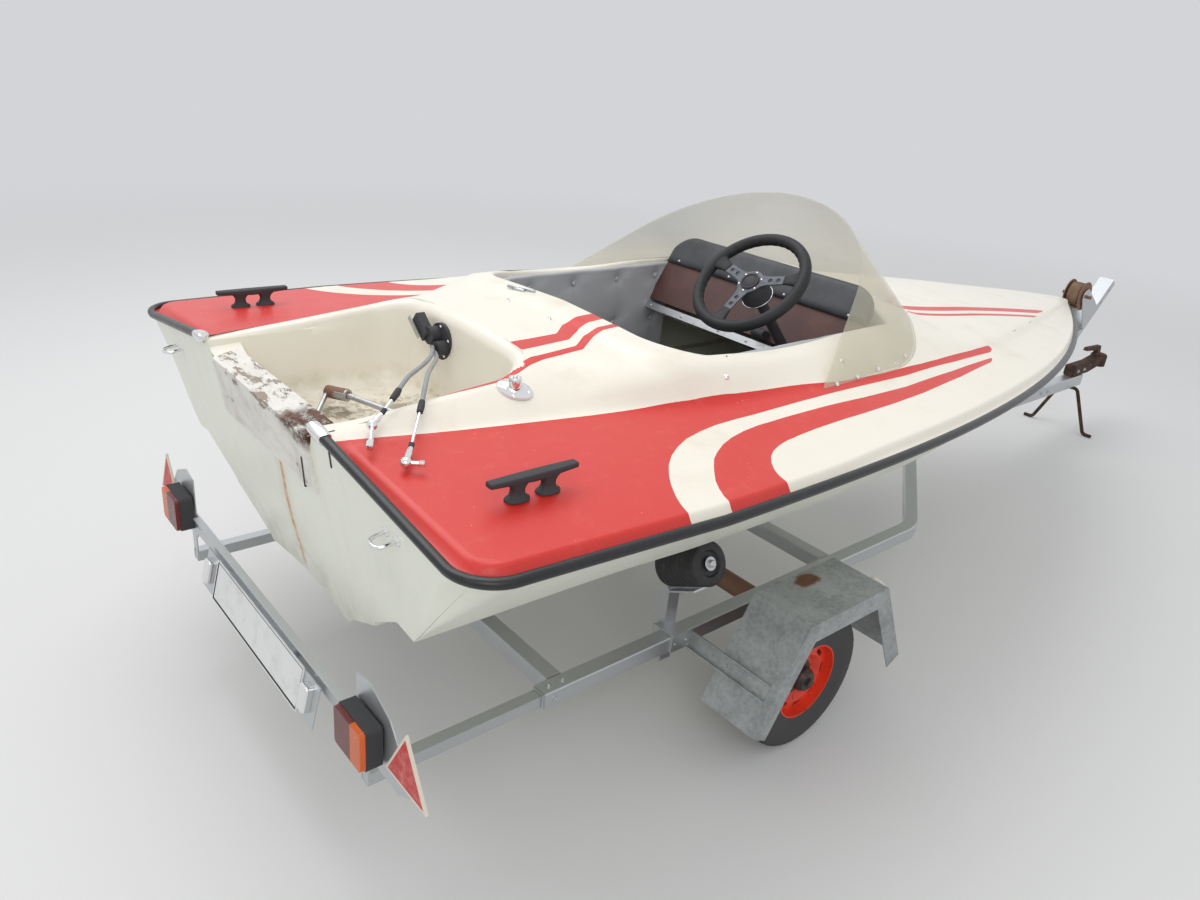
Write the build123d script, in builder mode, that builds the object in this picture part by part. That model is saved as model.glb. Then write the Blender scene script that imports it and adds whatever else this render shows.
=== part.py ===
from build123d import *
import math
import os

# Small open speedboat standing on its road trailer, in millimetres.
# X points to the bow, Y to port, Z up from the ground under the wheels.
# Stations along the boat are counted from the wheel axle.

# Overall stations of the trailer
coupling_nose = 3560
lamp_depth = 46
board_station = -1125
board_thickness = 4

# The origin lies half-way between the lamp glasses and the coupling nose.
rear_reach = board_station - lamp_depth
axle_x = -(coupling_nose + rear_reach) / 2

# Running clearances
seat_gap = 0.3
running_gap = 0.5

# Hull and deck
transom_station = -1100
transom_rake = 9.5
stern_half_beam = 834
widest_half_beam = 869
widest_station = -574
bow_station = 2789
bow_half_width = 34
plan_power = 2.33
plan_blunt = 1.05
sheer_stern = 894
sheer_slope = 0.005
sheer_drop = 8.6e-6
stern_corner_radius = 85
shell_wall = 7
transom_wall = 36
loft_overrun = 40

# Rubbing strake
rail_height = 26
rail_proud = 13
cap_length = 48
cap_half_gap = 296
cap_top_rise = 72
cap_stand_off = 3.4
cap_grow = 6

# Motor well and motor pad
well_front = -615
well_back = -1036
well_half_width = 290
well_floor = 800
well_corner = 95
pad_half_width = 250
pad_thickness = 66
pad_top = 932
pad_depth = 135
pad_proud = 8
pad_slope = 14

# Cockpit
cockpit_back = -292
cockpit_front = 560
cockpit_half_width = 432
cockpit_corner = 150
floor_level = 575
floor_thickness = 12
lining_thickness = 22
lining_top = 1006
lining_bottom = 690

floor_aft = -420
floor_front = 1080
seat_aft = -255
seat_depth = 330
seat_half_width = 385
seat_base_height = 60
seat_cushion_height = 70
seat_corner = 90

# Fittings on the deck and the transom
cleat_x = -865
cleat_y = 658
cleat_z = 962
cleat_length = 182
cleat_spacing = 71
cleat_width = 22
stern_eye_y = 565
stern_eye_z = 858
stern_eye_width = 44
stern_eye_reach = 40
eye_rod_radius = 4
bow_eye_z = 715
bow_eye_half = 12
bow_eye_reach = 32
socket_x = -685
socket_y = -340
socket_z = 1008
flange_y = 66
flange_z = 962

# Control cables: routes from the flange over the rim of the well, and their loose ends on the deck
cable_radius = 5
throttle_route = [
    (-656, 48, 957),
    (-706, -38, 974),
    (-770, -122, 990),
    (-840, -200, 1006),
    (-900, -262, 1018),
    (-948, -312, 1009),
]
gear_route = [
    (-656, 38, 948),
    (-700, -52, 968),
    (-765, -140, 988),
    (-826, -224, 1006),
    (-868, -289, 1019),
    (-914, -348, 988),
]
gland_radius = 6
gland_length = 25
throttle_end = [(-948, -312, 1009), (-994, -338, 984), (-1020, -352, 972), (-1056, -414, 958)]
gear_end = [(-914, -348, 988), (-990, -444, 954), (-1024, -488, 951), (-997, -507, 950)]
end_radii = (3, 7, 5)

# Steering link in the well
link_wall = (-744, -288, 852)
link_end = (-850, 108, 842)
link_boot = (-876, 166, 838)
link_eye = (-934, 96, 816)

# Dash
dash_foot_x = 400
dash_foot_z = 868
dash_rake = 32
dash_panel_height = 164
dash_panel_thickness = 9
dash_pad_height = 106
dash_pad_round = 85

# Steering wheel
helm_x = 210
helm_y = -194
helm_z = 1104
helm_tilt = 47
helm_radius = 163
helm_grip = 13.5

# Windscreen
screen_wall = 4

# Trailer chassis
rail_half_width = 527
rail_section = 45
rail_wall = 3
rail_top = 302
rail_end = -685
rail_bend = 873
rail_bend_radius = 170
rail_taper = 32.6
sleeve_proud = 6
sleeve_length = 66
drawbar_section = 60
drawbar_start = 1430
drawbar_wall = 4
drawbar_end = 3300
rear_member = -650
front_member = 398

# Rollers that carry the hull
post_section = 40
post_x = -245
post_bottom = 192
side_roller_radius = 58
side_roller_length = 145
side_roller_tilt = 28
side_roller_y = 583
side_roller_z = 541
keel_roller_radius = 45
keel_roller_length = 120
keel_roller_rear = (-627.5, 414)
keel_roller_front = (420.5, 404)
bracket_wall = 5
clamp_back = 38
clamp_length = 54

# Mudguards
guard_inner_y = 633
guard_outer_y = 813
guard_wall = 3
guard_skirt = 55
guard_outline = [(-257, 166), (-112, 439), (218, 439), (372, 164)]
guard_lip = 18
channel_share = 0.63
channel_width = 45
channel_depth = 15

# Winch post and winch
post_foot_x = 2790
post_lean = 45
post_length = 715
post_width = 70
post_depth = 40
post_wall = 4
drum_x = 2965
drum_z = 765
drum_radius = 26
drum_width = 76
strap_radius = 62
strap_width = 54
cheek_gap = 5.5
cheek_wall = 4

# Coupling and front stand
coupling_height = 62
coupling_cup_radius = 42
cup_z = 352
ball_radius = 25
stand_x = 3240
stand_radius = 9

# Light board, which slides in the rails
arm_section = 30
arm_reach = -250
board_half_length = 500
board_bottom = 368
board_top = 430
plate_length = 520
plate_height = 110
plate_tilt = 13
plate_middle_z = 341
plate_stand_off = 22
plate_light_depth = 18
end_plate_wall = 3
end_plate_outline = [(474, 348), (474, 520), (528, 532), (608, 496), (702, 380), (640, 342)]
triangle_y = 678
triangle_z = 430
triangle_side = 150
triangle_turn = -30
lamp_middle_y = 532
lamp_middle_z = 422
lamp_width = 116
lamp_height = 96

# Wheels
tyre_radius = 200
tyre_width = 98
rim_radius = 117
rim_width = 78
rim_seat_radius = 108
rim_wall = 3
wheel_outer_y = 779
hub_radius = 33
stub_radius = 14
stub_tip_y = 760

# Axle under the rails, with trailing arms back to the wheels
axle_tube_x = 150
axle_tube_radius = 30
axle_half_length = 570
arm_thickness = 28
arm_big_radius = 36
arm_small_radius = 26


def across(x):
    """Plane square to the keel: local x is to port, local y is up."""
    return Plane(origin=(axle_x + x, 0, 0), x_dir=(0, 1, 0), z_dir=(1, 0, 0))


def level(z):
    """Flat plane: local x is forward of the axle, local y is to port."""
    return Plane(origin=(axle_x, 0, z))


def beside(y):
    """Upright fore-and-aft plane: local x is forward of the axle, local y is up."""
    return Plane(origin=(axle_x, y, 0), x_dir=(1, 0, 0), z_dir=(0, -1, 0))


def sheer_z(x):
    """Height of the seam between hull and deck."""
    run = x - transom_station
    return sheer_stern - sheer_slope * run - sheer_drop * run * run


def half_beam(x):
    """Half the beam at the seam: straight aft, a power curve to the bow."""
    if x < widest_station:
        share = (x - transom_station) / (widest_station - transom_station)
        return stern_half_beam + (widest_half_beam - stern_half_beam) * share
    share = (x - widest_station) / (bow_station - widest_station)
    return bow_half_width + (widest_half_beam - bow_half_width) * max(0.0, 1 - share ** plan_power) ** plan_blunt


def mirrored(points):
    """Starboard copy of a half outline, in the order that closes the outline."""
    return [(-y, z) for y, z in reversed(points)]


# Stations shared by hull, deck and rubbing strake, so that their seams agree
transom_cut = transom_station - loft_overrun
stations = [transom_cut, widest_station, -300, 100, 520, 950, 1400, 1850, 2250, 2580, bow_station]
# Hull sections: keel z, pad y, pad z, strake y, strake z, chine y, chine z
hull_sections = [
    (470, 215, 440, 382, 538, 578, 628),
    (469, 213, 438, 381, 536, 583, 620),
    (467, 210, 438, 379, 533, 590, 612),
    (461, 206, 437, 375, 530, 592, 608),
    (455, 195, 438, 362, 532, 580, 612),
    (449, 172, 441, 332, 541, 545, 624),
    (448, 136, 450, 279, 556, 465, 642),
    (470, 95, 480, 205, 588, 350, 664),
    (525, 60, 540, 130, 628, 220, 690),
    (606, 29, 618, 60, 672, 100, 706),
    (690, 6, 694, 12, 704, 20, 712),
]
# Deck sections: hump line y, z, wall top y, z, rim y, z, middle z
deck_sections = [
    (338, 953, 322, 966, 286, 986, 990),
    (412, 944, 382, 974, 288, 1034, 1044),
    (478, 938, 448, 1010, 408, 1034, 1048),
    (549, 935, 470, 1004, 432, 1008, 1040),
    (575, 930, 462, 998, 330, 1084, 1095),
    (545, 910, 514, 931, 300, 968, 990),
    (440, 881, 422, 900, 280, 922, 936),
    (318, 846, 302, 863, 200, 876, 884),
    (198, 813, 188, 824, 120, 832, 835),
    (100, 784, 90, 792, 58, 795, 797),
    (28, 760, 24, 765, 16, 767, 768),
]
strake_step = 14
chine_flat = 62
chine_drop = 9
shoulder_in = 26
shoulder_up = 17


def hull_outline(x, row):
    """Half outline of the hull from keel to seam, then mirrored."""
    keel_z, pad_y, pad_z, strake_y, strake_z, chine_y, chine_z = row
    narrow = chine_y / hull_sections[0][5]
    side = [
        (pad_y, pad_z),
        (pad_y + 4 * narrow, pad_z + strake_step * narrow),
        (strake_y, strake_z),
        (strake_y + 4 * narrow, strake_z + strake_step * narrow),
        (chine_y - chine_flat * narrow, chine_z + chine_drop * narrow),
        (chine_y, chine_z),
        (half_beam(x), sheer_z(x)),
    ]
    return [(0, keel_z)] + side + mirrored(side)


def hull_void_outline(x, row):
    """Inside of the hull, one wall in from the outline and open at the top."""
    keel_z, pad_y, pad_z, strake_y, strake_z, chine_y, chine_z = row
    narrow = chine_y / hull_sections[0][5]
    thick = shell_wall + strake_step * narrow
    top_y = half_beam(x) - shell_wall
    side = [
        (max(pad_y - shell_wall, 3), max(keel_z, pad_z) + thick),
        (max(strake_y - shell_wall, 6), strake_z + thick),
        (max(chine_y - shell_wall, 9), chine_z + thick),
        (top_y, sheer_z(x)),
        (top_y, sheer_z(x) + 60),
    ]
    return side + mirrored(side)


def deck_outline(x, row):
    """Half outline of the deck from seam to middle, then mirrored."""
    hump_y, hump_z, wall_y, wall_z, rim_y, rim_z, mid_z = row
    sheer = sheer_z(x) + seat_gap
    edge_y = half_beam(x)
    narrow = min(1.0, edge_y / stern_half_beam)
    side = [
        (edge_y, sheer),
        (edge_y - shoulder_in * narrow, sheer + shoulder_up * narrow),
        (hump_y, hump_z),
        (wall_y, wall_z),
        (rim_y, rim_z),
    ]
    return side + [(0, mid_z)] + mirrored(side)


def deck_void_outline(x, row):
    """Underside of the deck, one wall down from the outline and open below."""
    hump_y, hump_z, wall_y, wall_z, rim_y, rim_z, mid_z = row
    sheer = sheer_z(x)
    edge_y = half_beam(x)
    narrow = min(1.0, edge_y / stern_half_beam)
    side = [
        (edge_y - shell_wall, sheer - 40),
        (edge_y - shell_wall - shoulder_in * narrow, sheer + shoulder_up * narrow - shell_wall),
        (max(hump_y - shell_wall, 8), hump_z - shell_wall),
        (max(wall_y - shell_wall, 6), wall_z - shell_wall),
        (max(rim_y - shell_wall, 4), rim_z - shell_wall),
    ]
    return side + [(0, mid_z - shell_wall)] + mirrored(side)


def transom_plane(inset):
    """Raked plane of the transom, moved forward by the inset. Its normal points forward."""
    rake = math.radians(transom_rake)
    return Plane(
        origin=(axle_x + transom_station + inset, 0, sheer_stern),
        x_dir=(0, 1, 0),
        z_dir=(math.cos(rake), 0, math.sin(rake)),
    )


def transom_point(z, out=0.0):
    """Station of the transom's outer face at a height, or of a point behind it."""
    return transom_station - math.tan(math.radians(transom_rake)) * (z - sheer_stern) - out


def corner_wedge(side):
    """Sharp stern corner to take off, outside the rounded corner of the gunwale."""
    with BuildPart() as wedge:
        with BuildSketch(level(sheer_stern - 130)):
            centre_x = transom_station + stern_corner_radius
            centre_y = side * (half_beam(centre_x) - stern_corner_radius)
            reach = stern_corner_radius + 60
            with Locations((centre_x - reach / 2, centre_y + side * reach / 2)):
                Rectangle(reach, reach)
            with Locations((centre_x, centre_y)):
                Circle(stern_corner_radius, mode=Mode.SUBTRACT)
        extrude(amount=260)
    return wedge.part


def pad_notch():
    """Notch for the motor pad in the top of the transom."""
    with BuildPart() as notch:
        with BuildSketch(across(transom_station - loft_overrun)):
            with Locations((0, pad_top)):
                Rectangle(2 * (pad_half_width + seat_gap), 2 * pad_depth)
        extrude(amount=well_back - transom_station + loft_overrun)
    return notch.part


# The inside of the hull
with BuildPart() as hull_void:
    for x, row in zip(stations, hull_sections):
        with BuildSketch(across(x)):
            with BuildLine():
                Polyline(*hull_void_outline(x, row), close=True)
            make_face()
    loft(ruled=True)
    split(bisect_by=transom_plane(transom_wall), keep=Keep.TOP)
    split(bisect_by=across(bow_station - 45), keep=Keep.BOTTOM)

# Hull: moulded shell with a raked transom
with BuildPart() as hull_shell:
    for x, row in zip(stations, hull_sections):
        with BuildSketch(across(x)):
            with BuildLine():
                Polyline(*hull_outline(x, row), close=True)
            make_face()
    loft(ruled=True)
    split(bisect_by=transom_plane(0), keep=Keep.TOP)
    add(hull_void.part, mode=Mode.SUBTRACT)
    add([corner_wedge(1), corner_wedge(-1), pad_notch()], mode=Mode.SUBTRACT)
hull_shell.part.label = "hull_shell"


def tub_block(inset, low, high):
    """Block with rounded corners on the plan of the motor well, grown by the inset."""
    with BuildPart() as block:
        with BuildSketch(level(low)):
            length = well_front - well_back + 2 * inset
            with Locations(((well_front + well_back) / 2, 0)):
                RectangleRounded(length, 2 * (well_half_width + inset), well_corner + inset)
            with Locations((well_back - inset + length / 4, 0)):
                Rectangle(length / 2, 2 * (well_half_width + inset))
        extrude(amount=high - low)
    return block.part


# The space under the deck, less the motor well's own walls
with BuildPart() as deck_void:
    for x, row in zip(stations, deck_sections):
        with BuildSketch(across(x)):
            with BuildLine():
                Polyline(*deck_void_outline(x, row), close=True)
            make_face()
    loft(ruled=True)
    split(bisect_by=transom_plane(transom_wall), keep=Keep.TOP)
    split(bisect_by=across(bow_station - 45), keep=Keep.BOTTOM)
    add(tub_block(shell_wall, well_floor - 200, 1200), mode=Mode.SUBTRACT)

# The deck as a full solid, which what stands on it is trimmed to
with BuildPart() as deck_form:
    for x, row in zip(stations, deck_sections):
        with BuildSketch(across(x)):
            with BuildLine():
                Polyline(*deck_outline(x, row), close=True)
            make_face()
    loft(ruled=True)

# Deck: moulded shell with the motor well and the cockpit opening
with BuildPart() as deck_moulding:
    add(deck_form.part)
    split(bisect_by=transom_plane(0), keep=Keep.TOP)
    add(deck_void.part, mode=Mode.SUBTRACT)
    add(tub_block(shell_wall, well_floor - shell_wall, sheer_stern + 20))
    add(tub_block(0, well_floor, 1200), mode=Mode.SUBTRACT)
    # cockpit opening
    with BuildSketch(level(700)):
        length = cockpit_front - cockpit_back
        with Locations(((cockpit_front + cockpit_back) / 2, 0)):
            RectangleRounded(length, 2 * cockpit_half_width, cockpit_corner)
        with Locations((cockpit_front - length / 4, 0)):
            Rectangle(length / 2, 2 * cockpit_half_width)
    extrude(amount=500, mode=Mode.SUBTRACT)
    add(pad_notch(), mode=Mode.SUBTRACT)
    add([corner_wedge(1), corner_wedge(-1)], mode=Mode.SUBTRACT)
deck_moulding.part.label = "deck_moulding"


def rail_outline(x):
    """Section of the rubber strake on the port side at a station."""
    slope = (half_beam(x + 1) - half_beam(x - 1)) / 2 if x < bow_station else 0.0
    spread = math.hypot(1, slope)
    inner = half_beam(x) + seat_gap * 2
    outer = half_beam(x) + rail_proud * spread
    knee = half_beam(x) + rail_proud * spread * 0.6
    half = rail_height / 2
    middle = sheer_z(x)
    return [
        (inner, middle - half),
        (knee, middle - half),
        (outer, middle - half / 2),
        (outer, middle + half / 2),
        (knee, middle + half),
        (inner, middle + half),
    ]


corner_x = transom_station + stern_corner_radius
corner_y = half_beam(corner_x) - stern_corner_radius

# Rubber rubbing strake from one motor cut-out cap round the bow to the other
with BuildPart() as rubbing_strake:
    side_stations = [corner_x] + [x for x in stations if x > corner_x]
    for x in side_stations:
        with BuildSketch(across(x if x < bow_station else x + 2 * seat_gap)):
            with BuildLine():
                Polyline(*rail_outline(x), close=True)
            make_face()
    loft(ruled=True)
    # round the stern corner
    with BuildSketch(across(corner_x)):
        with BuildLine():
            Polyline(*rail_outline(corner_x), close=True)
        make_face()
    corner_axis = Axis((axle_x + corner_x, corner_y, 0), (0, 0, 1))
    revolve(axis=corner_axis, revolution_arc=90)
    # up along the transom to the cap
    for y, rise in ((corner_y, 0), (cap_half_gap, cap_top_rise)):
        with BuildSketch(beside(y)):
            with BuildLine():
                Polyline(
                    *[
                        (transom_point(z + rise, out - half_beam(corner_x)), z + rise)
                        for out, z in rail_outline(corner_x)
                    ],
                    close=True,
                )
            make_face()
    loft(ruled=True)
    mirror(about=Plane.XZ)
    # blunt nose across the bow
    nose_z = sheer_z(bow_station)
    with BuildSketch(level(nose_z - rail_height / 2)):
        with Locations((bow_station + 2 * seat_gap + rail_proud / 2, 0)):
            Rectangle(rail_proud, 2 * (bow_half_width + rail_proud))
    extrude(amount=rail_height)
rubbing_strake.part.label = "rubbing_strake"

# Chrome caps over the ends of the strake at the motor cut-out
with BuildPart() as strake_caps:
    cap_x = transom_point(sheer_stern + cap_top_rise) - cap_stand_off
    for y, grow in ((cap_half_gap - seat_gap, cap_grow), (cap_half_gap - cap_length, 0)):
        with BuildSketch(beside(y)):
            with Locations((cap_x - (rail_proud + grow) / 2, sheer_stern + cap_top_rise)):
                RectangleRounded(rail_proud + grow, rail_height + grow, 5)
    loft(ruled=True)
    mirror(about=Plane.XZ)
strake_caps.part.label = "strake_caps"

# Wooden motor pad let into the top of the transom
pad_foot = pad_top - pad_depth + seat_gap
with BuildPart() as motor_pad:
    with BuildSketch(beside(-pad_half_width)):
        with BuildLine():
            Polyline(
                (transom_point(pad_top, pad_proud), pad_top),
                (transom_point(pad_foot, pad_proud), pad_foot),
                (transom_point(pad_foot) + transom_wall, pad_foot),
                (transom_point(pad_top) + pad_thickness - pad_proud, pad_top + pad_slope),
                close=True,
            )
        make_face()
    extrude(amount=-2 * pad_half_width)
    fillet(motor_pad.edges().filter_by(Axis.Y).group_by(Axis.Z)[-1], 5)
motor_pad.part.label = "motor_pad"

# Wrap-round windscreen: two nested leaning cones, cut by a raked plane and trimmed to the deck
screen_foot_z = 930
screen_head_z = 1320
screen_foot_radius = 578
screen_foot_centre = 412
screen_head_radius = 300
screen_head_centre = 290
screen_tip_x = 112
screen_rake = 35.0


with BuildPart() as windscreen:
    for wall, mode in ((0, Mode.ADD), (screen_wall, Mode.SUBTRACT)):
        for z, radius, centre in (
            (screen_foot_z, screen_foot_radius, screen_foot_centre),
            (screen_head_z, screen_head_radius, screen_head_centre),
        ):
            with BuildSketch(level(z)):
                with BuildLine():
                    reach = radius - wall
                    back = screen_tip_x - 60
                    Polyline((centre, -reach), (back, -reach), (back, reach), (centre, reach))
                    ThreePointArc((centre, reach), (centre + reach, 0), (centre, -reach))
                make_face()
        loft(ruled=True, mode=mode)
    rake = math.radians(screen_rake)
    split(
        bisect_by=Plane(
            origin=(axle_x + screen_tip_x, 0, 948),
            x_dir=(0, 1, 0),
            z_dir=(-math.sin(rake), 0, math.cos(rake)),
        ),
        keep=Keep.BOTTOM,
    )
    add(deck_form.part.moved(Location((0, 0, seat_gap * 2))), mode=Mode.SUBTRACT)
windscreen.part.label = "windscreen"


dash_half_width = cockpit_half_width - lining_thickness - 2 * seat_gap


def dash_plane(y=0.0, up=0.0):
    """Plane of the dash face: local x is to starboard, local y is up the face."""
    rake = math.radians(dash_rake)
    return Plane(
        origin=(axle_x + dash_foot_x + up * math.sin(rake), y, dash_foot_z + up * math.cos(rake)),
        x_dir=(0, -1, 0),
        z_dir=(-math.cos(rake), 0, math.sin(rake)),
    )


def helm_plane(back=0.0):
    """Plane of the steering wheel, moved back towards the driver."""
    tilt = math.radians(helm_tilt)
    return Plane(
        origin=(axle_x + helm_x - back * math.cos(tilt), helm_y, helm_z + back * math.sin(tilt)),
        x_dir=(0, -1, 0),
        z_dir=(-math.cos(tilt), 0, math.sin(tilt)),
    )


# Brown dash panel, raked forward
column_radius = 16
with BuildPart() as dash_panel:
    with BuildSketch(dash_plane()):
        with Locations((0, dash_panel_height / 2 + 12)):
            Rectangle(2 * dash_half_width, dash_panel_height - 24)
    extrude(amount=-dash_panel_thickness)
    with BuildSketch(helm_plane(-180)):
        Circle(column_radius + seat_gap)
    extrude(amount=-220, mode=Mode.SUBTRACT)
dash_panel.part.label = "dash_panel"

# Black padded top of the dash, with round shoulders
with BuildPart() as dash_pad:
    with BuildSketch(dash_plane(up=dash_panel_height)):
        with BuildLine():
            low = seat_gap
            high = dash_pad_height
            edge = dash_half_width
            Polyline((-edge + dash_pad_round, high), (edge - dash_pad_round, high))
            ThreePointArc(
                (edge - dash_pad_round, high),
                (edge - dash_pad_round * 0.29, high - dash_pad_round * 0.29),
                (edge, high - dash_pad_round),
            )
            Polyline((edge, high - dash_pad_round), (edge, low), (-edge, low), (-edge, high - dash_pad_round))
            ThreePointArc(
                (-edge, high - dash_pad_round),
                (-edge + dash_pad_round * 0.29, high - dash_pad_round * 0.29),
                (-edge + dash_pad_round, high),
            )
        make_face()
    extrude(amount=6)
    extrude(dash_pad.faces().sort_by(Axis.X)[-1], amount=10)
dash_pad.part.label = "dash_pad"

# Aluminium strip along the lower edge of the dash
with BuildPart() as dash_strip:
    with BuildSketch(dash_plane()):
        with Locations((0, 0)):
            Rectangle(2 * dash_half_width, 24 - 2 * seat_gap)
    extrude(amount=3)
    with BuildSketch(dash_plane()):
        with Locations((0, -12 + seat_gap + 1.5)):
            Rectangle(2 * dash_half_width, 3)
    extrude(amount=-24)
    with BuildSketch(helm_plane(-180)):
        Circle(column_radius + seat_gap)
    extrude(amount=-220, mode=Mode.SUBTRACT)
dash_strip.part.label = "dash_strip"

# Steering column from behind the dash to the boss of the wheel
column_length = 300
spindle_radius = 8
spoke_width = 30
spoke_turns = (139, 239, 339)
spoke_thickness = 4
boss_length = 62
with BuildPart() as steering_column:
    with BuildSketch(helm_plane(-boss_length - running_gap)):
        Circle(column_radius)
    extrude(amount=-column_length)
    with BuildSketch(helm_plane(-boss_length - running_gap)):
        Circle(spindle_radius)
    extrude(amount=boss_length + spoke_thickness)
steering_column.part.label = "steering_column"

# Steering wheel: grip, three drilled spokes, hub and boss in one turning piece
with BuildPart() as steering_wheel:
    with BuildSketch(helm_plane()):
        Circle(34)
        for turn in spoke_turns:
            with Locations(Location((0, 0), turn)):
                with Locations((helm_radius / 2, 0)):
                    Rectangle(helm_radius, spoke_width)
        Circle(spindle_radius + seat_gap, mode=Mode.SUBTRACT)
        for turn in spoke_turns:
            for reach in (62, 88, 112):
                with Locations(Location((0, 0), turn)):
                    with Locations((reach, 0)):
                        Circle(7, mode=Mode.SUBTRACT)
    extrude(amount=spoke_thickness)
    ring_plane = Plane(origin=helm_plane(spoke_thickness / 2).origin, x_dir=(0, -1, 0), z_dir=helm_plane().y_dir)
    with BuildSketch(ring_plane):
        with Locations((helm_radius - helm_grip / 2, 0)):
            Circle(helm_grip)
    revolve(axis=Axis(helm_plane().origin, helm_plane().z_dir))
    for back, radius in ((0, 26), (-boss_length, 44)):
        with BuildSketch(helm_plane(back)):
            Circle(radius)
    loft()
    with BuildSketch(helm_plane(-boss_length)):
        Circle(spindle_radius + seat_gap)
    extrude(amount=boss_length + spoke_thickness, mode=Mode.SUBTRACT)
    with BuildSketch(helm_plane(spoke_thickness)):
        Circle(26)
    extrude(amount=8)
steering_wheel.part.label = "steering_wheel"

# Throttle control with its grey roller, on the dash beside the column
with BuildPart() as throttle_control:
    with BuildSketch(dash_plane(y=-104, up=36)):
        RectangleRounded(46, 30, 6)
    extrude(amount=20)
    with BuildSketch(beside(-104 + 22)):
        with Locations((dash_foot_x - 2, dash_foot_z + 40)):
            Circle(14)
    extrude(amount=44)
throttle_control.part.label = "throttle_control"


def opening_outline(inset):
    """Plan of the cockpit opening, drawn in by the inset: round corners aft, open square forward."""
    length = cockpit_front - cockpit_back - inset
    with Locations(((cockpit_front + cockpit_back + inset) / 2, 0)):
        RectangleRounded(length, 2 * (cockpit_half_width - inset), cockpit_corner - inset)
    with Locations((cockpit_front - length / 4, 0)):
        Rectangle(length / 2, 2 * (cockpit_half_width - inset))


# Vinyl lining round the sides and the back of the cockpit
with BuildPart() as cockpit_lining:
    with BuildSketch(level(lining_bottom)):
        opening_outline(seat_gap)
        with BuildSketch(level(lining_bottom), mode=Mode.SUBTRACT):
            opening_outline(lining_thickness)
            with Locations((cockpit_front, 0)):
                Rectangle(80, 2 * (cockpit_half_width - lining_thickness))
    extrude(amount=lining_top - lining_bottom)
cockpit_lining.part.label = "cockpit_lining"

# Cockpit floor, fitted to the inside of the hull, with the box of the bench
with BuildPart() as cockpit_floor:
    with BuildSketch(level(floor_level)):
        with Locations(((floor_aft + floor_front) / 2, 0)):
            Rectangle(floor_front - floor_aft, 2 * cockpit_half_width)
    extrude(amount=-floor_thickness)
    add(hull_void.part.moved(Location((0, 0, 2 * seat_gap))), mode=Mode.INTERSECT)
    with BuildSketch(level(floor_level)):
        with Locations((seat_aft + seat_depth / 2, 0)):
            Rectangle(seat_depth, 2 * seat_half_width)
    extrude(amount=seat_base_height)
cockpit_floor.part.label = "cockpit_floor"

# Padded seat on the bench
with BuildPart() as seat_cushion:
    with BuildSketch(level(floor_level + seat_base_height + seat_gap)):
        with Locations((seat_aft + seat_depth / 2, 0)):
            RectangleRounded(seat_depth, 2 * seat_half_width, seat_corner)
    extrude(amount=seat_cushion_height)
    fillet(seat_cushion.edges().group_by(Axis.Z)[-1], 20)
seat_cushion.part.label = "seat_cushion"

# Horn cleats on the aft side decks
with BuildPart() as mooring_cleats:
    with BuildSketch(beside(-cleat_y)):
        with BuildLine():
            end = cleat_length / 2
            foot = cleat_spacing / 2
            Polyline(
                (cleat_x - end, cleat_z - 4),
                (cleat_x - end, cleat_z + 6),
                (cleat_x + end, cleat_z + 6),
                (cleat_x + end, cleat_z - 4),
                (cleat_x + foot + 24, cleat_z - 11),
                (cleat_x + foot + 12, cleat_z - 26),
                (cleat_x + foot + 20, cleat_z - 60),
                (cleat_x + foot - 16, cleat_z - 60),
                (cleat_x + foot - 9, cleat_z - 24),
                (cleat_x + foot - 18, cleat_z - 11),
                (cleat_x - foot + 18, cleat_z - 11),
                (cleat_x - foot + 9, cleat_z - 24),
                (cleat_x - foot + 16, cleat_z - 60),
                (cleat_x - foot - 20, cleat_z - 60),
                (cleat_x - foot - 12, cleat_z - 26),
                (cleat_x - foot - 24, cleat_z - 11),
                close=True,
            )
        make_face()
    extrude(amount=cleat_width / 2, both=True)
    mirror(about=Plane.XZ)
    add(deck_form.part.moved(Location((0, 0, seat_gap))), mode=Mode.SUBTRACT)
mooring_cleats.part.label = "mooring_cleats"


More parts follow.
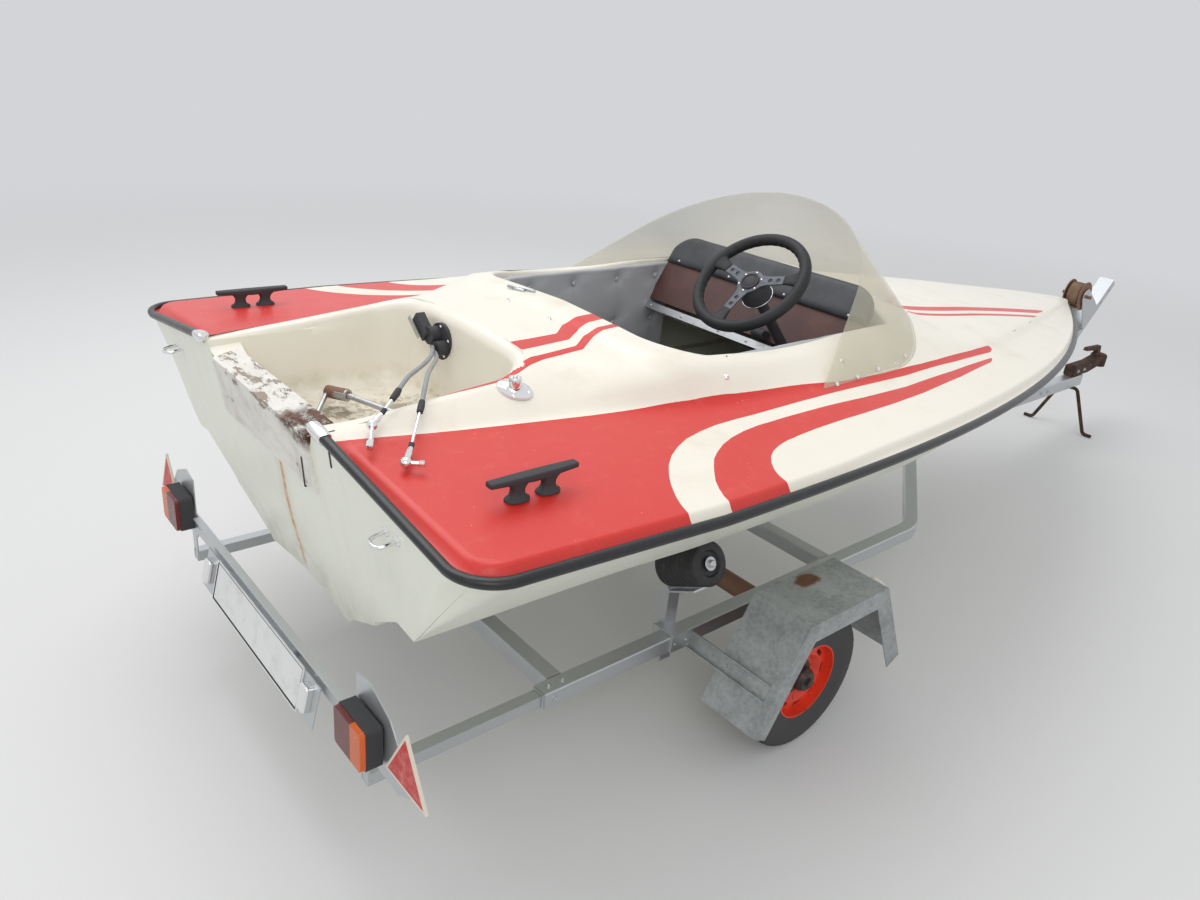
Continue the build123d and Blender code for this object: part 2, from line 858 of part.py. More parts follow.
# Stainless fittings: eyes on the transom and the stem, and the lamp socket on the deck
with BuildPart() as chrome_fittings:
    lean = math.radians(transom_rake)
    eye_plane = Plane(
        origin=(axle_x + transom_point(stern_eye_z, seat_gap), -stern_eye_y, stern_eye_z),
        x_dir=(0, 1, 0),
        z_dir=(-math.sin(lean), 0, math.cos(lean)),
    )
    with BuildLine(eye_plane):
        bow = FilletPolyline(
            (-stern_eye_width / 2, 0),
            (-stern_eye_width / 2, stern_eye_reach),
            (stern_eye_width / 2, stern_eye_reach),
            (stern_eye_width / 2, 0),
            radius=stern_eye_width / 2 - 1,
        )
    with BuildSketch(Plane(origin=bow @ 0, z_dir=bow % 0)):
        Circle(eye_rod_radius)
    sweep()
    mirror(about=Plane.XZ)
    with BuildLine(beside(0)):
        stem = FilletPolyline(
            (bow_station + seat_gap, bow_eye_z - bow_eye_half),
            (bow_station + bow_eye_reach, bow_eye_z - bow_eye_half),
            (bow_station + bow_eye_reach, bow_eye_z + bow_eye_half),
            (bow_station + seat_gap, bow_eye_z + bow_eye_half),
            radius=bow_eye_half - 1,
        )
    with BuildSketch(Plane(origin=stem @ 0, z_dir=stem % 0)):
        Circle(eye_rod_radius)
    sweep(path=stem)
    with BuildSketch(level(socket_z - 40)):
        with Locations((socket_x, socket_y)):
            SlotOverall(78, 40, rotation=70)
    extrude(amount=47)
    with BuildSketch(level(socket_z + 7)):
        with Locations((socket_x, socket_y)):
            Circle(15)
    extrude(amount=22)
    with BuildSketch(level(socket_z + 29)):
        with Locations((socket_x, socket_y)):
            Circle(10)
    extrude(amount=-24, mode=Mode.SUBTRACT)
    add(deck_form.part.moved(Location((0, 0, seat_gap))), mode=Mode.SUBTRACT)
chrome_fittings.part.label = "chrome_fittings"


def rod_between(start, end, radius):
    """Round bar from one point to another, stations counted from the axle."""
    first = Vector(*start) + Vector(axle_x, 0, 0)
    last = Vector(*end) + Vector(axle_x, 0, 0)
    with BuildPart() as bar:
        with BuildSketch(Plane(origin=first, z_dir=last - first)):
            Circle(radius)
        extrude(amount=(last - first).length)
    return bar.part


# Black flange in the front wall of the well, with its elbow and the glands of the two cables
with BuildPart() as cable_flange:
    with BuildSketch(across(well_front - seat_gap)):
        with Locations((flange_y, flange_z)):
            Circle(46)
    extrude(amount=-9)
    with BuildSketch(across(well_front - seat_gap - 9)):
        with Locations((flange_y + 14, flange_z + 14)):
            Circle(22)
        with Locations((flange_y - 22, flange_z - 9)):
            Circle(18)
    extrude(amount=-26)
    with BuildSketch(across(well_front - seat_gap - 18)):
        with Locations((flange_y + 46, flange_z + 28)):
            Rectangle(64, 30, rotation=38)
    extrude(amount=-24)
    for route in (throttle_route, gear_route):
        mouth = Vector(*route[0])
        root = mouth - (Vector(*route[1]) - mouth).normalized() * gland_length
        add(rod_between(root, mouth, gland_radius))
cable_flange.part.label = "cable_flange"


def cable_tube(route):
    """Round cable along a route of straight runs joined by the largest arcs that fit."""
    points = [Vector(axle_x + x, y, z) for x, y, z in route]
    radii = []
    for before, at, after in zip(points, points[1:], points[2:]):
        shorter = min((at - before).length, (after - at).length)
        radii.append(0.45 * shorter / math.tan(math.radians((at - before).get_angle(after - at) / 2)))
    with BuildPart() as tube:
        with BuildLine():
            route_line = FilletPolyline(*points, radius=radii)
        with BuildSketch(Plane(origin=route_line @ 0, z_dir=route_line % 0)):
            Circle(cable_radius)
        sweep()
    print("cable length", round(route_line.length), "bend radii", [round(radius) for radius in radii])
    return tube.part


# Two grey control cables from the flange over the rim of the well to the side deck
with BuildPart() as throttle_cable:
    add(cable_tube(throttle_route))
throttle_cable.part.label = "throttle_cable"

with BuildPart() as gear_cable:
    add(cable_tube(gear_route))
gear_cable.part.label = "gear_cable"

# Rods, ball joints and pins on the loose ends of the cables
with BuildPart() as cable_ends:
    for tip in (throttle_end, gear_end):
        for start, end, radius in zip(tip, tip[1:], end_radii):
            add(rod_between(start, end, radius))
cable_ends.part.label = "cable_ends"

# Steering link lying in the motor well
with BuildPart() as steering_link:
    add(rod_between(link_wall, link_end, 7))
    add(rod_between(link_end, link_boot, 15))
    add(rod_between(link_boot, link_eye, 6))
steering_link.part.label = "steering_link"

# Trailer side rails, bent in to the drawbar
rail_centre_y = rail_half_width - rail_section / 2
rail_centre_z = rail_top - rail_section / 2
rail_run = rail_centre_y / math.tan(math.radians(rail_taper))

with BuildPart() as rail_port:
    with BuildLine(level(rail_centre_z)) as rail_line:
        FilletPolyline(
            (rail_end, rail_centre_y),
            (rail_bend, rail_centre_y),
            (rail_bend + rail_run, 0),
            radius=rail_bend_radius,
        )
    with BuildSketch(Plane(origin=rail_line.line @ 0, x_dir=(0, 1, 0), z_dir=(1, 0, 0))):
        RectangleRounded(rail_section, rail_section, 4)
        Rectangle(rail_section - 2 * rail_wall, rail_section - 2 * rail_wall, mode=Mode.SUBTRACT)
    sweep()
    # sleeve in the end of the rail, which guides the arm of the light board
    with BuildSketch(across(rail_end - sleeve_proud)):
        with Locations((rail_centre_y, rail_centre_z)):
            hole = arm_section + 2 * running_gap
            Rectangle(rail_section - 2 * rail_wall, rail_section - 2 * rail_wall)
            Rectangle(hole, hole, mode=Mode.SUBTRACT)
    extrude(amount=sleeve_length)
    split(
        bisect_by=Plane(origin=(0, drawbar_section / 2 + seat_gap, 0), x_dir=(1, 0, 0), z_dir=(0, 1, 0)),
        keep=Keep.TOP,
    )
rail_port.part.label = "rail_port"

with BuildPart() as rail_starboard:
    mirror(rail_port.part, about=Plane.XZ)
rail_starboard.part.label = "rail_starboard"

# Square drawbar
with BuildPart() as drawbar:
    with BuildSketch(across(drawbar_start)):
        with Locations((0, rail_top - drawbar_section / 2)):
            RectangleRounded(drawbar_section, drawbar_section, 5)
            inner = drawbar_section - 2 * drawbar_wall
            Rectangle(inner, inner, mode=Mode.SUBTRACT)
    extrude(amount=drawbar_end - drawbar_start)
drawbar.part.label = "drawbar"


def cross_member(start):
    """Hollow cross-member between the rails."""
    with BuildPart() as member:
        half = rail_half_width - rail_section - seat_gap
        with BuildSketch(beside(-half)):
            with Locations((start + rail_section / 2, rail_centre_z)):
                RectangleRounded(rail_section, rail_section, 4)
                inner = rail_section - 2 * rail_wall
                Rectangle(inner, inner, mode=Mode.SUBTRACT)
        extrude(amount=-2 * half)
    return member.part


with BuildPart() as cross_members:
    add([cross_member(rear_member), cross_member(front_member)])
cross_members.part.label = "cross_members"

# Axle tube under the rails, with trailing arms and the stub axles of the wheels
axle_tube_z = rail_top - rail_section - seat_gap - axle_tube_radius
with BuildPart() as axle:
    with BuildSketch(beside(-axle_half_length - 1)):
        with Locations((axle_tube_x, axle_tube_z)):
            Circle(axle_tube_radius)
            Circle(axle_tube_radius - 5, mode=Mode.SUBTRACT)
    extrude(amount=-2 * axle_half_length - 2)
    for side in (1, -1):
        with BuildSketch(beside(-side * axle_half_length)):
            with Locations((axle_tube_x, axle_tube_z)):
                Circle(arm_big_radius)
            with Locations((0, tyre_radius)):
                Circle(arm_small_radius)
            make_hull()
        extrude(amount=side * arm_thickness)
        with BuildSketch(beside(-side * axle_half_length)):
            with Locations((0, tyre_radius)):
                Circle(stub_radius)
        extrude(amount=side * (stub_tip_y - axle_half_length))
axle.part.label = "axle"

# Tyres, rims and hubs
wheel_middle_y = wheel_outer_y - tyre_width / 2
wheel_axis = Axis((axle_x, 0, tyre_radius), (0, 1, 0))

with BuildPart() as tyre_port:
    with BuildSketch(level(tyre_radius)):
        with BuildLine():
            inner = rim_seat_radius + seat_gap
            bead = rim_width / 2 - rim_wall - seat_gap
            half = tyre_width / 2
            for side in (1, -1):
                mid = wheel_middle_y
                Polyline((inner, mid), (inner, mid + side * bead), (rim_radius + 2, mid + side * bead))
                ThreePointArc(
                    (rim_radius + 2, mid + side * bead),
                    (rim_radius + 34, mid + side * half),
                    (tyre_radius - 14, mid + side * (half - 6)),
                )
                ThreePointArc(
                    (tyre_radius - 14, mid + side * (half - 6)),
                    (tyre_radius - 5, mid + side * (half - 12)),
                    (tyre_radius, mid + side * (half - 24)),
                )
                Line((tyre_radius, mid + side * (half - 24)), (tyre_radius, mid))
        make_face()
    revolve(axis=wheel_axis)
    # circumferential grooves of the tread
    with BuildSketch(level(tyre_radius)):
        for groove_y in (-14, 0, 14):
            with Locations((tyre_radius, wheel_middle_y + groove_y)):
                Rectangle(10, 4)
    revolve(axis=wheel_axis, mode=Mode.SUBTRACT)
tyre_port.part.label = "tyre_port"

# Pressed rims with their hubs
disc_y = wheel_middle_y + 12
slot_circle = 82
hub_inner_y = axle_half_length + arm_thickness + 12
bore = stub_radius + seat_gap
with BuildPart() as rim_port:
    with BuildSketch(level(tyre_radius)):
        with BuildLine():
            edge = rim_width / 2
            Polyline(
                (rim_radius, wheel_middle_y + edge),
                (rim_radius, wheel_middle_y + edge - rim_wall),
                (rim_seat_radius, wheel_middle_y + edge - rim_wall),
                (rim_seat_radius, wheel_middle_y - edge + rim_wall),
                (rim_radius, wheel_middle_y - edge + rim_wall),
                (rim_radius, wheel_middle_y - edge),
                (rim_seat_radius - rim_wall, wheel_middle_y - edge),
                (rim_seat_radius - rim_wall, disc_y - 2),
                (72, disc_y + 6),
                (58, disc_y - 8),
                (hub_radius + 8, disc_y - 8),
                (hub_radius + 8, hub_inner_y),
                (bore, hub_inner_y),
                (bore, stub_tip_y + running_gap),
                (0, stub_tip_y + running_gap),
                (0, wheel_outer_y - 8),
                (hub_radius - 7, wheel_outer_y - 8),
                (hub_radius, wheel_outer_y - 20),
                (hub_radius, disc_y - 4),
                (56, disc_y - 4),
                (70, disc_y + 10),
                (rim_seat_radius - rim_wall, disc_y + 3),
                (rim_seat_radius - rim_wall, wheel_middle_y + edge),
                close=True,
            )
        make_face()
    revolve(axis=wheel_axis)
    # slots round the disc
    with BuildSketch(Plane(origin=(axle_x, disc_y - 20, tyre_radius), x_dir=(1, 0, 0), z_dir=(0, 1, 0))):
        with PolarLocations(slot_circle, 8):
            SlotOverall(34, 14, rotation=90)
        with PolarLocations(46, 4, start_angle=22.5):
            Circle(5)
    extrude(amount=40, mode=Mode.SUBTRACT)
    with BuildSketch(Plane(origin=(axle_x, wheel_outer_y - 8, tyre_radius), x_dir=(1, 0, 0), z_dir=(0, 1, 0))):
        RegularPolygon(15, 4)
    extrude(amount=8)
rim_port.part.label = "rim_port"

with BuildPart() as tyre_starboard:
    mirror(tyre_port.part, about=Plane.XZ)
tyre_starboard.part.label = "tyre_starboard"

with BuildPart() as rim_starboard:
    mirror(rim_port.part, about=Plane.XZ)
rim_starboard.part.label = "rim_starboard"


def guard_panel(start, end, depth):
    """Piece of the mudguard between two distances from the middle, as deep as given."""
    with BuildPart() as panel:
        with BuildSketch(beside(start)):
            with BuildLine():
                outer = Polyline(*guard_outline)
                offset(outer, amount=depth, side=Side.RIGHT, closed=True)
            make_face()
        extrude(amount=start - end)
    return panel.part


def guard_face(along, share, lift):
    """Plane on one slope of the mudguard: local x is out to port, local y is down the slope."""
    top, foot = (guard_outline[1], guard_outline[0]) if along == "rear" else (guard_outline[2], guard_outline[3])
    run = Vector(foot[0] - top[0], 0, foot[1] - top[1])
    down = run.normalized()
    out = Vector(0, 1, 0).cross(down) * (-1 if along == "front" else 1)
    origin = Vector(axle_x + top[0], 0, top[1]) + run * share + out * lift
    return Plane(origin=origin, x_dir=(0, 1, 0), z_dir=Vector(0, 1, 0).cross(down))


# Mudguards: bent sheet with a deep outer skirt, carried from the rails on drilled channels
with BuildPart() as mudguards:
    add(guard_panel(guard_inner_y, guard_outer_y, guard_wall))
    add(guard_panel(guard_outer_y - guard_wall, guard_outer_y, guard_skirt))
    add(guard_panel(guard_inner_y, guard_inner_y + guard_wall, guard_lip))
    start_y = rail_half_width + seat_gap
    channel_length = guard_outer_y - 22 - start_y
    channel_middle = start_y + channel_length / 2
    for face, side in ((guard_face("rear", channel_share, 0), 1), (guard_face("front", channel_share, 0), -1)):
        with BuildSketch(face):
            with Locations((channel_middle, 0)):
                Rectangle(channel_length, channel_width)
            with Locations((guard_inner_y + 28, 0), (guard_outer_y - 49, 0)):
                Circle(6, mode=Mode.SUBTRACT)
        extrude(amount=side * guard_wall)
        flange = channel_width / 2 - guard_wall / 2
        with BuildSketch(face):
            with Locations((channel_middle, -flange), (channel_middle, flange)):
                Rectangle(channel_length, guard_wall)
        extrude(amount=side * channel_depth)
    mirror(about=Plane.XZ)
mudguards.part.label = "mudguards"

# White front markers on the mudguards
with BuildPart() as front_markers:
    marker = guard_face("front", 0.12, seat_gap)
    with BuildSketch(marker):
        with Locations((guard_outer_y - 52, 0)):
            Circle(25)
    extrude(amount=-17)
    mirror(about=Plane.XZ)
front_markers.part.label = "front_markers"


def roller_plane(along):
    """Plane square to the axis of the port side roller, a distance in from its outer face."""
    tilt = math.radians(side_roller_tilt)
    return Plane(
        origin=(axle_x + post_x, side_roller_y - along * math.cos(tilt), side_roller_z - along * math.sin(tilt)),
        x_dir=(-1, 0, 0),
        z_dir=(0, math.cos(tilt), math.sin(tilt)),
    )


def keel_roller(place):
    """Rubber keel roller, waisted in the middle."""
    x, z = place
    with BuildPart() as roller:
        half = keel_roller_length / 2
        with BuildSketch(Plane(origin=(axle_x + x, 0, z), x_dir=(1, 0, 0), z_dir=(0, 0, 1))):
            with BuildLine():
                Polyline(
                    (roller_bore + seat_gap, half),
                    (keel_roller_radius - 6, half),
                    (keel_roller_radius, half - 6),
                    (keel_roller_radius, half - 26),
                )
                ThreePointArc(
                    (keel_roller_radius, half - 26),
                    (keel_roller_radius - 7, 0),
                    (keel_roller_radius, 26 - half),
                )
                Polyline(
                    (keel_roller_radius, 26 - half),
                    (keel_roller_radius, 6 - half),
                    (keel_roller_radius - 6, -half),
                    (roller_bore + seat_gap, -half),
                    (roller_bore + seat_gap, half),
                )
            make_face()
        revolve(axis=Axis((axle_x + x, 0, z), (0, 1, 0)))
    return roller.part


# Rubber rollers under the keel and under both chines
roller_bore = 10
with BuildPart() as rollers:
    with BuildSketch(roller_plane(side_roller_length)):
        Circle(side_roller_radius)
        Circle(roller_bore + seat_gap, mode=Mode.SUBTRACT)
    extrude(amount=side_roller_length)
    chamfer(rollers.edges().filter_by(GeomType.CIRCLE).group_by(Edge.length)[-1], 6)
    mirror(about=Plane.XZ)
    add([keel_roller(keel_roller_rear), keel_roller(keel_roller_front)])
rollers.part.label = "rollers"

post_y = rail_half_width - rail_section - seat_gap - post_section / 2
bracket_end = side_roller_length + seat_gap
bracket_plane = roller_plane(bracket_end + bracket_wall)


def roller_post():
    """Square post on the port side, cut off along the base plate of its roller bracket."""
    with BuildPart() as post:
        with BuildSketch(level(post_bottom)):
            with Locations((post_x, post_y)):
                Rectangle(post_section, post_section)
        extrude(amount=300)
        seat = bracket_plane.origin - bracket_plane.y_dir * (side_roller_radius + 8)
        split(bisect_by=Plane(origin=seat, x_dir=(1, 0, 0), z_dir=bracket_plane.y_dir), keep=Keep.BOTTOM)
    return post.part


# Posts clamped to the rails with the brackets of the side rollers, and the forks of the keel rollers
with BuildPart() as roller_brackets:
    with BuildSketch(bracket_plane):
        with Locations((0, -side_roller_radius / 2 - 4)):
            Rectangle(post_section + 10, side_roller_radius + 8)
        Circle(24)
    extrude(amount=bracket_wall)
    with BuildSketch(bracket_plane):
        with Locations((0, -side_roller_radius - 8)):
            Rectangle(post_section + 10, bracket_wall)
    extrude(amount=96)
    with BuildSketch(bracket_plane):
        Circle(roller_bore)
    extrude(amount=bracket_end + bracket_wall + 6)
    add(roller_post())
    with BuildSketch(across(post_x - clamp_back)):
        with BuildLine():
            outer_y = rail_half_width + seat_gap
            top_z = rail_top + seat_gap
            low_z = rail_top - rail_section
            Polyline(
                (post_y, top_z),
                (outer_y, top_z),
                (outer_y, low_z),
                (outer_y + bracket_wall, low_z),
                (outer_y + bracket_wall, top_z + bracket_wall),
                (post_y, top_z + bracket_wall),
                close=True,
            )
        make_face()
    extrude(amount=clamp_length)
    mirror(about=Plane.XZ)
    cheek = keel_roller_length / 2 + seat_gap
    for x, z in (keel_roller_rear, keel_roller_front):
        with BuildSketch(level(top_z)):
            with Locations((x, 0)):
                Rectangle(rail_section, 2 * (cheek + bracket_wall))
        extrude(amount=bracket_wall)
        for start in (-cheek, cheek + bracket_wall):
            with BuildSketch(beside(start)):
                with Locations((x, (top_z + z) / 2)):
                    Rectangle(rail_section, z - top_z)
                with Locations((x, z)):
                    Circle(rail_section / 2)
            extrude(amount=bracket_wall)
        with BuildSketch(beside(cheek + bracket_wall + 4)):
            with Locations((x, z)):
                Circle(roller_bore)
        extrude(amount=2 * (cheek + bracket_wall + 4))
roller_brackets.part.label = "roller_brackets"


def post_plane(along):
    """Plane square to the winch post at a distance up from its foot."""
    lean = math.radians(post_lean)
    return Plane(
        origin=(axle_x + post_foot_x + along * math.sin(lean), 0, rail_top + along * math.cos(lean)),
        x_dir=(0, 1, 0),
        z_dir=(math.sin(lean), 0, math.cos(lean)),
    )


# Winch post: drilled channel leaning forward from the drawbar, with the cheeks of the winch
drum_centre = Vector(axle_x + drum_x, 0, drum_z)
post_up = post_plane(0).z_dir
post_out = post_plane(0).y_dir
drum_along = (drum_centre - post_plane(0).origin).dot(post_up)
drum_out = (drum_centre - post_plane(0).origin).dot(post_out)
cheek_plane = Plane(origin=post_plane(drum_along).origin, x_dir=-post_up, z_dir=(0, 1, 0))
with BuildPart() as winch_post:
    with BuildSketch(post_plane(-60)):
        Rectangle(post_width, post_depth)
        with Locations((0, -post_wall)):
            Rectangle(post_width - 2 * post_wall, post_depth, mode=Mode.SUBTRACT)
    extrude(amount=post_length + 60)
    for along in (420, 500, 580, 660):
        with BuildSketch(Plane(origin=post_plane(along).origin, z_dir=(0, 1, 0))):
            Circle(8)
        extrude(amount=post_width, both=True, mode=Mode.SUBTRACT)
    split(bisect_by=Plane(origin=(0, 0, rail_top + seat_gap), z_dir=(0, 0, 1)), keep=Keep.TOP)
    for start in (-drum_width / 2 - cheek_gap - cheek_wall, drum_width / 2 + cheek_gap):
        with BuildSketch(cheek_plane.offset(start)):
            with BuildLine():
                Polyline(
                    (-80, post_depth / 2),
                    (70, post_depth / 2),
                    (34, drum_out + 20),
                    (-34, drum_out + 20),
                    close=True,
                )
            make_face()
            with Locations((0, drum_out)):
                Circle(36)
                Circle(spindle_radius + seat_gap, mode=Mode.SUBTRACT)
        extrude(amount=cheek_wall)
    with BuildSketch(Plane(origin=post_plane(drum_along).origin + post_out * post_depth / 2, z_dir=post_out)):
        Rectangle(140, drum_width + 2 * cheek_gap + 2 * cheek_wall)
    extrude(amount=cheek_wall)
winch_post.part.label = "winch_post"

# Drum with its axle, two flanges and a crank boss
drum_axis_plane = Plane(origin=(axle_x + drum_x, 0, drum_z), x_dir=(1, 0, 0), z_dir=(0, 1, 0))
with BuildPart() as winch_drum:
    with BuildSketch(drum_axis_plane):
        Circle(drum_radius)
    extrude(amount=drum_width / 2, both=True)
    for start in (-drum_width / 2, drum_width / 2 - 4):
        with BuildSketch(drum_axis_plane.offset(start)):
            Circle(strap_radius + 8)
        extrude(amount=4)
    with BuildSketch(drum_axis_plane):
        Circle(spindle_radius)
    extrude(amount=drum_width / 2 + cheek_gap + cheek_wall + 22, both=True)
winch_drum.part.label = "winch_drum"

# Brown strap wound on the drum
with BuildPart() as strap_coil:
    with BuildSketch(drum_axis_plane):
        Circle(strap_radius)
        Circle(drum_radius + seat_gap, mode=Mode.SUBTRACT)
    extrude(amount=strap_width / 2, both=True)
strap_coil.part.label = "strap_coil"

# Strap from the coil to the towing eye
with BuildPart() as winch_strap:
    hook_x = bow_station + bow_eye_reach + eye_rod_radius + seat_gap
    reach = strap_radius + seat_gap
    with BuildSketch(beside(-strap_width / 2)):
        with BuildLine():
            Polyline(
                (drum_x - 20, drum_z - math.sqrt(reach * reach - 400)),
                (hook_x, bow_eye_z + 2),
                (hook_x, bow_eye_z - 2),
                (drum_x - 20, drum_z - math.sqrt(reach * reach - 400) - 4),
                close=True,
            )
        make_face()
    extrude(amount=-strap_width)
winch_strap.part.label = "winch_strap"

# Ball coupling with its tube, cup and lifting handle
with BuildPart() as coupling:
    with BuildSketch(across(drawbar_end - 120)):
        with Locations((0, rail_top + seat_gap + coupling_height / 2)):
            RectangleRounded(58, coupling_height, 12)
    extrude(amount=180)
    with BuildSketch(across(drawbar_end + 60)):
        with Locations((0, rail_top + seat_gap + coupling_height / 2)):
            RectangleRounded(58, coupling_height, 12)
    with BuildSketch(across(coupling_nose - coupling_cup_radius)):
        with Locations((0, cup_z + 4)):
            RectangleRounded(64, 52, 12)
    loft(ruled=True)
    with BuildSketch(level(cup_z - 34)):
        with Locations((coupling_nose - coupling_cup_radius, 0)):
            Circle(coupling_cup_radius)
    extrude(amount=66)
    fillet(coupling.edges().filter_by(GeomType.CIRCLE).group_by(Axis.Z)[-1], 14)
    with BuildSketch(level(cup_z - 34)):
        with Locations((coupling_nose - coupling_cup_radius, 0)):
            Circle(ball_radius + seat_gap)
    extrude(amount=42, mode=Mode.SUBTRACT)
    with BuildSketch(beside(-11)):
        with BuildLine():
            Polyline(
                (coupling_nose - 118, rail_top + coupling_height - 10),
                (coupling_nose - 62, cup_z + 26),
                (coupling_nose - 84, 436),
                (coupling_nose - 250, 444),
                (coupling_nose - 262, 428),
                (coupling_nose - 112, 414),
                close=True,
            )
        make_face()
    extrude(amount=-22)
coupling.part.label = "coupling"

# Front stand of bent round bar under the drawbar
with BuildPart() as front_stand:
    with BuildLine(across(stand_x)):
        stand_top = rail_top - drawbar_section - seat_gap - stand_radius
        bar = FilletPolyline(
            (-185, stand_radius),
            (-140, stand_radius),
            (-45, stand_top),
            (45, stand_top),
            (140, stand_radius),
            (185, stand_radius),
            radius=25,
        )
    with BuildSketch(Plane(origin=bar @ 0, z_dir=bar % 0)):
        Circle(stand_radius)
    sweep()
front_stand.part.label = "front_stand"

def plate_plane(back):
    """Plane of the number plate, tilted with its top forward, moved back by a distance."""
    tilt = math.radians(plate_tilt)
    return Plane(
        origin=(
            axle_x + board_station - plate_stand_off - back * math.cos(tilt),
            0,
            plate_middle_z + back * math.sin(tilt),
        ),
        x_dir=(0, -1, 0),
        z_dir=(-math.cos(tilt), 0, math.sin(tilt)),
    )


def plate_back_x(z):
    """Station of the middle of the carrier behind the number plate at a height."""
    return board_station - plate_stand_off + (z - plate_middle_z) * math.tan(math.radians(plate_tilt)) + 1.5


# Light board: arms, uprights, folded board, end plates and the carrier of the number plate
board_front = board_station + board_thickness
with BuildPart() as light_board:
    with BuildSketch(across(board_front - 1)):
        with Locations((rail_centre_y, rail_centre_z)):
            Rectangle(arm_section, arm_section)
            Rectangle(arm_section - 5, arm_section - 5, mode=Mode.SUBTRACT)
    extrude(amount=arm_reach - board_front + 1)
    with BuildSketch(across(board_front)):
        with Locations((rail_centre_y, (rail_centre_z + board_top - arm_section / 2) / 2)):
            Rectangle(arm_section, board_top - rail_centre_z + arm_section / 2)
        with BuildLine():
            Polyline(*end_plate_outline, close=True)
        make_face()
    extrude(amount=end_plate_wall)
    mirror(about=Plane.XZ)
    with BuildSketch(across(board_station)):
        with Locations((0, (board_bottom + board_top) / 2)):
            Rectangle(2 * board_half_length + 60, board_top - board_bottom)
    extrude(amount=board_thickness)
    with BuildSketch(across(board_station)):
        with Locations((0, board_top - 2)):
            Rectangle(2 * board_half_length - 130, board_thickness)
    extrude(amount=-14)
    with BuildSketch(plate_plane(-3)):
        Rectangle(plate_length + 150, plate_height - 6)
    extrude(amount=3 - seat_gap)
    with BuildSketch(beside(-190)):
        with BuildLine():
            Polyline(
                (board_station + 1, board_bottom + 4),
                (board_station + 1, board_bottom + 24),
                (plate_back_x(board_bottom + 24), board_bottom + 24),
                (plate_back_x(board_bottom + 4), board_bottom + 4),
                close=True,
            )
        make_face()
    extrude(amount=-380)
light_board.part.label = "light_board"

# Red triangular reflectors on the end plates
with BuildPart() as reflectors:
    with BuildSketch(across(board_station + board_thickness)):
        with Locations((triangle_y, triangle_z)):
            Triangle(a=triangle_side, b=triangle_side, c=triangle_side, rotation=triangle_turn)
        with Locations((triangle_y, triangle_z)):
            Triangle(a=triangle_side * 0.3, b=triangle_side * 0.3, c=triangle_side * 0.3, mode=Mode.SUBTRACT)
    extrude(amount=-6)
    mirror(about=Plane.XZ)
reflectors.part.label = "reflectors"

# Black housings of the rear lamps
housing_depth = lamp_depth - 12
with BuildPart() as lamp_housings:
    with BuildSketch(across(board_station - seat_gap)):
        with Locations((lamp_middle_y, lamp_middle_z)):
            RectangleRounded(lamp_width, lamp_height, 10)
    extrude(amount=-housing_depth)
    mirror(about=Plane.XZ)
lamp_housings.part.label = "lamp_housings"

# Red and amber lenses
with BuildPart() as lamp_lenses:
    with BuildSketch(across(board_station - 2 * seat_gap - housing_depth)):
        with Locations((lamp_middle_y, lamp_middle_z)):
            RectangleRounded(lamp_width - 4, lamp_height - 4, 9)
    extrude(amount=-(lamp_depth - housing_depth - 2 * seat_gap), taper=8)
    mirror(about=Plane.XZ)
lamp_lenses.part.label = "lamp_lenses"


# Blank number plate with a raised rim
with BuildPart() as number_plate:
    with BuildSketch(plate_plane(0)):
        RectangleRounded(plate_length, plate_height, 8)
    extrude(amount=3)
    with BuildSketch(plate_plane(3)):
        RectangleRounded(plate_length - 10, plate_height - 10, 5)
    extrude(amount=-1.2, mode=Mode.SUBTRACT)
number_plate.part.label = "number_plate"

# Chrome lights at both ends of the plate
with BuildPart() as plate_lights:
    with BuildSketch(plate_plane(0)):
        with Locations((plate_length / 2 + 34, 6), (-plate_length / 2 - 34, 6)):
            RectangleRounded(36, 64, 8)
    extrude(amount=plate_light_depth)
    fillet(plate_lights.faces().group_by(Axis.X)[0].edges(), 6)
plate_lights.part.label = "plate_lights"

os.makedirs("parts", exist_ok=True)
export_step(hull_shell.part, "parts/hull_shell.step")
export_step(deck_moulding.part, "parts/deck_moulding.step")
export_step(rubbing_strake.part, "parts/rubbing_strake.step")
export_step(strake_caps.part, "parts/strake_caps.step")
export_step(motor_pad.part, "parts/motor_pad.step")
export_step(windscreen.part, "parts/windscreen.step")
export_step(dash_panel.part, "parts/dash_panel.step")
export_step(dash_pad.part, "parts/dash_pad.step")
export_step(dash_strip.part, "parts/dash_strip.step")
export_step(steering_column.part, "parts/steering_column.step")
export_step(steering_wheel.part, "parts/steering_wheel.step")
export_step(throttle_control.part, "parts/throttle_control.step")
export_step(cockpit_lining.part, "parts/cockpit_lining.step")
export_step(cockpit_floor.part, "parts/cockpit_floor.step")
export_step(seat_cushion.part, "parts/seat_cushion.step")
export_step(mooring_cleats.part, "parts/mooring_cleats.step")
export_step(chrome_fittings.part, "parts/chrome_fittings.step")
export_step(cable_flange.part, "parts/cable_flange.step")
export_step(throttle_cable.part, "parts/throttle_cable.step")
export_step(gear_cable.part, "parts/gear_cable.step")
export_step(cable_ends.part, "parts/cable_ends.step")
export_step(steering_link.part, "parts/steering_link.step")
export_step(rail_port.part, "parts/rail_port.step")
export_step(rail_starboard.part, "parts/rail_starboard.step")
export_step(drawbar.part, "parts/drawbar.step")
export_step(cross_members.part, "parts/cross_members.step")
export_step(axle.part, "parts/axle.step")
export_step(tyre_port.part, "parts/tyre_port.step")
export_step(rim_port.part, "parts/rim_port.step")
export_step(tyre_starboard.part, "parts/tyre_starboard.step")
export_step(rim_starboard.part, "parts/rim_starboard.step")
export_step(mudguards.part, "parts/mudguards.step")
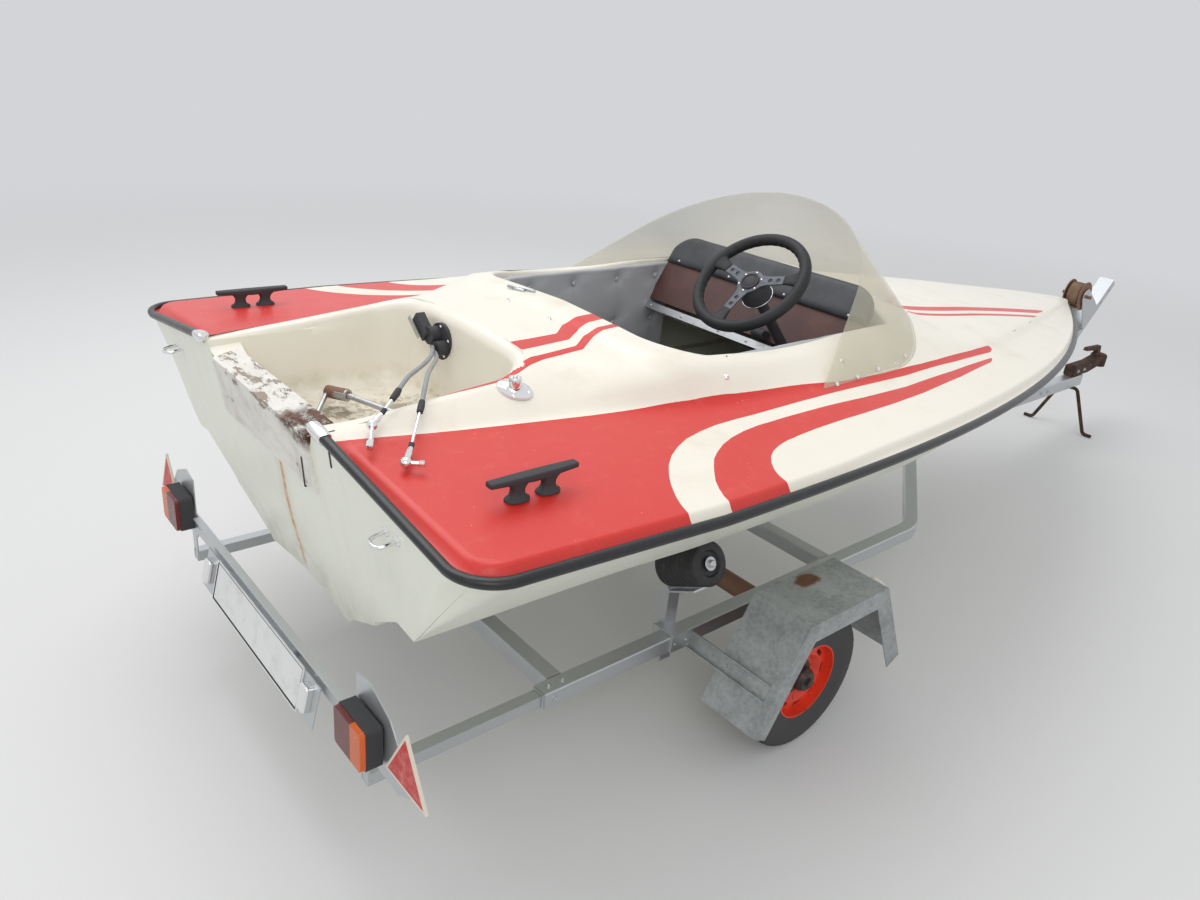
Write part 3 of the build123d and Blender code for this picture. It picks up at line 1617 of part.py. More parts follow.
export_step(front_markers.part, "parts/front_markers.step")
export_step(rollers.part, "parts/rollers.step")
export_step(roller_brackets.part, "parts/roller_brackets.step")
export_step(winch_post.part, "parts/winch_post.step")
export_step(winch_drum.part, "parts/winch_drum.step")
export_step(strap_coil.part, "parts/strap_coil.step")
export_step(winch_strap.part, "parts/winch_strap.step")
export_step(coupling.part, "parts/coupling.step")
export_step(front_stand.part, "parts/front_stand.step")
export_step(light_board.part, "parts/light_board.step")
export_step(reflectors.part, "parts/reflectors.step")
export_step(lamp_housings.part, "parts/lamp_housings.step")
export_step(lamp_lenses.part, "parts/lamp_lenses.step")
export_step(number_plate.part, "parts/number_plate.step")
export_step(plate_lights.part, "parts/plate_lights.step")
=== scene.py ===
import logging
import math
from dataclasses import dataclass
from enum import Enum

import bmesh
import bpy
import numpy as np
from mathutils import Matrix, Vector


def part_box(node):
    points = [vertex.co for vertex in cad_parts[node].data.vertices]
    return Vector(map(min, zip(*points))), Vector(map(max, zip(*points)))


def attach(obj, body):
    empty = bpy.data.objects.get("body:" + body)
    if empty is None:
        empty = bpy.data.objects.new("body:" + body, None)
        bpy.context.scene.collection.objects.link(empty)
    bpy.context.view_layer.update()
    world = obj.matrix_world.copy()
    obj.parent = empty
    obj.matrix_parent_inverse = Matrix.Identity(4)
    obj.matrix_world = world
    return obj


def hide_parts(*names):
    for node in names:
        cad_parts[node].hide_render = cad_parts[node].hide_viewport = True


# Looks of a small open speedboat on its road trailer.
# Lengths in the classes are millimetres: x is the station ahead of the wheel axle, y is to port, z is up.

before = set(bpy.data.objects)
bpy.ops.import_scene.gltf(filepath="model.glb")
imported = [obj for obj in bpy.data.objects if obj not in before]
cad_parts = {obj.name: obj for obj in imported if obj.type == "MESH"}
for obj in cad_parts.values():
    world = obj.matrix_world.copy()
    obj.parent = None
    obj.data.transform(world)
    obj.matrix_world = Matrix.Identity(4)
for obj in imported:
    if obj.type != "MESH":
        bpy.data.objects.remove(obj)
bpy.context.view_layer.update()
LOG = logging.getLogger("speedboat")
AXLE_X = -1.1945
TRANSOM = -1100.0
BOW = 2789.0
CORNER = 85.0
SEAM = 894.0
CHINE = 628.0
LEAN = math.radians(9.5)
RAKE = math.tan(LEAN)
CAP_Y = 296.0
STRAKE_RISE = 72.0
FULL = 2 * math.pi
Array = np.ndarray
Point = tuple[float, float, float]
Colour = tuple[float, float, float]
Plan = tuple[tuple[float, float], ...]


# ---------------------------------------------------------------- numbers and curves


def through(knots: Array, values: Array, at: Array) -> Array:
    """Monotone cubic curve through rows of values, one column for each measure.

    Args:
        knots: Rising positions of the rows.
        values: One row for each knot.
        at: Positions wanted, of any shape.

    Returns:
        Array of the shape of at, with one more axis for the columns.
    """
    step = np.diff(knots)
    rise = np.diff(values, axis=0) / step[:, None]
    near, far = (2 * step[1:] + step[:-1])[:, None], (step[1:] + 2 * step[:-1])[:, None]
    with np.errstate(divide="ignore", invalid="ignore"):
        mean = (near + far) / (near / rise[:-1] + far / rise[1:])
    slope = np.zeros_like(values)
    slope[1:-1] = np.where(rise[:-1] * rise[1:] > 0, mean, 0.0)
    slope[0], slope[-1] = rise[0], rise[-1]
    flat = np.asarray(at, float).ravel()
    i = np.clip(np.searchsorted(knots, flat) - 1, 0, len(step) - 1)
    t = ((flat - knots[i]) / step[i])[:, None]
    run = step[i][:, None]
    out = (
        values[i] * (2 * t**3 - 3 * t**2 + 1)
        + slope[i] * run * (t**3 - 2 * t**2 + t)
        + values[i + 1] * (3 * t**2 - 2 * t**3)
        + slope[i + 1] * run * (t**3 - t**2)
    )
    return out.reshape(np.shape(at) + (values.shape[1],))


def ease(t: Array) -> Array:
    """Smooth step from 0 to 1: three t squared less two t cubed."""
    t = np.clip(t, 0.0, 1.0)
    return t * t * (3 - 2 * t)


def ramp(d: Array, width: Array) -> Array:
    """Zero below 0 and d above it, rounded over the width by a hyperbola."""
    return (d + np.sqrt(d * d + width * width)) / 2


def blend_rows(low: Array, high: Array, count: int) -> Array:
    """Straight rulings between two rows of points: low plus t times the difference."""
    t = np.linspace(0, 1, count)[:, None, None]
    return low[None] * (1 - t) + high[None] * t


def unit(way: Array | Point) -> Array:
    """Directions cut to length 1."""
    return way / np.linalg.norm(way, axis=-1, keepdims=True)


def circle(count: int, end: bool = False) -> Array:
    """Angles once round, with or without the first one again at the end."""
    return np.linspace(0, FULL, count, endpoint=end)


def squared(wave: Array, power: float) -> Array:
    """Sine or cosine made blunt: its size to a power, with its sign kept."""
    return np.sign(wave) * np.abs(wave) ** power


# ---------------------------------------------------------------- meshes


@dataclass(frozen=True)
class Sheet:
    """A structured surface: rows by columns of points in millimetres, and a point behind it."""

    points: Array
    behind: Point | Array
    wrap: bool = False

    @classmethod
    def pair(cls, grid: Array, behind: Point) -> "list[Sheet]":
        """The surface and its mirror image across the middle plane."""
        return [cls(grid, behind), cls(grid * np.array([1.0, -1.0, 1.0]), behind)]

    @classmethod
    def raked(cls, grid: Array, behind: Point) -> "list[Sheet]":
        """The pair, leant on to the raked transom."""
        return cls.pair(LINES.rake(grid), behind)


class Maker:
    """Turns structured surfaces into Blender meshes in the shared frame."""

    @staticmethod
    def place(points: Array | Point) -> Array:
        """Points in millimetres from the axle, as metres in the shared frame."""
        return np.asarray(points, float) * 0.001 + np.array([AXLE_X, 0.0, 0.0])

    @classmethod
    def mesh(cls, name: str, sheets: list[Sheet], weld: float = 0.05, crease: float = 40.0) -> bpy.types.Object:
        """Builds one smooth-shaded mesh from surfaces.

        Args:
            name: Name of the object.
            sheets: Surfaces, each turned so that its faces look away from the point behind it.
            weld: Distance in millimetres under which points become one.
            crease: Angle in degrees above which an edge stays sharp.

        Returns:
            The object, linked to the scene.
        """
        points, quads, base = [], [], 0
        for sheet in sheets:
            rows, columns, _ = sheet.points.shape
            index = np.arange(rows * columns).reshape(rows, columns)
            if sheet.wrap:
                index = np.hstack([index, index[:, :1]])
            quad = np.stack([index[:-1, :-1], index[:-1, 1:], index[1:, 1:], index[1:, :-1]], -1).reshape(-1, 4)
            flat = sheet.points.reshape(-1, 3)
            a, b, c, d = (flat[quad[:, k]] for k in range(4))
            normal = np.cross(c - a, d - b)
            if np.sum(normal * ((a + b + c + d) / 4 - np.array(sheet.behind))) < 0:
                quad = quad[:, ::-1]
            points.append(flat)
            quads.append(quad + base)
            base += rows * columns
        data = bpy.data.meshes.new(name)
        data.from_pydata(cls.place(np.vstack(points)).tolist(), [], np.vstack(quads).tolist())
        obj = bpy.data.objects.new(name, data)
        bpy.context.scene.collection.objects.link(obj)
        return cls.settle(obj, crease, weld)

    @staticmethod
    def settle(
        obj: bpy.types.Object, crease: float, weld: float = 0.0, outward: bool = False, close: bool = False,
    ) -> bpy.types.Object:
        """Welds a mesh, closes its holes, turns its faces outwards and marks its sharp edges.

        Args:
            obj: The object, whose mesh is changed.
            crease: Angle in degrees above which an edge stays sharp.
            weld: Distance in millimetres under which points become one.
            outward: Whether the faces are turned outwards.
            close: Whether holes are filled first.

        Returns:
            The object.
        """
        work = bmesh.new()
        work.from_mesh(obj.data)
        if weld:
            bmesh.ops.remove_doubles(work, verts=work.verts, dist=weld * 0.001)
            bmesh.ops.dissolve_degenerate(work, edges=work.edges, dist=1e-6)
        if close:
            bmesh.ops.holes_fill(work, edges=[edge for edge in work.edges if edge.is_boundary], sides=0)
        if outward:
            bmesh.ops.recalc_face_normals(work, faces=work.faces)
        work.to_mesh(obj.data)
        work.free()
        obj.data.shade_smooth()
        obj.data.set_sharp_from_angle(angle=math.radians(crease))
        return obj

    @classmethod
    def shell(
        cls, name: str, sheets: list[Sheet], weld: float = 0.05, crease: float = 55.0, close: bool = True,
    ) -> bpy.types.Object:
        """A mesh that is closed and whose faces are turned outwards by their own shape."""
        return cls.settle(cls.mesh(name, sheets, weld), crease, outward=True, close=close)

    @staticmethod
    def points(data: bpy.types.Mesh) -> Array:
        """Points of a mesh, one row each, in its own metres.

        Args:
            data: The mesh.

        Returns:
            Array with three columns.
        """
        flat = np.empty(len(data.vertices) * 3)
        data.vertices.foreach_get("co", flat)
        return flat.reshape(-1, 3)

    @staticmethod
    def store(data: bpy.types.Mesh, name: str, values: Array) -> None:
        """Writes a value for each point of a mesh."""
        made = data.attributes.new(name, "FLOAT", "POINT")
        made.data.foreach_set("value", values.astype(np.float32))

    @staticmethod
    def turned(profile: Array, centre: Array, axis: Array, count: int = 72) -> Array:
        """Profile of (radius, along) pairs turned round an axis: radius times (cos a, sin a), plus along it.

        Args:
            profile: Rows of radius and distance along the axis.
            centre: Point on the axis.
            axis: Direction of the axis.
            count: Points round the circle.

        Returns:
            Grid of len(profile) rows and count columns, which wraps.
        """
        axis = unit(axis)
        side = unit(np.cross(axis, [0.0, 0.0, 1.0] if abs(axis[2]) < 0.9 else [1.0, 0.0, 0.0]))
        turn = circle(count)
        ring = np.cos(turn)[:, None] * side + np.sin(turn)[:, None] * np.cross(axis, side)
        return np.asarray(centre, float) + profile[:, 0, None, None] * ring[None] + profile[:, 1, None, None] * axis

    @classmethod
    def lathe(
        cls, profile: list | Array, centre: Array | Point, axis: Array | Point, count: int, inside: float = 0.0,
    ) -> Sheet:
        """Turned profile as a surface that wraps.

        Args:
            profile: Rows of radius and distance along the axis.
            centre: Point on the axis.
            axis: Direction of the axis.
            count: Points round the circle.
            inside: How far along the axis the point behind the surface lies.

        Returns:
            The surface.
        """
        grid = cls.turned(np.array(profile, float), centre, axis, count)
        return Sheet(grid, np.asarray(centre, float) + inside * unit(axis), True)

    @staticmethod
    def along(path: Array, profile: Array, out: Array, up: Array) -> Array:
        """Profile of (out, up) pairs carried along a path: the path plus each number times its direction."""
        return path[:, None] + profile[None, :, 0, None] * out[:, None] + profile[None, :, 1, None] * up[:, None]

    @classmethod
    def bolt(cls, at: Point, axis: Point, size: float) -> list[Sheet]:
        """Hexagon nut on a washer: turned profiles, the nut with six sides.

        Args:
            at: Middle of its foot.
            axis: Direction that it points in.
            size: Half its width.

        Returns:
            Washer, nut and the bolt's end.
        """
        low, top, end = size * 0.6, size * 0.68, size * 1.05
        washer = [[0, -0.5], [end, -0.5], [end, 1.6], [0, 1.6]]
        nut = [[0, 1.6], [size * 0.62, 1.6], [size * 0.62, low], [size * 0.5, top], [0, top]]
        stem = [[0, low], [size * 0.3, low], [size * 0.3, end], [0, end]]
        parts = ((washer, 20, 0.3), (nut, 6, 0.3), (stem, 12, 0.8))
        return [cls.lathe(part, at, axis, count, inside * size) for part, count, inside in parts]


# ---------------------------------------------------------------- shader maths


class Value:
    """A number on a surface. The arithmetic operators add Math nodes."""

    def __init__(self, kit: "Nodes", socket: bpy.types.NodeSocket):
        self.kit, self.socket = kit, socket

    def _math(self, operation: str, first: object, second: object = 0.0) -> "Value":
        """One Math node on two inputs."""
        return Value(
            self.kit, self.kit.node("ShaderNodeMath", {"operation": operation}, {0: first, 1: second}).outputs[0],
        )

    def __add__(self, other: object) -> "Value":
        return self._math("ADD", self, other)

    __radd__ = __add__

    def __mul__(self, other: object) -> "Value":
        return self._math("MULTIPLY", self, other)

    __rmul__ = __mul__

    def __sub__(self, other: object) -> "Value":
        return self._math("SUBTRACT", self, other)

    def __rsub__(self, other: object) -> "Value":
        return self._math("SUBTRACT", other, self)

    def __pow__(self, other: object) -> "Value":
        return self._math("POWER", self, other)

    def least(self, other: object) -> "Value":
        """Smaller of two values."""
        return self._math("MINIMUM", self, other)

    def most(self, other: object) -> "Value":
        """Larger of two values."""
        return self._math("MAXIMUM", self, other)

    def size(self) -> "Value":
        """Value without its sign."""
        return self._math("ABSOLUTE", self)

    def wave(self) -> "Value":
        """Sine of the value."""
        return self._math("SINE", self)

    def band(self, low: float, high: float) -> "Value":
        """0 below low, 1 above high, eased between them. Low may be the larger one.

        Args:
            low: Value that gives 0.
            high: Value that gives 1.

        Returns:
            The eased value.
        """
        node = self.kit.node(
            "ShaderNodeMapRange",
            {"interpolation_type": "SMOOTHSTEP"},
            {"Value": self, "From Min": low, "From Max": high, "To Min": 0.0, "To Max": 1.0},
        )
        return Value(self.kit, node.outputs[0])


class Nodes:
    """Builds the node tree of one material, or of the world."""

    def __init__(self, owner: bpy.types.Material | bpy.types.World):
        owner.use_nodes = True
        self.tree = owner.node_tree
        self.tree.nodes.clear()

    def node(self, kind: str, settings: dict | None = None, inputs: dict | None = None) -> bpy.types.Node:
        """Adds a node, sets its settings first, and then sets or links its sockets.

        Args:
            kind: Blender's name of the node type.
            settings: Properties of the node. The key "stops" fills a colour ramp.
            inputs: Socket name or number to a number, colour, Value, socket or node.

        Returns:
            The node.
        """
        made = self.tree.nodes.new(kind)
        for key, value in (settings or {}).items():
            if key == "stops":
                ramp_of = made.color_ramp
                while len(ramp_of.elements) < len(value):
                    ramp_of.elements.new(0.5)
                for element, (position, colour) in zip(ramp_of.elements, value):
                    element.position, element.color = position, (*colour[:3], 1.0)
            else:
                setattr(made, key, value)
        for key, value in (inputs or {}).items():
            socket = made.inputs[key]
            if isinstance(value, Value):
                self.tree.links.new(value.socket, socket)
            elif isinstance(value, bpy.types.NodeSocket):
                self.tree.links.new(value, socket)
            elif isinstance(value, tuple) and len(value) == 3 and len(getattr(socket, "default_value", value)) == 4:
                socket.default_value = (*value, 1.0)
            else:
                socket.default_value = value
        return made

    def place(self) -> bpy.types.NodeSocket:
        """Object coordinates, which are the shared frame in metres."""
        return self.node("ShaderNodeTexCoord").outputs["Object"]

    def axes(self) -> tuple[Value, Value, Value]:
        """The three object coordinates as values."""
        split = self.node("ShaderNodeSeparateXYZ", inputs={0: self.place()})
        return Value(self, split.outputs[0]), Value(self, split.outputs[1]), Value(self, split.outputs[2])

    def stretched(self, x: float, y: float, z: float) -> bpy.types.NodeSocket:
        """Object coordinates with each axis multiplied by its own number."""
        return self.node("ShaderNodeMapping", inputs={"Vector": self.place(), "Scale": (x, y, z)}).outputs[0]

    def noise(
        self, scale: float, detail: float = 4.0, rough: float = 0.55, where: bpy.types.NodeSocket | None = None,
    ) -> Value:
        """Cloudy noise round 0.5, with scale in waves a metre.

        Args:
            scale: Waves a metre.
            detail: Number of finer layers.
            rough: Weight of the finer layers.
            where: Coordinates, or the object's own.

        Returns:
            The noise.
        """
        made = self.node(
            "ShaderNodeTexNoise",
            inputs={"Vector": where or self.place(), "Scale": scale, "Detail": detail, "Roughness": rough},
        )
        return Value(self, made.outputs[0])

    def cells(self, scale: float, feature: str = "F1", where: bpy.types.NodeSocket | None = None) -> Value:
        """Distance to the nearest of scattered points, with scale in points a metre."""
        made = self.node(
            "ShaderNodeTexVoronoi", {"feature": feature}, {"Vector": where or self.place(), "Scale": scale},
        )
        return Value(self, made.outputs[0])

    def field(self, name: str) -> Value:
        """A value stored on the mesh."""
        return Value(self, self.node("ShaderNodeAttribute", {"attribute_name": name}).outputs["Fac"])

    def mix(self, share: object, first: object, second: object) -> bpy.types.NodeSocket:
        """Colour that goes from the first to the second as share goes from 0 to 1."""
        made = self.node("ShaderNodeMix", {"data_type": "RGBA"}, {0: share, 6: first, 7: second})
        return made.outputs[2]

    def bump(self, value: Value, depth: float, strength: float = 1.0) -> bpy.types.NodeSocket:
        """Normal bent by a height, with depth in metres for a height of 1."""
        return self.node("ShaderNodeBump", inputs={"Height": value, "Distance": depth, "Strength": strength}).outputs[0]

    def finish(self, **sockets: object) -> bpy.types.Node:
        """Principled shader with the given sockets, wired to the output.

        Returns:
            The shader node.
        """
        names = {key.replace("_", " "): value for key, value in sockets.items()}
        shader = self.node("ShaderNodeBsdfPrincipled", inputs=names)
        self.node("ShaderNodeOutputMaterial", inputs={"Surface": shader.outputs[0]})
        return shader


def paint(red: int, green: int, blue: int) -> Colour:
    """Colour as seen on a screen, from 0 to 255, as linear light.

    Args:
        red: Red, 0 to 255.
        green: Green, 0 to 255.
        blue: Blue, 0 to 255.

    Returns:
        The colour as linear light.
    """
    parts = [c / 255 for c in (red, green, blue)]
    linear = [c / 12.92 if c <= 0.04045 else ((c + 0.055) / 1.055) ** 2.4 for c in parts]
    return linear[0], linear[1], linear[2]


# ---------------------------------------------------------------- finishes


@dataclass(frozen=True)
class Finish:
    """A finish: makes its material once and hands it to pieces."""

    name: str

    def dress(self, obj: bpy.types.Object) -> bpy.types.Object:
        """Puts the material on an object and returns the object.

        Args:
            obj: Object to dress.

        Returns:
            The same object.
        """
        made = bpy.data.materials.get(self.name)
        if made is None:
            made = bpy.data.materials.new(self.name)
            self.build(Nodes(made))
        obj.data.materials.clear()
        obj.data.materials.append(made)
        return obj

    def build(self, kit: Nodes) -> None:
        """Adds the nodes of the finish."""
        raise NotImplementedError


@dataclass(frozen=True)
class DeckGelcoat(Finish):
    """Cream gelcoat with the red areas, whose edges are stored on the mesh as a distance."""

    cream: Colour = paint(240, 235, 220)
    grimy: Colour = paint(214, 203, 176)
    red: Colour = paint(212, 44, 34)
    faded: Colour = paint(222, 78, 64)

    def build(self, kit: Nodes) -> None:
        """Cream and red, both mottled, with scratches, dirt specks and a soft gloss.

        Args:
            kit: Node builder of the material.
        """
        fine = kit.noise(420.0, 3.0)
        cloud = kit.noise(7.0, 5.0, 0.6)
        speck = kit.cells(260.0).band(0.16, 0.10) * kit.noise(60.0, 2.0).band(0.52, 0.66)
        wobble = (kit.noise(90.0, 3.0) - 0.5) * 0.9
        inside = (kit.field("stripe") + wobble).band(-0.35, 0.35)
        grime = cloud.band(0.50, 0.80) * 0.45 + kit.field("low") * kit.noise(16.0, 5.0, 0.65).band(0.40, 0.80) * 0.6
        cream = kit.mix(grime.least(1.0), self.cream, self.grimy)
        cream = kit.mix(speck * 0.35, cream, paint(150, 138, 112))
        worn = kit.noise(24.0, 6.0, 0.7).band(0.50, 0.78) * 0.55
        red = kit.mix(worn, self.red, self.faded)
        chips = kit.cells(75.0).band(0.11, 0.07) * kit.noise(20.0, 2.0).band(0.60, 0.66)
        red = kit.mix(chips * 0.7, red, paint(236, 196, 180))
        red = kit.mix(fine.band(0.45, 0.75) * 0.14, red, paint(170, 30, 26))
        colour = kit.mix(inside, cream, red)
        litter = kit.field("straw")
        straw = (litter * 1.1).least(1.0) * (kit.noise(38.0, 8.0, 0.8) + litter * 0.10).band(0.54, 0.60)
        colour = kit.mix(litter * 0.35, colour, paint(196, 176, 140))
        colour = kit.mix(straw * 0.9, colour, kit.mix(kit.noise(160.0, 3.0), paint(70, 48, 30), paint(128, 96, 60)))
        rough = 0.30 + cloud * 0.16 + inside * 0.08 + straw * 0.3
        height = fine * 0.25 + kit.noise(900.0, 2.0) * 0.15 + inside * 0.25 + straw * 1.5
        kit.finish(
            Base_Color=colour, Roughness=rough, Normal=kit.bump(height, 0.0006), Coat_Weight=0.25, Coat_Roughness=0.22,
        )


@dataclass(frozen=True)
class HullGelcoat(Finish):
    """Pale greenish-white gelcoat of the hull, with streaks, dirt low down and a rust run on the transom."""

    white: Colour = paint(232, 234, 220)
    dull: Colour = paint(204, 207, 190)

    def build(self, kit: Nodes) -> None:
        """White and dull gelcoat mixed by upright streaks, and a rust run under the motor pad.

        Args:
            kit: Node builder of the material.
        """
        x, y, z = kit.axes()
        streak = kit.noise(3.0, 6.0, 0.6, kit.stretched(9.0, 9.0, 0.9))
        cloud = kit.noise(5.0, 4.0)
        share = streak.band(0.50, 0.85) * 0.3 + cloud.band(0.5, 0.8) * 0.3
        colour = kit.mix(share.least(1.0), self.white, self.dull)
        below = z.band(0.62, 0.50)
        colour = kit.mix(below * kit.noise(14.0, 5.0, 0.7).band(0.35, 0.7) * 0.35, colour, paint(168, 164, 138))
        aft = x.band(AXLE_X - 0.98, AXLE_X - 1.03)
        middle = y + 0.045 - (0.80 - z) * 0.10 + (kit.noise(9.0, 3.0) - 0.5) * 0.02
        run = middle.size().band(0.014, 0.002) * z.band(0.47, 0.52) * z.band(0.815, 0.79)
        halo = middle.size().band(0.05, 0.01) * z.band(0.47, 0.55) * z.band(0.83, 0.78)
        wet = kit.noise(40.0, 3.0).band(0.3, 0.7)
        colour = kit.mix((run * (0.35 + wet * 0.6) + halo * 0.14) * aft, colour, paint(190, 130, 44))
        spots = kit.cells(55.0).band(0.13, 0.06) * kit.noise(11.0, 2.0).band(0.58, 0.66)
        colour = kit.mix(spots * 0.5, colour, paint(120, 112, 84))
        rough = 0.30 + streak * 0.22
        kit.finish(
            Base_Color=colour, Roughness=rough, Normal=kit.bump(kit.noise(300.0, 3.0), 0.0002),
            Coat_Weight=0.2, Coat_Roughness=0.25,
        )


@dataclass(frozen=True)
class Clouded(Finish):
    """One tone that goes to a second in clouds, with a grain: rubber, plastic, tyres and the spokes' metal."""

    tone: Colour = paint(24, 25, 27)
    dust: Colour = paint(92, 88, 80)
    rough: float = 0.34
    dusty: float = 0.3
    clouds: tuple[float, float, float] = (30.0, 6.0, 0.65)
    edges: tuple[float, float] = (0.45, 0.85)
    grain: tuple[float, float] | None = (700.0, 2.0)
    depth: float = 0.00025
    metallic: float = 0.0

    def build(self, kit: Nodes) -> None:
        """Tone with dust in clouds, and a grain of its own or that of the clouds.

        Args:
            kit: Node builder of the material.
        """
        cloud = kit.noise(*self.clouds)
        colour = kit.mix(cloud.band(*self.edges) * self.dusty, self.tone, self.dust)
        grain = kit.noise(*self.grain) if self.grain else cloud
        kit.finish(
            Base_Color=colour, Metallic=self.metallic, Roughness=self.rough + cloud * 0.2,
            Normal=kit.bump(grain, self.depth),
        )


@dataclass(frozen=True)
class Metal(Finish):
    """Bare metal with scratches and stains: chrome, aluminium or a worn bright part."""

    tone: Colour = paint(205, 207, 208)
    stain: Colour = paint(120, 112, 100)
    rough: float = 0.16
    stained: float = 0.25

    def build(self, kit: Nodes) -> None:
        """Metal whose stains are duller than the rest.

        Args:
            kit: Node builder of the material.
        """
        cloud = kit.noise(45.0, 6.0, 0.7)
        share = cloud.band(0.50, 0.80) * self.stained
        colour = kit.mix(share, self.tone, self.stain)
        scratch = kit.noise(260.0, 3.0, 0.6, kit.stretched(1.0, 6.0, 1.0))
        kit.finish(
            Base_Color=colour, Metallic=1.0 - share * 0.6, Roughness=self.rough + share * 0.4 + scratch * 0.10,
            Normal=kit.bump(scratch, 0.0002),
        )


@dataclass(frozen=True)
class Galvanised(Finish):
    """Hot-dip galvanised steel: grey spangle, white bloom, run marks and small rust spots."""

    light: Colour = paint(172, 178, 180)
    dark: Colour = paint(118, 124, 127)
    rust_share: float = 0.12
    spangle: float = 0.45
    spot: tuple[float, float] | None = None

    def build(self, kit: Nodes) -> None:
        """Spangle cells over clouds of two greys, with bloom and rust.

        Args:
            kit: Node builder of the material.
        """
        flakes = kit.cells(85.0)
        cloud = kit.noise(13.0, 6.0, 0.68)
        patch = kit.noise(4.0, 3.0)
        tone = (cloud * (1.2 - self.spangle) + flakes * self.spangle).band(0.34, 0.82)
        colour = kit.mix(tone, self.dark, self.light)
        bloom = kit.noise(34.0, 6.0, 0.75).band(0.56, 0.72) * patch.band(0.42, 0.62)
        colour = kit.mix(bloom * 0.55, colour, paint(206, 208, 204))
        rust = kit.noise(28.0, 6.0, 0.7).band(0.66, 0.76) * kit.noise(3.2, 2.0).band(0.50, 0.64)
        colour = kit.mix(rust * min(1.0, self.rust_share * 5), colour, paint(112, 62, 34))
        grime = kit.noise(3.4, 6.0, 0.7).band(0.45, 0.72)
        colour = kit.mix(grime * 0.4, colour, paint(110, 109, 100))
        if self.spot:
            x, y, z = kit.axes()
            away = (((x - self.spot[0]) * 20.0) ** 2.0 + ((y - self.spot[1]) * 38.0) ** 2.0) ** 0.5
            off = away + (kit.noise(30.0, 5.0, 0.7) - 0.5) * 0.9
            patch = off.band(1.15, 0.7) * z.band(0.42, 0.435)
            colour = kit.mix(patch, colour, kit.mix(kit.noise(60.0, 5.0), paint(132, 92, 66), paint(96, 62, 42)))
        metal = 0.55 - bloom * 0.35 - rust * 0.5
        kit.finish(
            Base_Color=colour, Metallic=metal.most(0.0), Roughness=0.44 + cloud * 0.2 + bloom * 0.2,
            Normal=kit.bump(cloud * 0.7 + flakes * 0.3 + kit.noise(240.0, 3.0) * 0.3, 0.0010),
        )


@dataclass(frozen=True)
class Rusty(Finish):
    """Steel with brown rust in scales and some darker old paint."""

    rust: Colour = paint(110, 70, 46)
    dark: Colour = paint(52, 42, 38)
    warm: Colour = paint(150, 92, 52)

    def build(self, kit: Nodes) -> None:
        """Three browns laid over each other in clouds, rough all over.

        Args:
            kit: Node builder of the material.
        """
        cloud = kit.noise(16.0, 7.0, 0.72)
        colour = kit.mix(cloud.band(0.35, 0.65), self.dark, self.rust)
        colour = kit.mix(kit.noise(42.0, 6.0, 0.7).band(0.52, 0.74) * 0.8, colour, self.warm)
        scale = kit.noise(130.0, 6.0, 0.75)
        kit.finish(
            Base_Color=colour, Metallic=0.15, Roughness=0.72 + cloud * 0.2, Normal=kit.bump(scale + cloud, 0.0016),
        )


@dataclass(frozen=True)
class PeelingPad(Finish):
    """Worn white paint on the motor pad, cracked along the grain, with brown rot at the starboard end."""

    white: Colour = paint(232, 230, 222)
    wood: Colour = paint(134, 106, 82)
    rot: Colour = paint(96, 56, 34)

    def build(self, kit: Nodes) -> None:
        """Flakes along the grain show wood, and the top edge to starboard is rotten.

        Args:
            kit: Node builder of the material.
        """
        _, y, z = kit.axes()
        grain = kit.noise(18.0, 7.0, 0.72, kit.stretched(3.0, 0.8, 3.0))
        chip = kit.noise(22.0, 7.0, 0.78, kit.stretched(1.6, 0.6, 1.6))
        high = (z + (grain - 0.5) * 0.05).band(0.880, 0.935)
        flake = (chip + high * 0.10 - 0.05).band(0.58, 0.62)
        edge = (kit.noise(14.0, 4.0) - 0.5) * 0.16
        end = (y + edge).band(-0.105, -0.19) * (z + edge * 0.4).band(0.885, 0.925)
        colour = kit.mix(grain.band(0.35, 0.75) * 0.55, self.white, paint(204, 198, 184))
        grey = kit.noise(7.0, 6.0, 0.7, kit.stretched(1.0, 2.0, 0.6)).band(0.45, 0.7)
        colour = kit.mix((1 - high) * grey * 0.5, colour, paint(176, 170, 156))
        colour = kit.mix(flake * 0.75, colour, self.wood)
        rot = (end * kit.noise(34.0, 6.0, 0.75).band(0.38, 0.52)).least(1.0)
        colour = kit.mix(rot, colour, self.rot)
        kit.finish(
            Base_Color=colour, Roughness=0.6 + flake * 0.25,
            Normal=kit.bump(grain * 1.5 - flake * 0.7 - rot * 2.0, 0.0016),
        )


@dataclass(frozen=True)
class Acrylic(Finish):
    """Clear screen with a yellow tint, hazy and scratched towards its foot."""

    tint: Colour = paint(212, 208, 184)

    def build(self, kit: Nodes) -> None:
        """Thin see-through sheet: alpha rises with haze, scratches and a grazing view.

        Args:
            kit: Node builder of the material.
        """
        _, _, z = kit.axes()
        haze = kit.noise(4.0, 5.0, 0.6)
        scratch = kit.noise(60.0, 5.0, 0.7, kit.stretched(1.0, 1.0, 5.0)).band(0.6, 0.75)
        graze = Value(kit, kit.node("ShaderNodeLayerWeight", inputs={"Blend": 0.35}).outputs["Facing"])
        foot = z.band(1.12, 0.95)
        alpha = (0.10 + haze * 0.14 + scratch * 0.10 + foot * 0.10 + graze * 0.22).least(0.8)
        kit.finish(Base_Color=self.tint, Roughness=0.10 + haze * 0.12, Alpha=alpha, IOR=1.49)


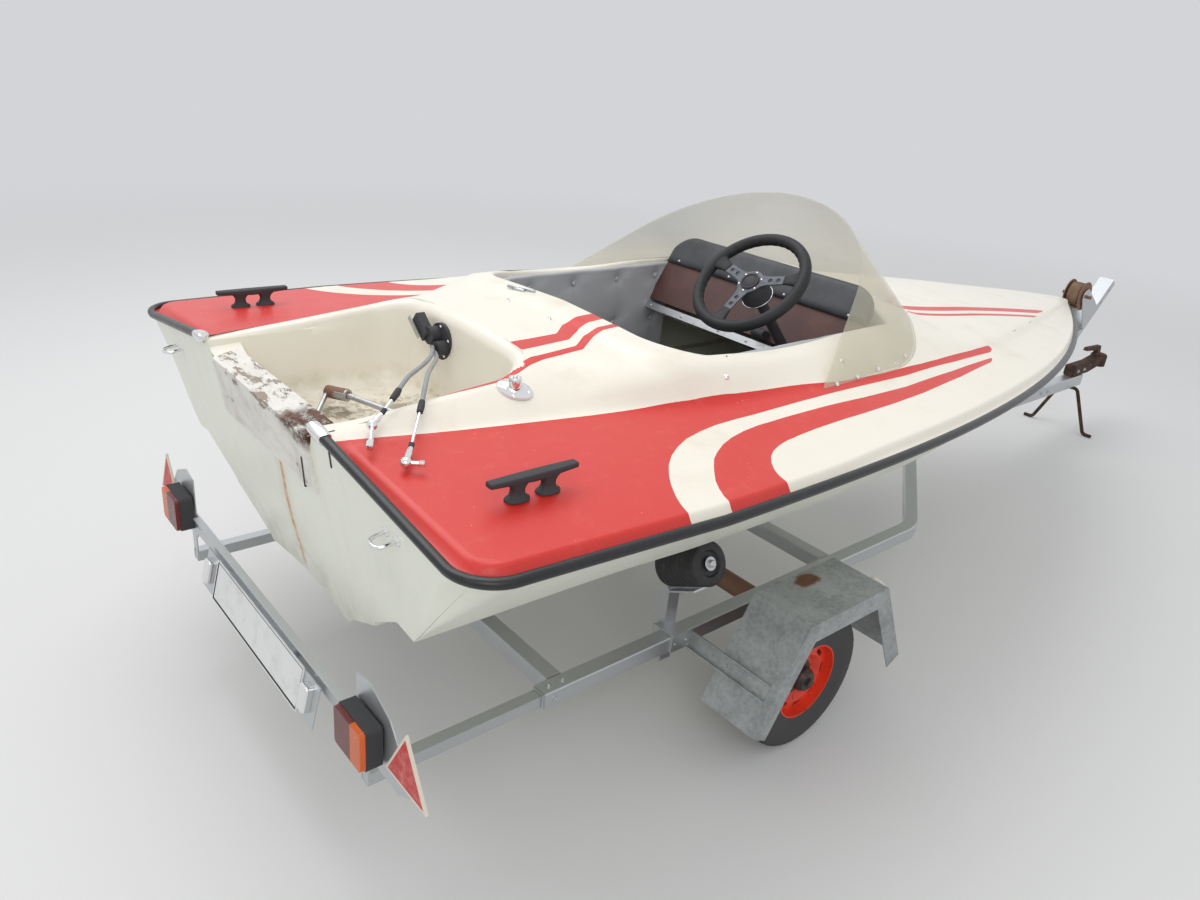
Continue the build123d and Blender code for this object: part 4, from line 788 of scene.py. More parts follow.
@dataclass(frozen=True)
class Vinyl(Finish):
    """Grained vinyl with darker clouds, and shadows round its buttons where the mesh stores them."""

    tone: Colour = paint(140, 145, 147)
    worn: Colour = paint(172, 174, 172)
    dark: Colour = paint(74, 77, 80)
    rough: float = 0.42

    def build(self, kit: Nodes) -> None:
        """Cloudy tone with grain, and painted shade in the tucks round the buttons.

        Args:
            kit: Node builder of the material.
        """
        cloud = kit.noise(11.0, 6.0, 0.66)
        colour = kit.mix(cloud.band(0.3, 0.72), self.tone, self.worn)
        # Painted shade: the value stored round the buttons darkens the tucks.
        colour = kit.mix((kit.field("tuck") * 0.85).least(1.0), colour, self.dark)
        colour = kit.mix(kit.noise(5.0, 4.0).band(0.5, 0.75) * 0.3, colour, self.dark)
        grain = kit.cells(900.0)
        kit.finish(Base_Color=colour, Roughness=self.rough + cloud * 0.14, Normal=kit.bump(grain * 0.7 + cloud, 0.0004))


@dataclass(frozen=True)
class Laminate(Finish):
    """Brown dash panel: dull covering with a fine grain and scuffs."""

    tone: Colour = paint(76, 46, 42)
    light: Colour = paint(100, 66, 58)

    def build(self, kit: Nodes) -> None:
        """Brown tone with soft wear, scuffs and a leathery grain.

        Args:
            kit: Node builder of the material.
        """
        wear = kit.noise(6.0, 6.0, 0.62)
        colour = kit.mix(wear.band(0.4, 0.75), self.tone, self.light)
        scuff = kit.noise(15.0, 6.0, 0.75).band(0.58, 0.8)
        colour = kit.mix(scuff * 0.35, colour, paint(118, 98, 90))
        kit.finish(Base_Color=colour, Roughness=0.46 + scuff * 0.25, Normal=kit.bump(kit.cells(700.0) + wear, 0.0003))


@dataclass(frozen=True)
class RimPaint(Finish):
    """Orange-red rim paint with rust spots, and a dark, greasy hub."""

    red: Colour = paint(226, 62, 34)
    deep: Colour = paint(170, 38, 24)

    def build(self, kit: Nodes) -> None:
        """Red beyond the hub's radius, dark grease inside it.

        Args:
            kit: Node builder of the material.
        """
        x, _, z = kit.axes()
        radius = ((x - AXLE_X) ** 2.0 + (z - 0.2) ** 2.0) ** 0.5
        cloud = kit.noise(30.0, 6.0, 0.7)
        colour = kit.mix(cloud.band(0.4, 0.75) * 0.5, self.red, self.deep)
        rust = kit.noise(48.0, 6.0, 0.75).band(0.60, 0.68)
        colour = kit.mix(rust * 0.8, colour, paint(84, 48, 32))
        hub = radius.band(0.050, 0.046)
        colour = kit.mix(hub, colour, kit.mix(cloud.band(0.4, 0.7), paint(40, 38, 38), paint(86, 66, 52)))
        kit.finish(Base_Color=colour, Roughness=0.42 + rust * 0.3 + hub * 0.15, Normal=kit.bump(cloud + rust, 0.0006))


@dataclass(frozen=True)
class LampGlass(Finish):
    """Ribbed lamp lens, red on the inner half and amber on the outer half."""

    red: Colour = paint(98, 12, 10)
    amber: Colour = paint(210, 92, 14)
    change: float = 0.545

    def build(self, kit: Nodes) -> None:
        """Two colours split at a distance from the middle, with upright ribs, and a faint painted glow in the same
        colours.

        Args:
            kit: Node builder of the material.
        """
        _, y, _ = kit.axes()
        outer = y.size().band(self.change - 0.001, self.change + 0.001)
        dirt = kit.noise(40.0, 5.0, 0.7).band(0.5, 0.8)
        colour = kit.mix(outer, self.red, self.amber)
        colour = kit.mix(dirt * 0.3, colour, paint(90, 60, 44))
        ribs = (y * 1400.0).wave()
        # Painted glow: a faint emission in the lens colour.
        kit.finish(
            Base_Color=colour, Roughness=0.18 + dirt * 0.3, Normal=kit.bump(ribs, 0.0004), Coat_Weight=0.15,
            Emission_Color=colour, Emission_Strength=0.05,
        )


@dataclass(frozen=True)
class TriangleGlass(Finish):
    """Red reflector triangle with a pale border, faded and scratched."""

    middle_y: float = 0.678
    middle_z: float = 0.430
    side: float = 0.150
    turn: float = -30.0

    def build(self, kit: Nodes) -> None:
        """Inside of a turned triangle is red; the border and the edge are cream.

        Args:
            kit: Node builder of the material.
        """
        _, y, z = kit.axes()
        across, up = y.size() - self.middle_y, z - self.middle_z
        inset = None
        for corner in range(3):
            angle = math.radians(self.turn + 60 + 120 * corner)
            reach = self.side / (2 * math.sqrt(3)) - (across * math.cos(angle) + up * math.sin(angle))
            inset = reach if inset is None else inset.least(reach)
        worn = kit.noise(50.0, 6.0, 0.75)
        red = kit.mix(worn.band(0.42, 0.70) * 0.75, paint(190, 42, 40), paint(224, 138, 130))
        colour = kit.mix(inset.band(0.0045, 0.006), paint(226, 214, 196), red)
        colour = kit.mix(kit.noise(22.0, 5.0).band(0.6, 0.75) * 0.5, colour, paint(150, 120, 96))
        kit.finish(Base_Color=colour, Roughness=0.38 + worn * 0.2, Normal=kit.bump(kit.cells(350.0), 0.0004))


@dataclass(frozen=True)
class PlateSheet(Finish):
    """Blank reflective plate, white with a dark border and grey dirt."""

    half_length: float = 0.260
    middle_z: float = 0.341
    half_height: float = 0.054

    def build(self, kit: Nodes) -> None:
        """White field inside a thin dark line.

        Args:
            kit: Node builder of the material.
        """
        _, y, z = kit.axes()
        inset = (self.half_length - y.size()).least(self.half_height - (z - self.middle_z).size())
        line = inset.band(0.0035, 0.0045) * inset.band(0.0085, 0.0075)
        dirt = kit.noise(20.0, 6.0, 0.7).band(0.45, 0.8)
        colour = kit.mix(dirt * 0.4, paint(224, 226, 224), paint(170, 168, 158))
        colour = kit.mix(line, colour, paint(26, 26, 28))
        kit.finish(Base_Color=colour, Roughness=0.35 + dirt * 0.2, Normal=kit.bump(kit.noise(500.0, 2.0), 0.0002))


@dataclass(frozen=True)
class Webbing(Finish):
    """Brown hairy strap."""

    tone: Colour = paint(104, 82, 62)
    light: Colour = paint(150, 124, 98)

    def build(self, kit: Nodes) -> None:
        """Coarse weave and loose hairs in two browns.

        Args:
            kit: Node builder of the material.
        """
        weave = kit.noise(420.0, 4.0, 0.8)
        cloud = kit.noise(28.0, 5.0, 0.7)
        colour = kit.mix((weave * 0.6 + cloud * 0.5).band(0.4, 0.75), self.tone, self.light)
        kit.finish(Base_Color=colour, Roughness=0.9, Normal=kit.bump(weave, 0.0015))


@dataclass(frozen=True)
class FootwellFloor(Finish):
    """Near-black cockpit floor with straw and leaves lying on it."""

    def build(self, kit: Nodes) -> None:
        """Dark floor, pale straw in thin strands.

        Args:
            kit: Node builder of the material.
        """
        strand = kit.noise(55.0, 7.0, 0.8, kit.stretched(1.0, 3.2, 1.0)).band(0.56, 0.60)
        where = kit.noise(6.0, 3.0).band(0.42, 0.56)
        colour = kit.mix(kit.noise(9.0, 5.0).band(0.4, 0.75), paint(26, 25, 24), paint(58, 52, 44))
        colour = kit.mix(strand * where, colour, paint(150, 128, 84))
        kit.finish(Base_Color=colour, Roughness=0.7, Normal=kit.bump(strand * where, 0.0015))


class Look(Enum):
    """The finishes of this boat and trailer."""

    DECK = DeckGelcoat("deck_gelcoat")
    HULL = HullGelcoat("hull_gelcoat")
    STRAKE = Clouded("strake_rubber", rough=0.22, dusty=0.16)
    BLACK = Clouded("black_plastic", paint(18, 19, 21), rough=0.30, dusty=0.15)
    ROLLER = Clouded("roller_rubber", paint(30, 30, 32), rough=0.45, dusty=0.4)
    CHROME = Metal("chrome", paint(152, 154, 157), rough=0.14, stained=0.35)
    ALUMINIUM = Metal("dull_aluminium", paint(190, 192, 194), rough=0.30, stained=0.5)
    GALVANISED = Galvanised("galvanised", paint(164, 169, 170), paint(112, 117, 118), spangle=0.3)
    GUARD = Galvanised(
        "galvanised_guard", paint(176, 180, 180), paint(142, 147, 148), rust_share=0.2, spangle=0.22,
        spot=(AXLE_X + 0.056, -0.667),
    )
    DARK_IRON = Rusty("dark_iron", paint(84, 56, 42), paint(36, 30, 28), paint(128, 76, 46))
    RUSTY = Rusty("rusty_steel")
    PAD = PeelingPad("peeling_pad")
    SCREEN = Acrylic("tinted_acrylic")
    LINING = Vinyl("grey_vinyl")
    DASH_PAD = Vinyl("black_vinyl", paint(48, 50, 54), paint(70, 72, 76), paint(26, 27, 30), 0.38)
    DASH = Laminate("brown_laminate")
    SPOKES = Clouded(
        "spoke_metal", paint(92, 95, 101), paint(62, 63, 66), 0.40, 0.5, (60.0, 5.0, 0.7), (0.45, 0.75), None,
        0.0003, 0.55,
    )
    TYRE = Clouded(
        "tyre_rubber", paint(34, 34, 35), paint(112, 100, 84), 0.72, 0.55, (26.0, 7.0, 0.72), (0.48, 0.80),
        (300.0, 4.0), 0.0005,
    )
    RIM = RimPaint("rim_paint")
    LAMP = LampGlass("lamp_glass")
    TRIANGLE = TriangleGlass("triangle_glass")
    PLATE = PlateSheet("plate_sheet")
    WEBBING = Webbing("brown_webbing")
    FLOOR = FootwellFloor("footwell_floor")
    MARKER = Clouded("white_marker", paint(226, 224, 214), paint(150, 146, 130), 0.30, 0.5)
    JACKET = Clouded("cable_jacket", paint(150, 153, 155), paint(96, 94, 90), 0.40, 0.45)
    GRIP = Clouded("grip_foam", paint(19, 20, 22), paint(58, 59, 62), 0.50, 0.2)


def cad(node: str, look: Look) -> bpy.types.Object:
    """Gives a carried-over CAD node its finish."""
    LOG.info("node %s: %s", node, look.name)
    return look.value.dress(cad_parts[node])


def piece(obj: bpy.types.Object, look: Look, body: str, slot: str, *stands_for: str) -> bpy.types.Object:
    """Dresses a new piece, lets it ride on a body and hides what it stands for.

    Args:
        obj: The piece.
        look: Its finish.
        body: CAD body that carries it.
        slot: Material slot of the record; not used.
        stands_for: CAD nodes that it replaces.

    Returns:
        The piece.
    """
    look.value.dress(obj)
    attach(obj, body)
    if stands_for:
        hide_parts(*stands_for)
    LOG.info("piece %s: %d faces", obj.name, len(obj.data.polygons) if obj.type == "MESH" else 0)
    return obj


# ---------------------------------------------------------------- lines of the hull and deck


HULL = "boat_and_trailer"
STATIONS = np.array([-1140, -574, -300, 100, 520, 950, 1400, 1850, 2250, 2580, 2789], float)
HULL_ROWS = np.array(
    [
        (470, 215, 440, 382, 538, 578, 628),
        (469, 213, 438, 381, 536, 583, 620),
        (467, 210, 438, 379, 533, 590, 612),
        (461, 206, 437, 375, 530, 592, 608),
        (455, 195, 438, 362, 532, 580, 612),
        (449, 172, 441, 332, 541, 545, 624),
        (448, 136, 450, 279, 556, 465, 642),
        (470, 95, 480, 205, 588, 350, 664),
        (525, 60, 540, 130, 628, 220, 690),
        (606, 29, 618, 60, 672, 100, 706),
        (690, 6, 694, 12, 704, 20, 712),
    ],
    float,
)
DECK_ROWS = np.array(
    [
        (338, 953, 322, 966, 286, 986, 990),
        (412, 944, 382, 974, 288, 1034, 1044),
        (478, 938, 448, 1010, 408, 1034, 1048),
        (549, 935, 470, 1004, 432, 1008, 1040),
        (575, 930, 462, 998, 330, 1084, 1095),
        (545, 910, 514, 931, 300, 968, 990),
        (440, 881, 422, 900, 280, 922, 936),
        (318, 846, 302, 863, 200, 876, 884),
        (198, 813, 188, 824, 120, 832, 835),
        (100, 784, 90, 792, 58, 795, 797),
        (28, 760, 24, 765, 16, 767, 768),
    ],
    float,
)


@dataclass
class Lines:
    """Shapes that hull, deck, strake and screen share, as functions of station and breadth."""

    cockpit: tuple[float, float, float, float] = (-292.0, 560.0, 432.0, 150.0)
    well: Point = (-615.0, 290.0, 95.0)
    corner_y: float = 754.7
    knee: float = -574.0
    stern_beam: float = 834.0
    widening: float = 35.0
    bow_beam: float = 34.0
    lip: Point = (17.0, 14.0, 20.0)
    step: Point = (13.0, 60.0, 50.0)
    crease_widths: Point = (60.0, 16.0, 16.0)

    def sheer(self, x: Array) -> Array:
        """Height of the seam: a parabola that falls towards the bow."""
        run = x - TRANSOM
        return SEAM - 0.005 * run - 8.6e-6 * run * run

    def beam(self, x: Array) -> Array:
        """Half breadth at the seam: straight aft, then one less a power of the share of the length.

        Args:
            x: Stations.

        Returns:
            Half breadths in millimetres.
        """
        aft = self.stern_beam + self.widening * (x - TRANSOM) / (self.knee - TRANSOM)
        share = np.clip((x - self.knee) / (BOW - self.knee), 0, 1)
        full = self.stern_beam + self.widening - self.bow_beam
        return np.where(x < self.knee, aft, self.bow_beam + full * np.clip(1 - share**2.33, 0, None) ** 1.05)

    def from_edge(self, x: Array, y: Array) -> Array:
        """Distance in plan to the edge of the deck, which is round at the stern corners.

        Args:
            x: Stations.
            y: Distances to port.

        Returns:
            Distances, positive inside.
        """
        centre_x = TRANSOM + CORNER
        rounded = (x < centre_x) & (np.abs(y) > self.corner_y)
        corner = CORNER - np.hypot(centre_x - x, np.abs(y) - self.corner_y)
        side = np.minimum(self.beam(x) - np.abs(y), np.where(np.abs(y) > 300, x - TRANSOM, 1e3))
        return np.where(rounded, corner, side)

    def from_cockpit(self, x: Array, y: Array) -> Array:
        """Distance in plan to the cockpit opening: that to a box with round corners.

        Args:
            x: Stations.
            y: Distances to port.

        Returns:
            Distances, positive outside the opening.
        """
        aft, fore, half, radius = self.cockpit
        dx = np.maximum(aft + radius - x, x - fore)
        dy = np.abs(y) - (half - radius)
        outside = np.hypot(np.maximum(dx, 0), np.maximum(dy, 0))
        return outside + np.minimum(np.maximum(dx, dy), 0) - radius

    def height(self, x: Array, y: Array) -> Array:
        """Height of the deck: straight runs between creases, each rounded by a hyperbola, less the lip at the edge.

        A low step runs round the back of the cockpit at a steady distance from the opening. The fields lip and step
        hold a height, where its slope starts and how far the slope runs.

        Args:
            x: Stations.
            y: Distances to port.

        Returns:
            Heights in millimetres.
        """
        rows = through(STATIONS, DECK_ROWS, x)
        hump_y, hump_z, wall_y, wall_z, rim_y, rim_z, middle = np.moveaxis(rows, -1, 0)
        edge = self.beam(x)
        narrow = np.clip(edge / self.stern_beam, 0, 1)
        soft = np.clip(edge / 600, 0.03, 1)
        t = np.sqrt(y * y + 100.0) - 10.0
        knots = [np.zeros_like(edge), rim_y, wall_y, hump_y, edge]
        levels = [middle, rim_z, wall_z, hump_z, self.sheer(x) + 19 * narrow]
        slopes = [(levels[i + 1] - levels[i]) / np.maximum(knots[i + 1] - knots[i], 1.0) for i in range(4)]
        z = levels[0] + slopes[0] * t
        for i, width in enumerate(self.crease_widths, 1):
            z = z + (slopes[i] - slopes[i - 1]) * ramp(t - knots[i], width * soft)
        drop, start, run = (size * narrow for size in self.lip)
        lip = drop * (1 - ease((self.from_edge(x, y) - start) / run))
        lip = np.where(edge - np.abs(y) < 60, lip, lip * ease((np.abs(y) - 345) / 40))
        high, start, run = self.step
        aft = ease((40 - x) / 260)
        return z - lip + high * (1 - ease((self.from_cockpit(x, y) - start) / run)) * aft - 5 * aft

    def corner_plan(self, x: Array, y: Array, edge: Array) -> tuple[Array, Array]:
        """Rounds the square stern corner: a unit square goes to a quarter disc by u times root (1 - v squared / 2).

        Args:
            x: Stations.
            y: Distances to port.
            edge: Half breadths at those stations.

        Returns:
            New stations and distances to port.
        """
        centre_x = TRANSOM + CORNER
        u = np.clip((centre_x - x) / CORNER, 0, None)
        v = np.clip((np.abs(y) - self.corner_y) / (edge - self.corner_y), 0, None)
        inside = (u > 0) & (v > 0)
        new_x = centre_x - CORNER * u * np.sqrt(np.clip(1 - v * v / 2, 0, 1))
        new_y = self.corner_y + (edge - self.corner_y) * v * np.sqrt(np.clip(1 - u * u / 2, 0, 1))
        return np.where(inside, new_x, x), np.where(inside, np.sign(y) * new_y, y)

    def rake(self, points: Array) -> Array:
        """Leans the last 200 mm on to the raked transom: x less the slope times the height over the seam.

        Args:
            points: Grid of points in millimetres.

        Returns:
            The grid, leant.
        """
        share = np.clip((-900 - points[..., 0]) / 200, 0, None)
        out = points.copy()
        out[..., 0] -= RAKE * (points[..., 2] - SEAM) * share
        return out

    def deck_point(self, x: Array, y: Array) -> Array:
        """Point of the deck over a place in plan, before the transom's rake."""
        return np.stack([x, y, self.height(x, y)], -1)

    def deck_normal(self, x: float, y: float, step: float) -> tuple[Array, Array]:
        """Point of the deck and its normal: the cross product of two short steps.

        Args:
            x: Station.
            y: Distance to port.
            step: Length of the steps in millimetres.

        Returns:
            The point and the unit normal.
        """
        z = self.height(np.array([x, x + step, x]), np.array([y, y, y + step]))
        return np.array([x, y, z[0]]), unit(np.cross([step, 0, z[1] - z[0]], [0, step, z[2] - z[0]]))


LINES = Lines()


# ---------------------------------------------------------------- hull, deck and what is on them


@dataclass
class Hull:
    """Moulded hull below the strake, with its raked transom."""

    columns: int = 260
    rows: tuple[int, ...] = (8, 2, 8, 2, 8, 3, 24)
    crest: float = 966.0
    notch: float = 905.0
    chine_half: float = 578.0

    def stations(self) -> Array:
        """Stations from transom to bow, closer together at both ends."""
        t = np.linspace(0, 1, self.columns)
        return TRANSOM + (BOW - TRANSOM) * (0.5 * t + 0.5 * ease(t))

    def knots(self, x: Array) -> list[Array]:
        """Section from keel to seam as points on straight runs: pads, spray strips, chine and side.

        Args:
            x: Stations.

        Returns:
            A line of points for each corner of the section, from keel to seam.
        """
        keel, pad_y, pad_z, strake_y, strake_z, chine_y, chine_z = np.moveaxis(through(STATIONS, HULL_ROWS, x), -1, 0)
        narrow = chine_y / self.chine_half
        pairs = [
            (np.zeros_like(x), keel),
            (pad_y, pad_z),
            (pad_y + 4 * narrow, pad_z + 14 * narrow),
            (strake_y, strake_z),
            (strake_y + 4 * narrow, strake_z + 14 * narrow),
            (chine_y - 62 * narrow, chine_z + 9 * narrow),
            (chine_y, chine_z),
            (LINES.beam(x), LINES.sheer(x)),
        ]
        return [np.stack([x, y, z], -1) for y, z in pairs]

    def radius(self, z: Array) -> Array:
        """Radius of the upright stern corner: 85 mm at the seam, 2 mm at the chine."""
        return 2 + 83 * ease((z - CHINE) / 212)

    def undercut(self, grid: Array) -> Array:
        """Leans the transom's foot forward by a tenth of the depth under the crease, and the bottom's end with it.

        Args:
            grid: Grid of points in millimetres.

        Returns:
            The grid, leant.
        """
        out = grid.copy()
        out[..., 0] += 0.10 * np.clip(632 - grid[..., 2], 0, None) * ease((-1000 - grid[..., 0]) / 100)
        return out

    def side(self, grid: Array) -> Array:
        """Draws the after end of the side round the corner, as far as 45 degrees.

        Args:
            grid: Grid of points in millimetres.

        Returns:
            The grid, with its after end bent in.
        """
        x, y, z = grid[..., 0], grid[..., 1], grid[..., 2]
        radius = self.radius(z)
        u = np.clip((TRANSOM + radius - x) / radius, 0, 1)
        out = grid.copy()
        out[..., 0] = np.where(u > 0, TRANSOM + radius - radius * u * math.sqrt(0.5), x)
        out[..., 1] = np.where(u > 0, y - radius + radius * np.sqrt(1 - u * u / 2), y)
        return out

    def transom(self) -> Array:
        """Flat transom: rulings from the bottom's section to the top edge, bent into the corners and below the crease.

        Returns:
            Grid of the port half.
        """
        s = np.linspace(0, 1, 90)
        low = np.array([k[0, 1:] for k in self.knots(np.array([TRANSOM]))][:7])
        share = low[:, 0] / low[-1, 0]
        aft = np.full_like(s, TRANSOM)
        bottom = np.stack([aft, s * low[-1, 0], np.interp(s, share, low[:, 1])], -1)
        y_top = s * LINES.stern_beam
        z_top = LINES.height(aft, y_top)
        notch = ease((y_top - 248) / 46)
        rise = STRAKE_RISE * (LINES.corner_y - y_top) / (LINES.corner_y - CAP_Y)
        behind_strake = np.where((y_top > CAP_Y) & (y_top < LINES.corner_y), SEAM - 3 + rise, 0.0)
        crest = np.where(y_top < 300, self.crest, np.maximum(z_top, behind_strake))
        z_top = self.notch + (crest - self.notch) * notch
        top = np.stack([aft, y_top, np.where(y_top > LINES.stern_beam - 0.1, SEAM, z_top)], -1)
        grid = blend_rows(bottom, top, 60)
        y, z = grid[..., 1], grid[..., 2]
        half = self.chine_half + (LINES.stern_beam - self.chine_half) * np.clip((z - CHINE) / (SEAM - CHINE), 0, 1)
        radius = self.radius(z)
        v = np.clip((y - (half - radius)) / radius, 0, 1)
        grid[..., 0] = np.where(v > 0, TRANSOM + radius - radius * np.sqrt(1 - v * v / 2), grid[..., 0])
        grid[..., 1] = np.where(v > 0, half - radius + radius * v * math.sqrt(0.5), y)
        return self.undercut(grid)

    def build(self) -> None:
        """Makes the hull as strips between crisp chines, and replaces the CAD hull."""
        x = self.stations()
        knots = self.knots(x)
        sheets = []
        strips = [self.undercut(blend_rows(a, b, rows)) for a, b, rows in zip(knots, knots[1:], self.rows)]
        strips[-1] = self.side(strips[-1])
        for strip in strips:
            sheets += Sheet.raked(strip, (600.0, 0.0, 760.0))
        sheets += Sheet.raked(self.transom(), (0.0, 0.0, 700.0))
        stem = np.array([k[-1] for k in knots])
        sheets.append(Sheet(blend_rows(stem, stem * np.array([1, -1, 1.0]), 3), (2500.0, 0.0, 720.0)))
        hull = Maker.mesh("hull_moulding", sheets, crease=12.0)
        piece(hull, Look.HULL, HULL, "gelcoat_hull", "hull_shell")


@dataclass
class Deck:
    """Deck moulding with its cockpit coaming, motor well, lips and painted stripes."""

    lip: float = 13.0
    well_lip: float = 30.0
    spans: tuple[int, ...] = (150, 40, 80, 25, 28, 26, 20, 25, 44)
    outer: tuple[float, ...] = (800.0, 560.0, -142.0, -300.0, -430.0, -560.0, -630.0, -710.0)
    red_block: Plan = (
        (1013, -532), (1012, -545), (976, -559), (720, -583), (432, -598), (210, -594), (26, -594), (-120, -588),
        (-237, -584), (-310, -586), (-368, -595), (-425, -609), (-470, -629), (-510, -652), (-545, -680), (-575, -712),
        (-600, -745), (-620, -778), (-634, -808), (-642, -837), (-646, -900), (-1300, -900), (-1300, -300),
        (-1130, -337), (-1000, -360), (-893, -380), (-720, -410), (-531, -444), (-268, -492), (-166, -513), (39, -543),
        (168, -562), (350, -572), (555, -571), (640, -567), (850, -549), (1010, -531),
    )
    red_band: Plan = (
        (933, -583), (931, -592), (895, -606), (640, -650), (395, -680), (230, -692), (80, -699), (-10, -700),
        (-101, -701), (-160, -704), (-210, -709), (-245, -717), (-278, -729), (-305, -745), (-328, -766), (-346, -790),
        (-357, -813), (-362, -840), (-364, -905), (-541, -905), (-538, -845), (-532, -822), (-520, -797), (-501, -768),
        (-480, -745), (-462, -726), (-434, -700), (-402, -680), (-365, -661), (-323, -646), (-270, -634), (-212, -628),
        (-120, -629), (-21, -634), (170, -640), (368, -640), (640, -620), (929, -586),
    )
    fore_wide: Plan = (
        (700, -226), (1000, -228), (1500, -236), (2040, -246), (1960, -268), (1890, -282), (1500, -276), (1000, -270),
        (700, -268),
    )
    fore_narrow: Plan = (
        (700, -297), (1000, -297), (1400, -303), (1845, -309), (1770, -326), (1400, -322), (1000, -318), (700, -318),
    )
    aft_wide: Plan = (
        (-588, -177), (-534, -178), (-453, -178), (-402, -134), (-290, -123), (-290, -166), (-388, -180), (-450, -222),
        (-551, -225), (-589, -226), (-588, -200),
    )
    aft_narrow: Plan = (
        (-880, -301), (-760, -299), (-700, -298), (-655, -289), (-625, -275), (-590, -263), (-458, -259), (-400, -216),
        (-290, -206), (-290, -226), (-391, -237), (-455, -282), (-563, -281), (-610, -290), (-650, -304), (-700, -313),
        (-780, -310),
    )

    def outline(self, grow: float) -> Array:
        """Inner edge of the deck in plan, from bow to transom, round both openings grown by a distance.

        Args:
            grow: Distance by which the openings are grown.

        Returns:
            Points in plan of the port half.
        """
        aft, fore, half, radius = LINES.cockpit
        front, width, corner = LINES.well
        bow, front_edge, side_edge, bend, back_edge, bridge, well_front, _, well_side = self.spans
        turn = np.linspace(0, math.pi / 2, bend + 1)[1:]

        def line(a: tuple[float, float], b: tuple[float, float], count: int) -> Array:
            """Points after a, up to b."""
            t = np.linspace(0, 1, count + 1)[1:, None]
            return np.array(a) * (1 - t) + np.array(b) * t

        arc = np.stack(
            [aft + radius - (radius + grow) * np.sin(turn), half - radius + (radius + grow) * np.cos(turn)], -1,
        )
        reach = corner + grow
        turned = np.stack([front - corner + reach * np.cos(turn), width - corner + reach * np.sin(turn)], -1)
        return np.vstack(
            [
                line((BOW + 1, 0), (fore + grow, 0), bow),
                line((fore + grow, 0), (fore + grow, half + grow), front_edge),
                line((fore + grow, half + grow), (aft + radius, half + grow), side_edge),
                arc,
                line((aft - grow, half - radius), (aft - grow, 0), back_edge),
                line((aft - grow, 0), (front + grow, 0), bridge),
                line((front + grow, 0), (front + grow, width - corner), well_front),
                turned,
                line((front - corner, width + grow), (TRANSOM, width + grow), well_side),
            ]
        )

    def outer_stations(self) -> Array:
        """Stations on the outer side that go with the points of the inner outline."""
        ends = zip((BOW + 1, *self.outer), (*self.outer, TRANSOM), self.spans)
        return np.minimum(np.concatenate([np.linspace(a, b, n + 1)[1:] for a, b, n in ends]), BOW)

    def skin(self) -> list[Array]:
        """Grids of the top: lip to crease, crease to wall top, wall top to the openings.

        Returns:
            Grids of the port half, from the edge inwards.
        """
        x = self.outer_stations()
        rows = through(STATIONS, DECK_ROWS, x)
        edge = LINES.beam(x)
        soft = np.clip(edge / 600, 0.05, 1)
        marks = [
            edge, edge - 12 * soft, edge - 36 * soft, np.maximum(rows[:, 0] + 40 * soft, 0.5 * edge),
            rows[:, 0] - 14 * soft, rows[:, 2] + 12 * soft, rows[:, 2] - 24 * soft,
        ]
        marks = [np.maximum(m, 0.02 * edge) for m in marks]
        counts = (4, 9, 30, 8, 5, 6)
        grids = []
        for first, second, count in zip(marks, marks[1:], counts):
            t = np.linspace(0, 1, count)[:, None]
            grids.append((x[None] * np.ones_like(t), first[None] * (1 - t) + second[None] * t))
        inner = self.outline(0.0)
        grown = self.outline(self.lip)
        wide = self.outline(self.well_lip)
        rim = np.where(inner[:, :1] < -450, wide, grown)
        start = np.stack([x, marks[-1]], -1)
        t = np.linspace(0, 1, 56)[:, None, None]
        plan = start[None] * (1 - t) + rim[None] * t
        grids.append((plan[..., 0], plan[..., 1]))
        out = []
        for gx, gy in grids:
            px, py = LINES.corner_plan(gx, gy, LINES.beam(gx))
            out.append(LINES.deck_point(px, py))
        return out

    def rolled(self, lip: float, first: int, last: int, drops: list[tuple[float, float]]) -> Array:
        """Lip of an opening and the wall below it.

        The lip is a quarter circle: the outline grown by lip times one less sine, dropped by lip times one less cosine.

        Args:
            lip: Radius of the quarter circle.
            first: First point of the outline that has the lip.
            last: Last point, not included.
            drops: Further rows as (inset, height), from the lip downwards.

        Returns:
            Grid of the lip and the wall.
        """
        rows = []
        for angle in np.linspace(0, math.pi / 2, 9):
            plan = self.outline(lip * (1 - math.sin(angle)))[first:last]
            z = LINES.height(plan[:, 0], plan[:, 1]) - lip * (1 - math.cos(angle))
            rows.append(np.column_stack([plan, z]))
        for inset, level in drops:
            plan = self.outline(-inset)[first:last]
            rows.append(np.column_stack([plan, np.full(len(plan), level)]))
        return np.array(rows)

    def well(self) -> list[Array]:
        """Walls and floor of the motor well: lip, drafted wall, round foot, and a floor ruled to the middle line.

        Returns:
            Walls, then floor, of the port half.
        """
        first, last = sum(self.spans[:6]) - 1, sum(self.spans)
        foot = [(4 + 14 * t, 960 - 115 * t) for t in np.linspace(0, 1, 7)]
        foot += [(18 + 42 * (1 - math.cos(a)), 842 - 42 * math.sin(a)) for a in np.linspace(0.15, math.pi / 2, 8)]
        walls = self.rolled(self.well_lip, first, last, foot)
        edge = walls[-1]
        middle = edge.copy()
        middle[:, 1] = 0
        middle[:, 0] = np.linspace(edge[0, 0], edge[-1, 0], len(edge))
        return [walls, blend_rows(edge, middle, 24)]

    def shelves(self) -> list[Array]:
        """Top of the transom beside the pad, rising to the well's crest, and the wall between pad and well.

        Returns:
            Top, then wall, of the port half.
        """
        y = np.linspace(246, 322, 22)
        x = np.linspace(TRANSOM, -1030, 8)
        gx, gy = np.meshgrid(x, y)
        crest = LINES.height(gx, np.full_like(gx, 322.0))
        z = 928 + (crest - 928) * ease((gy - 250) / 70) ** 0.8
        top = np.stack([gx, gy, z], -1)
        front = top[:, -1]
        down = front.copy()
        down[:, 2] = 795
        return [top, blend_rows(front, down, 6)]

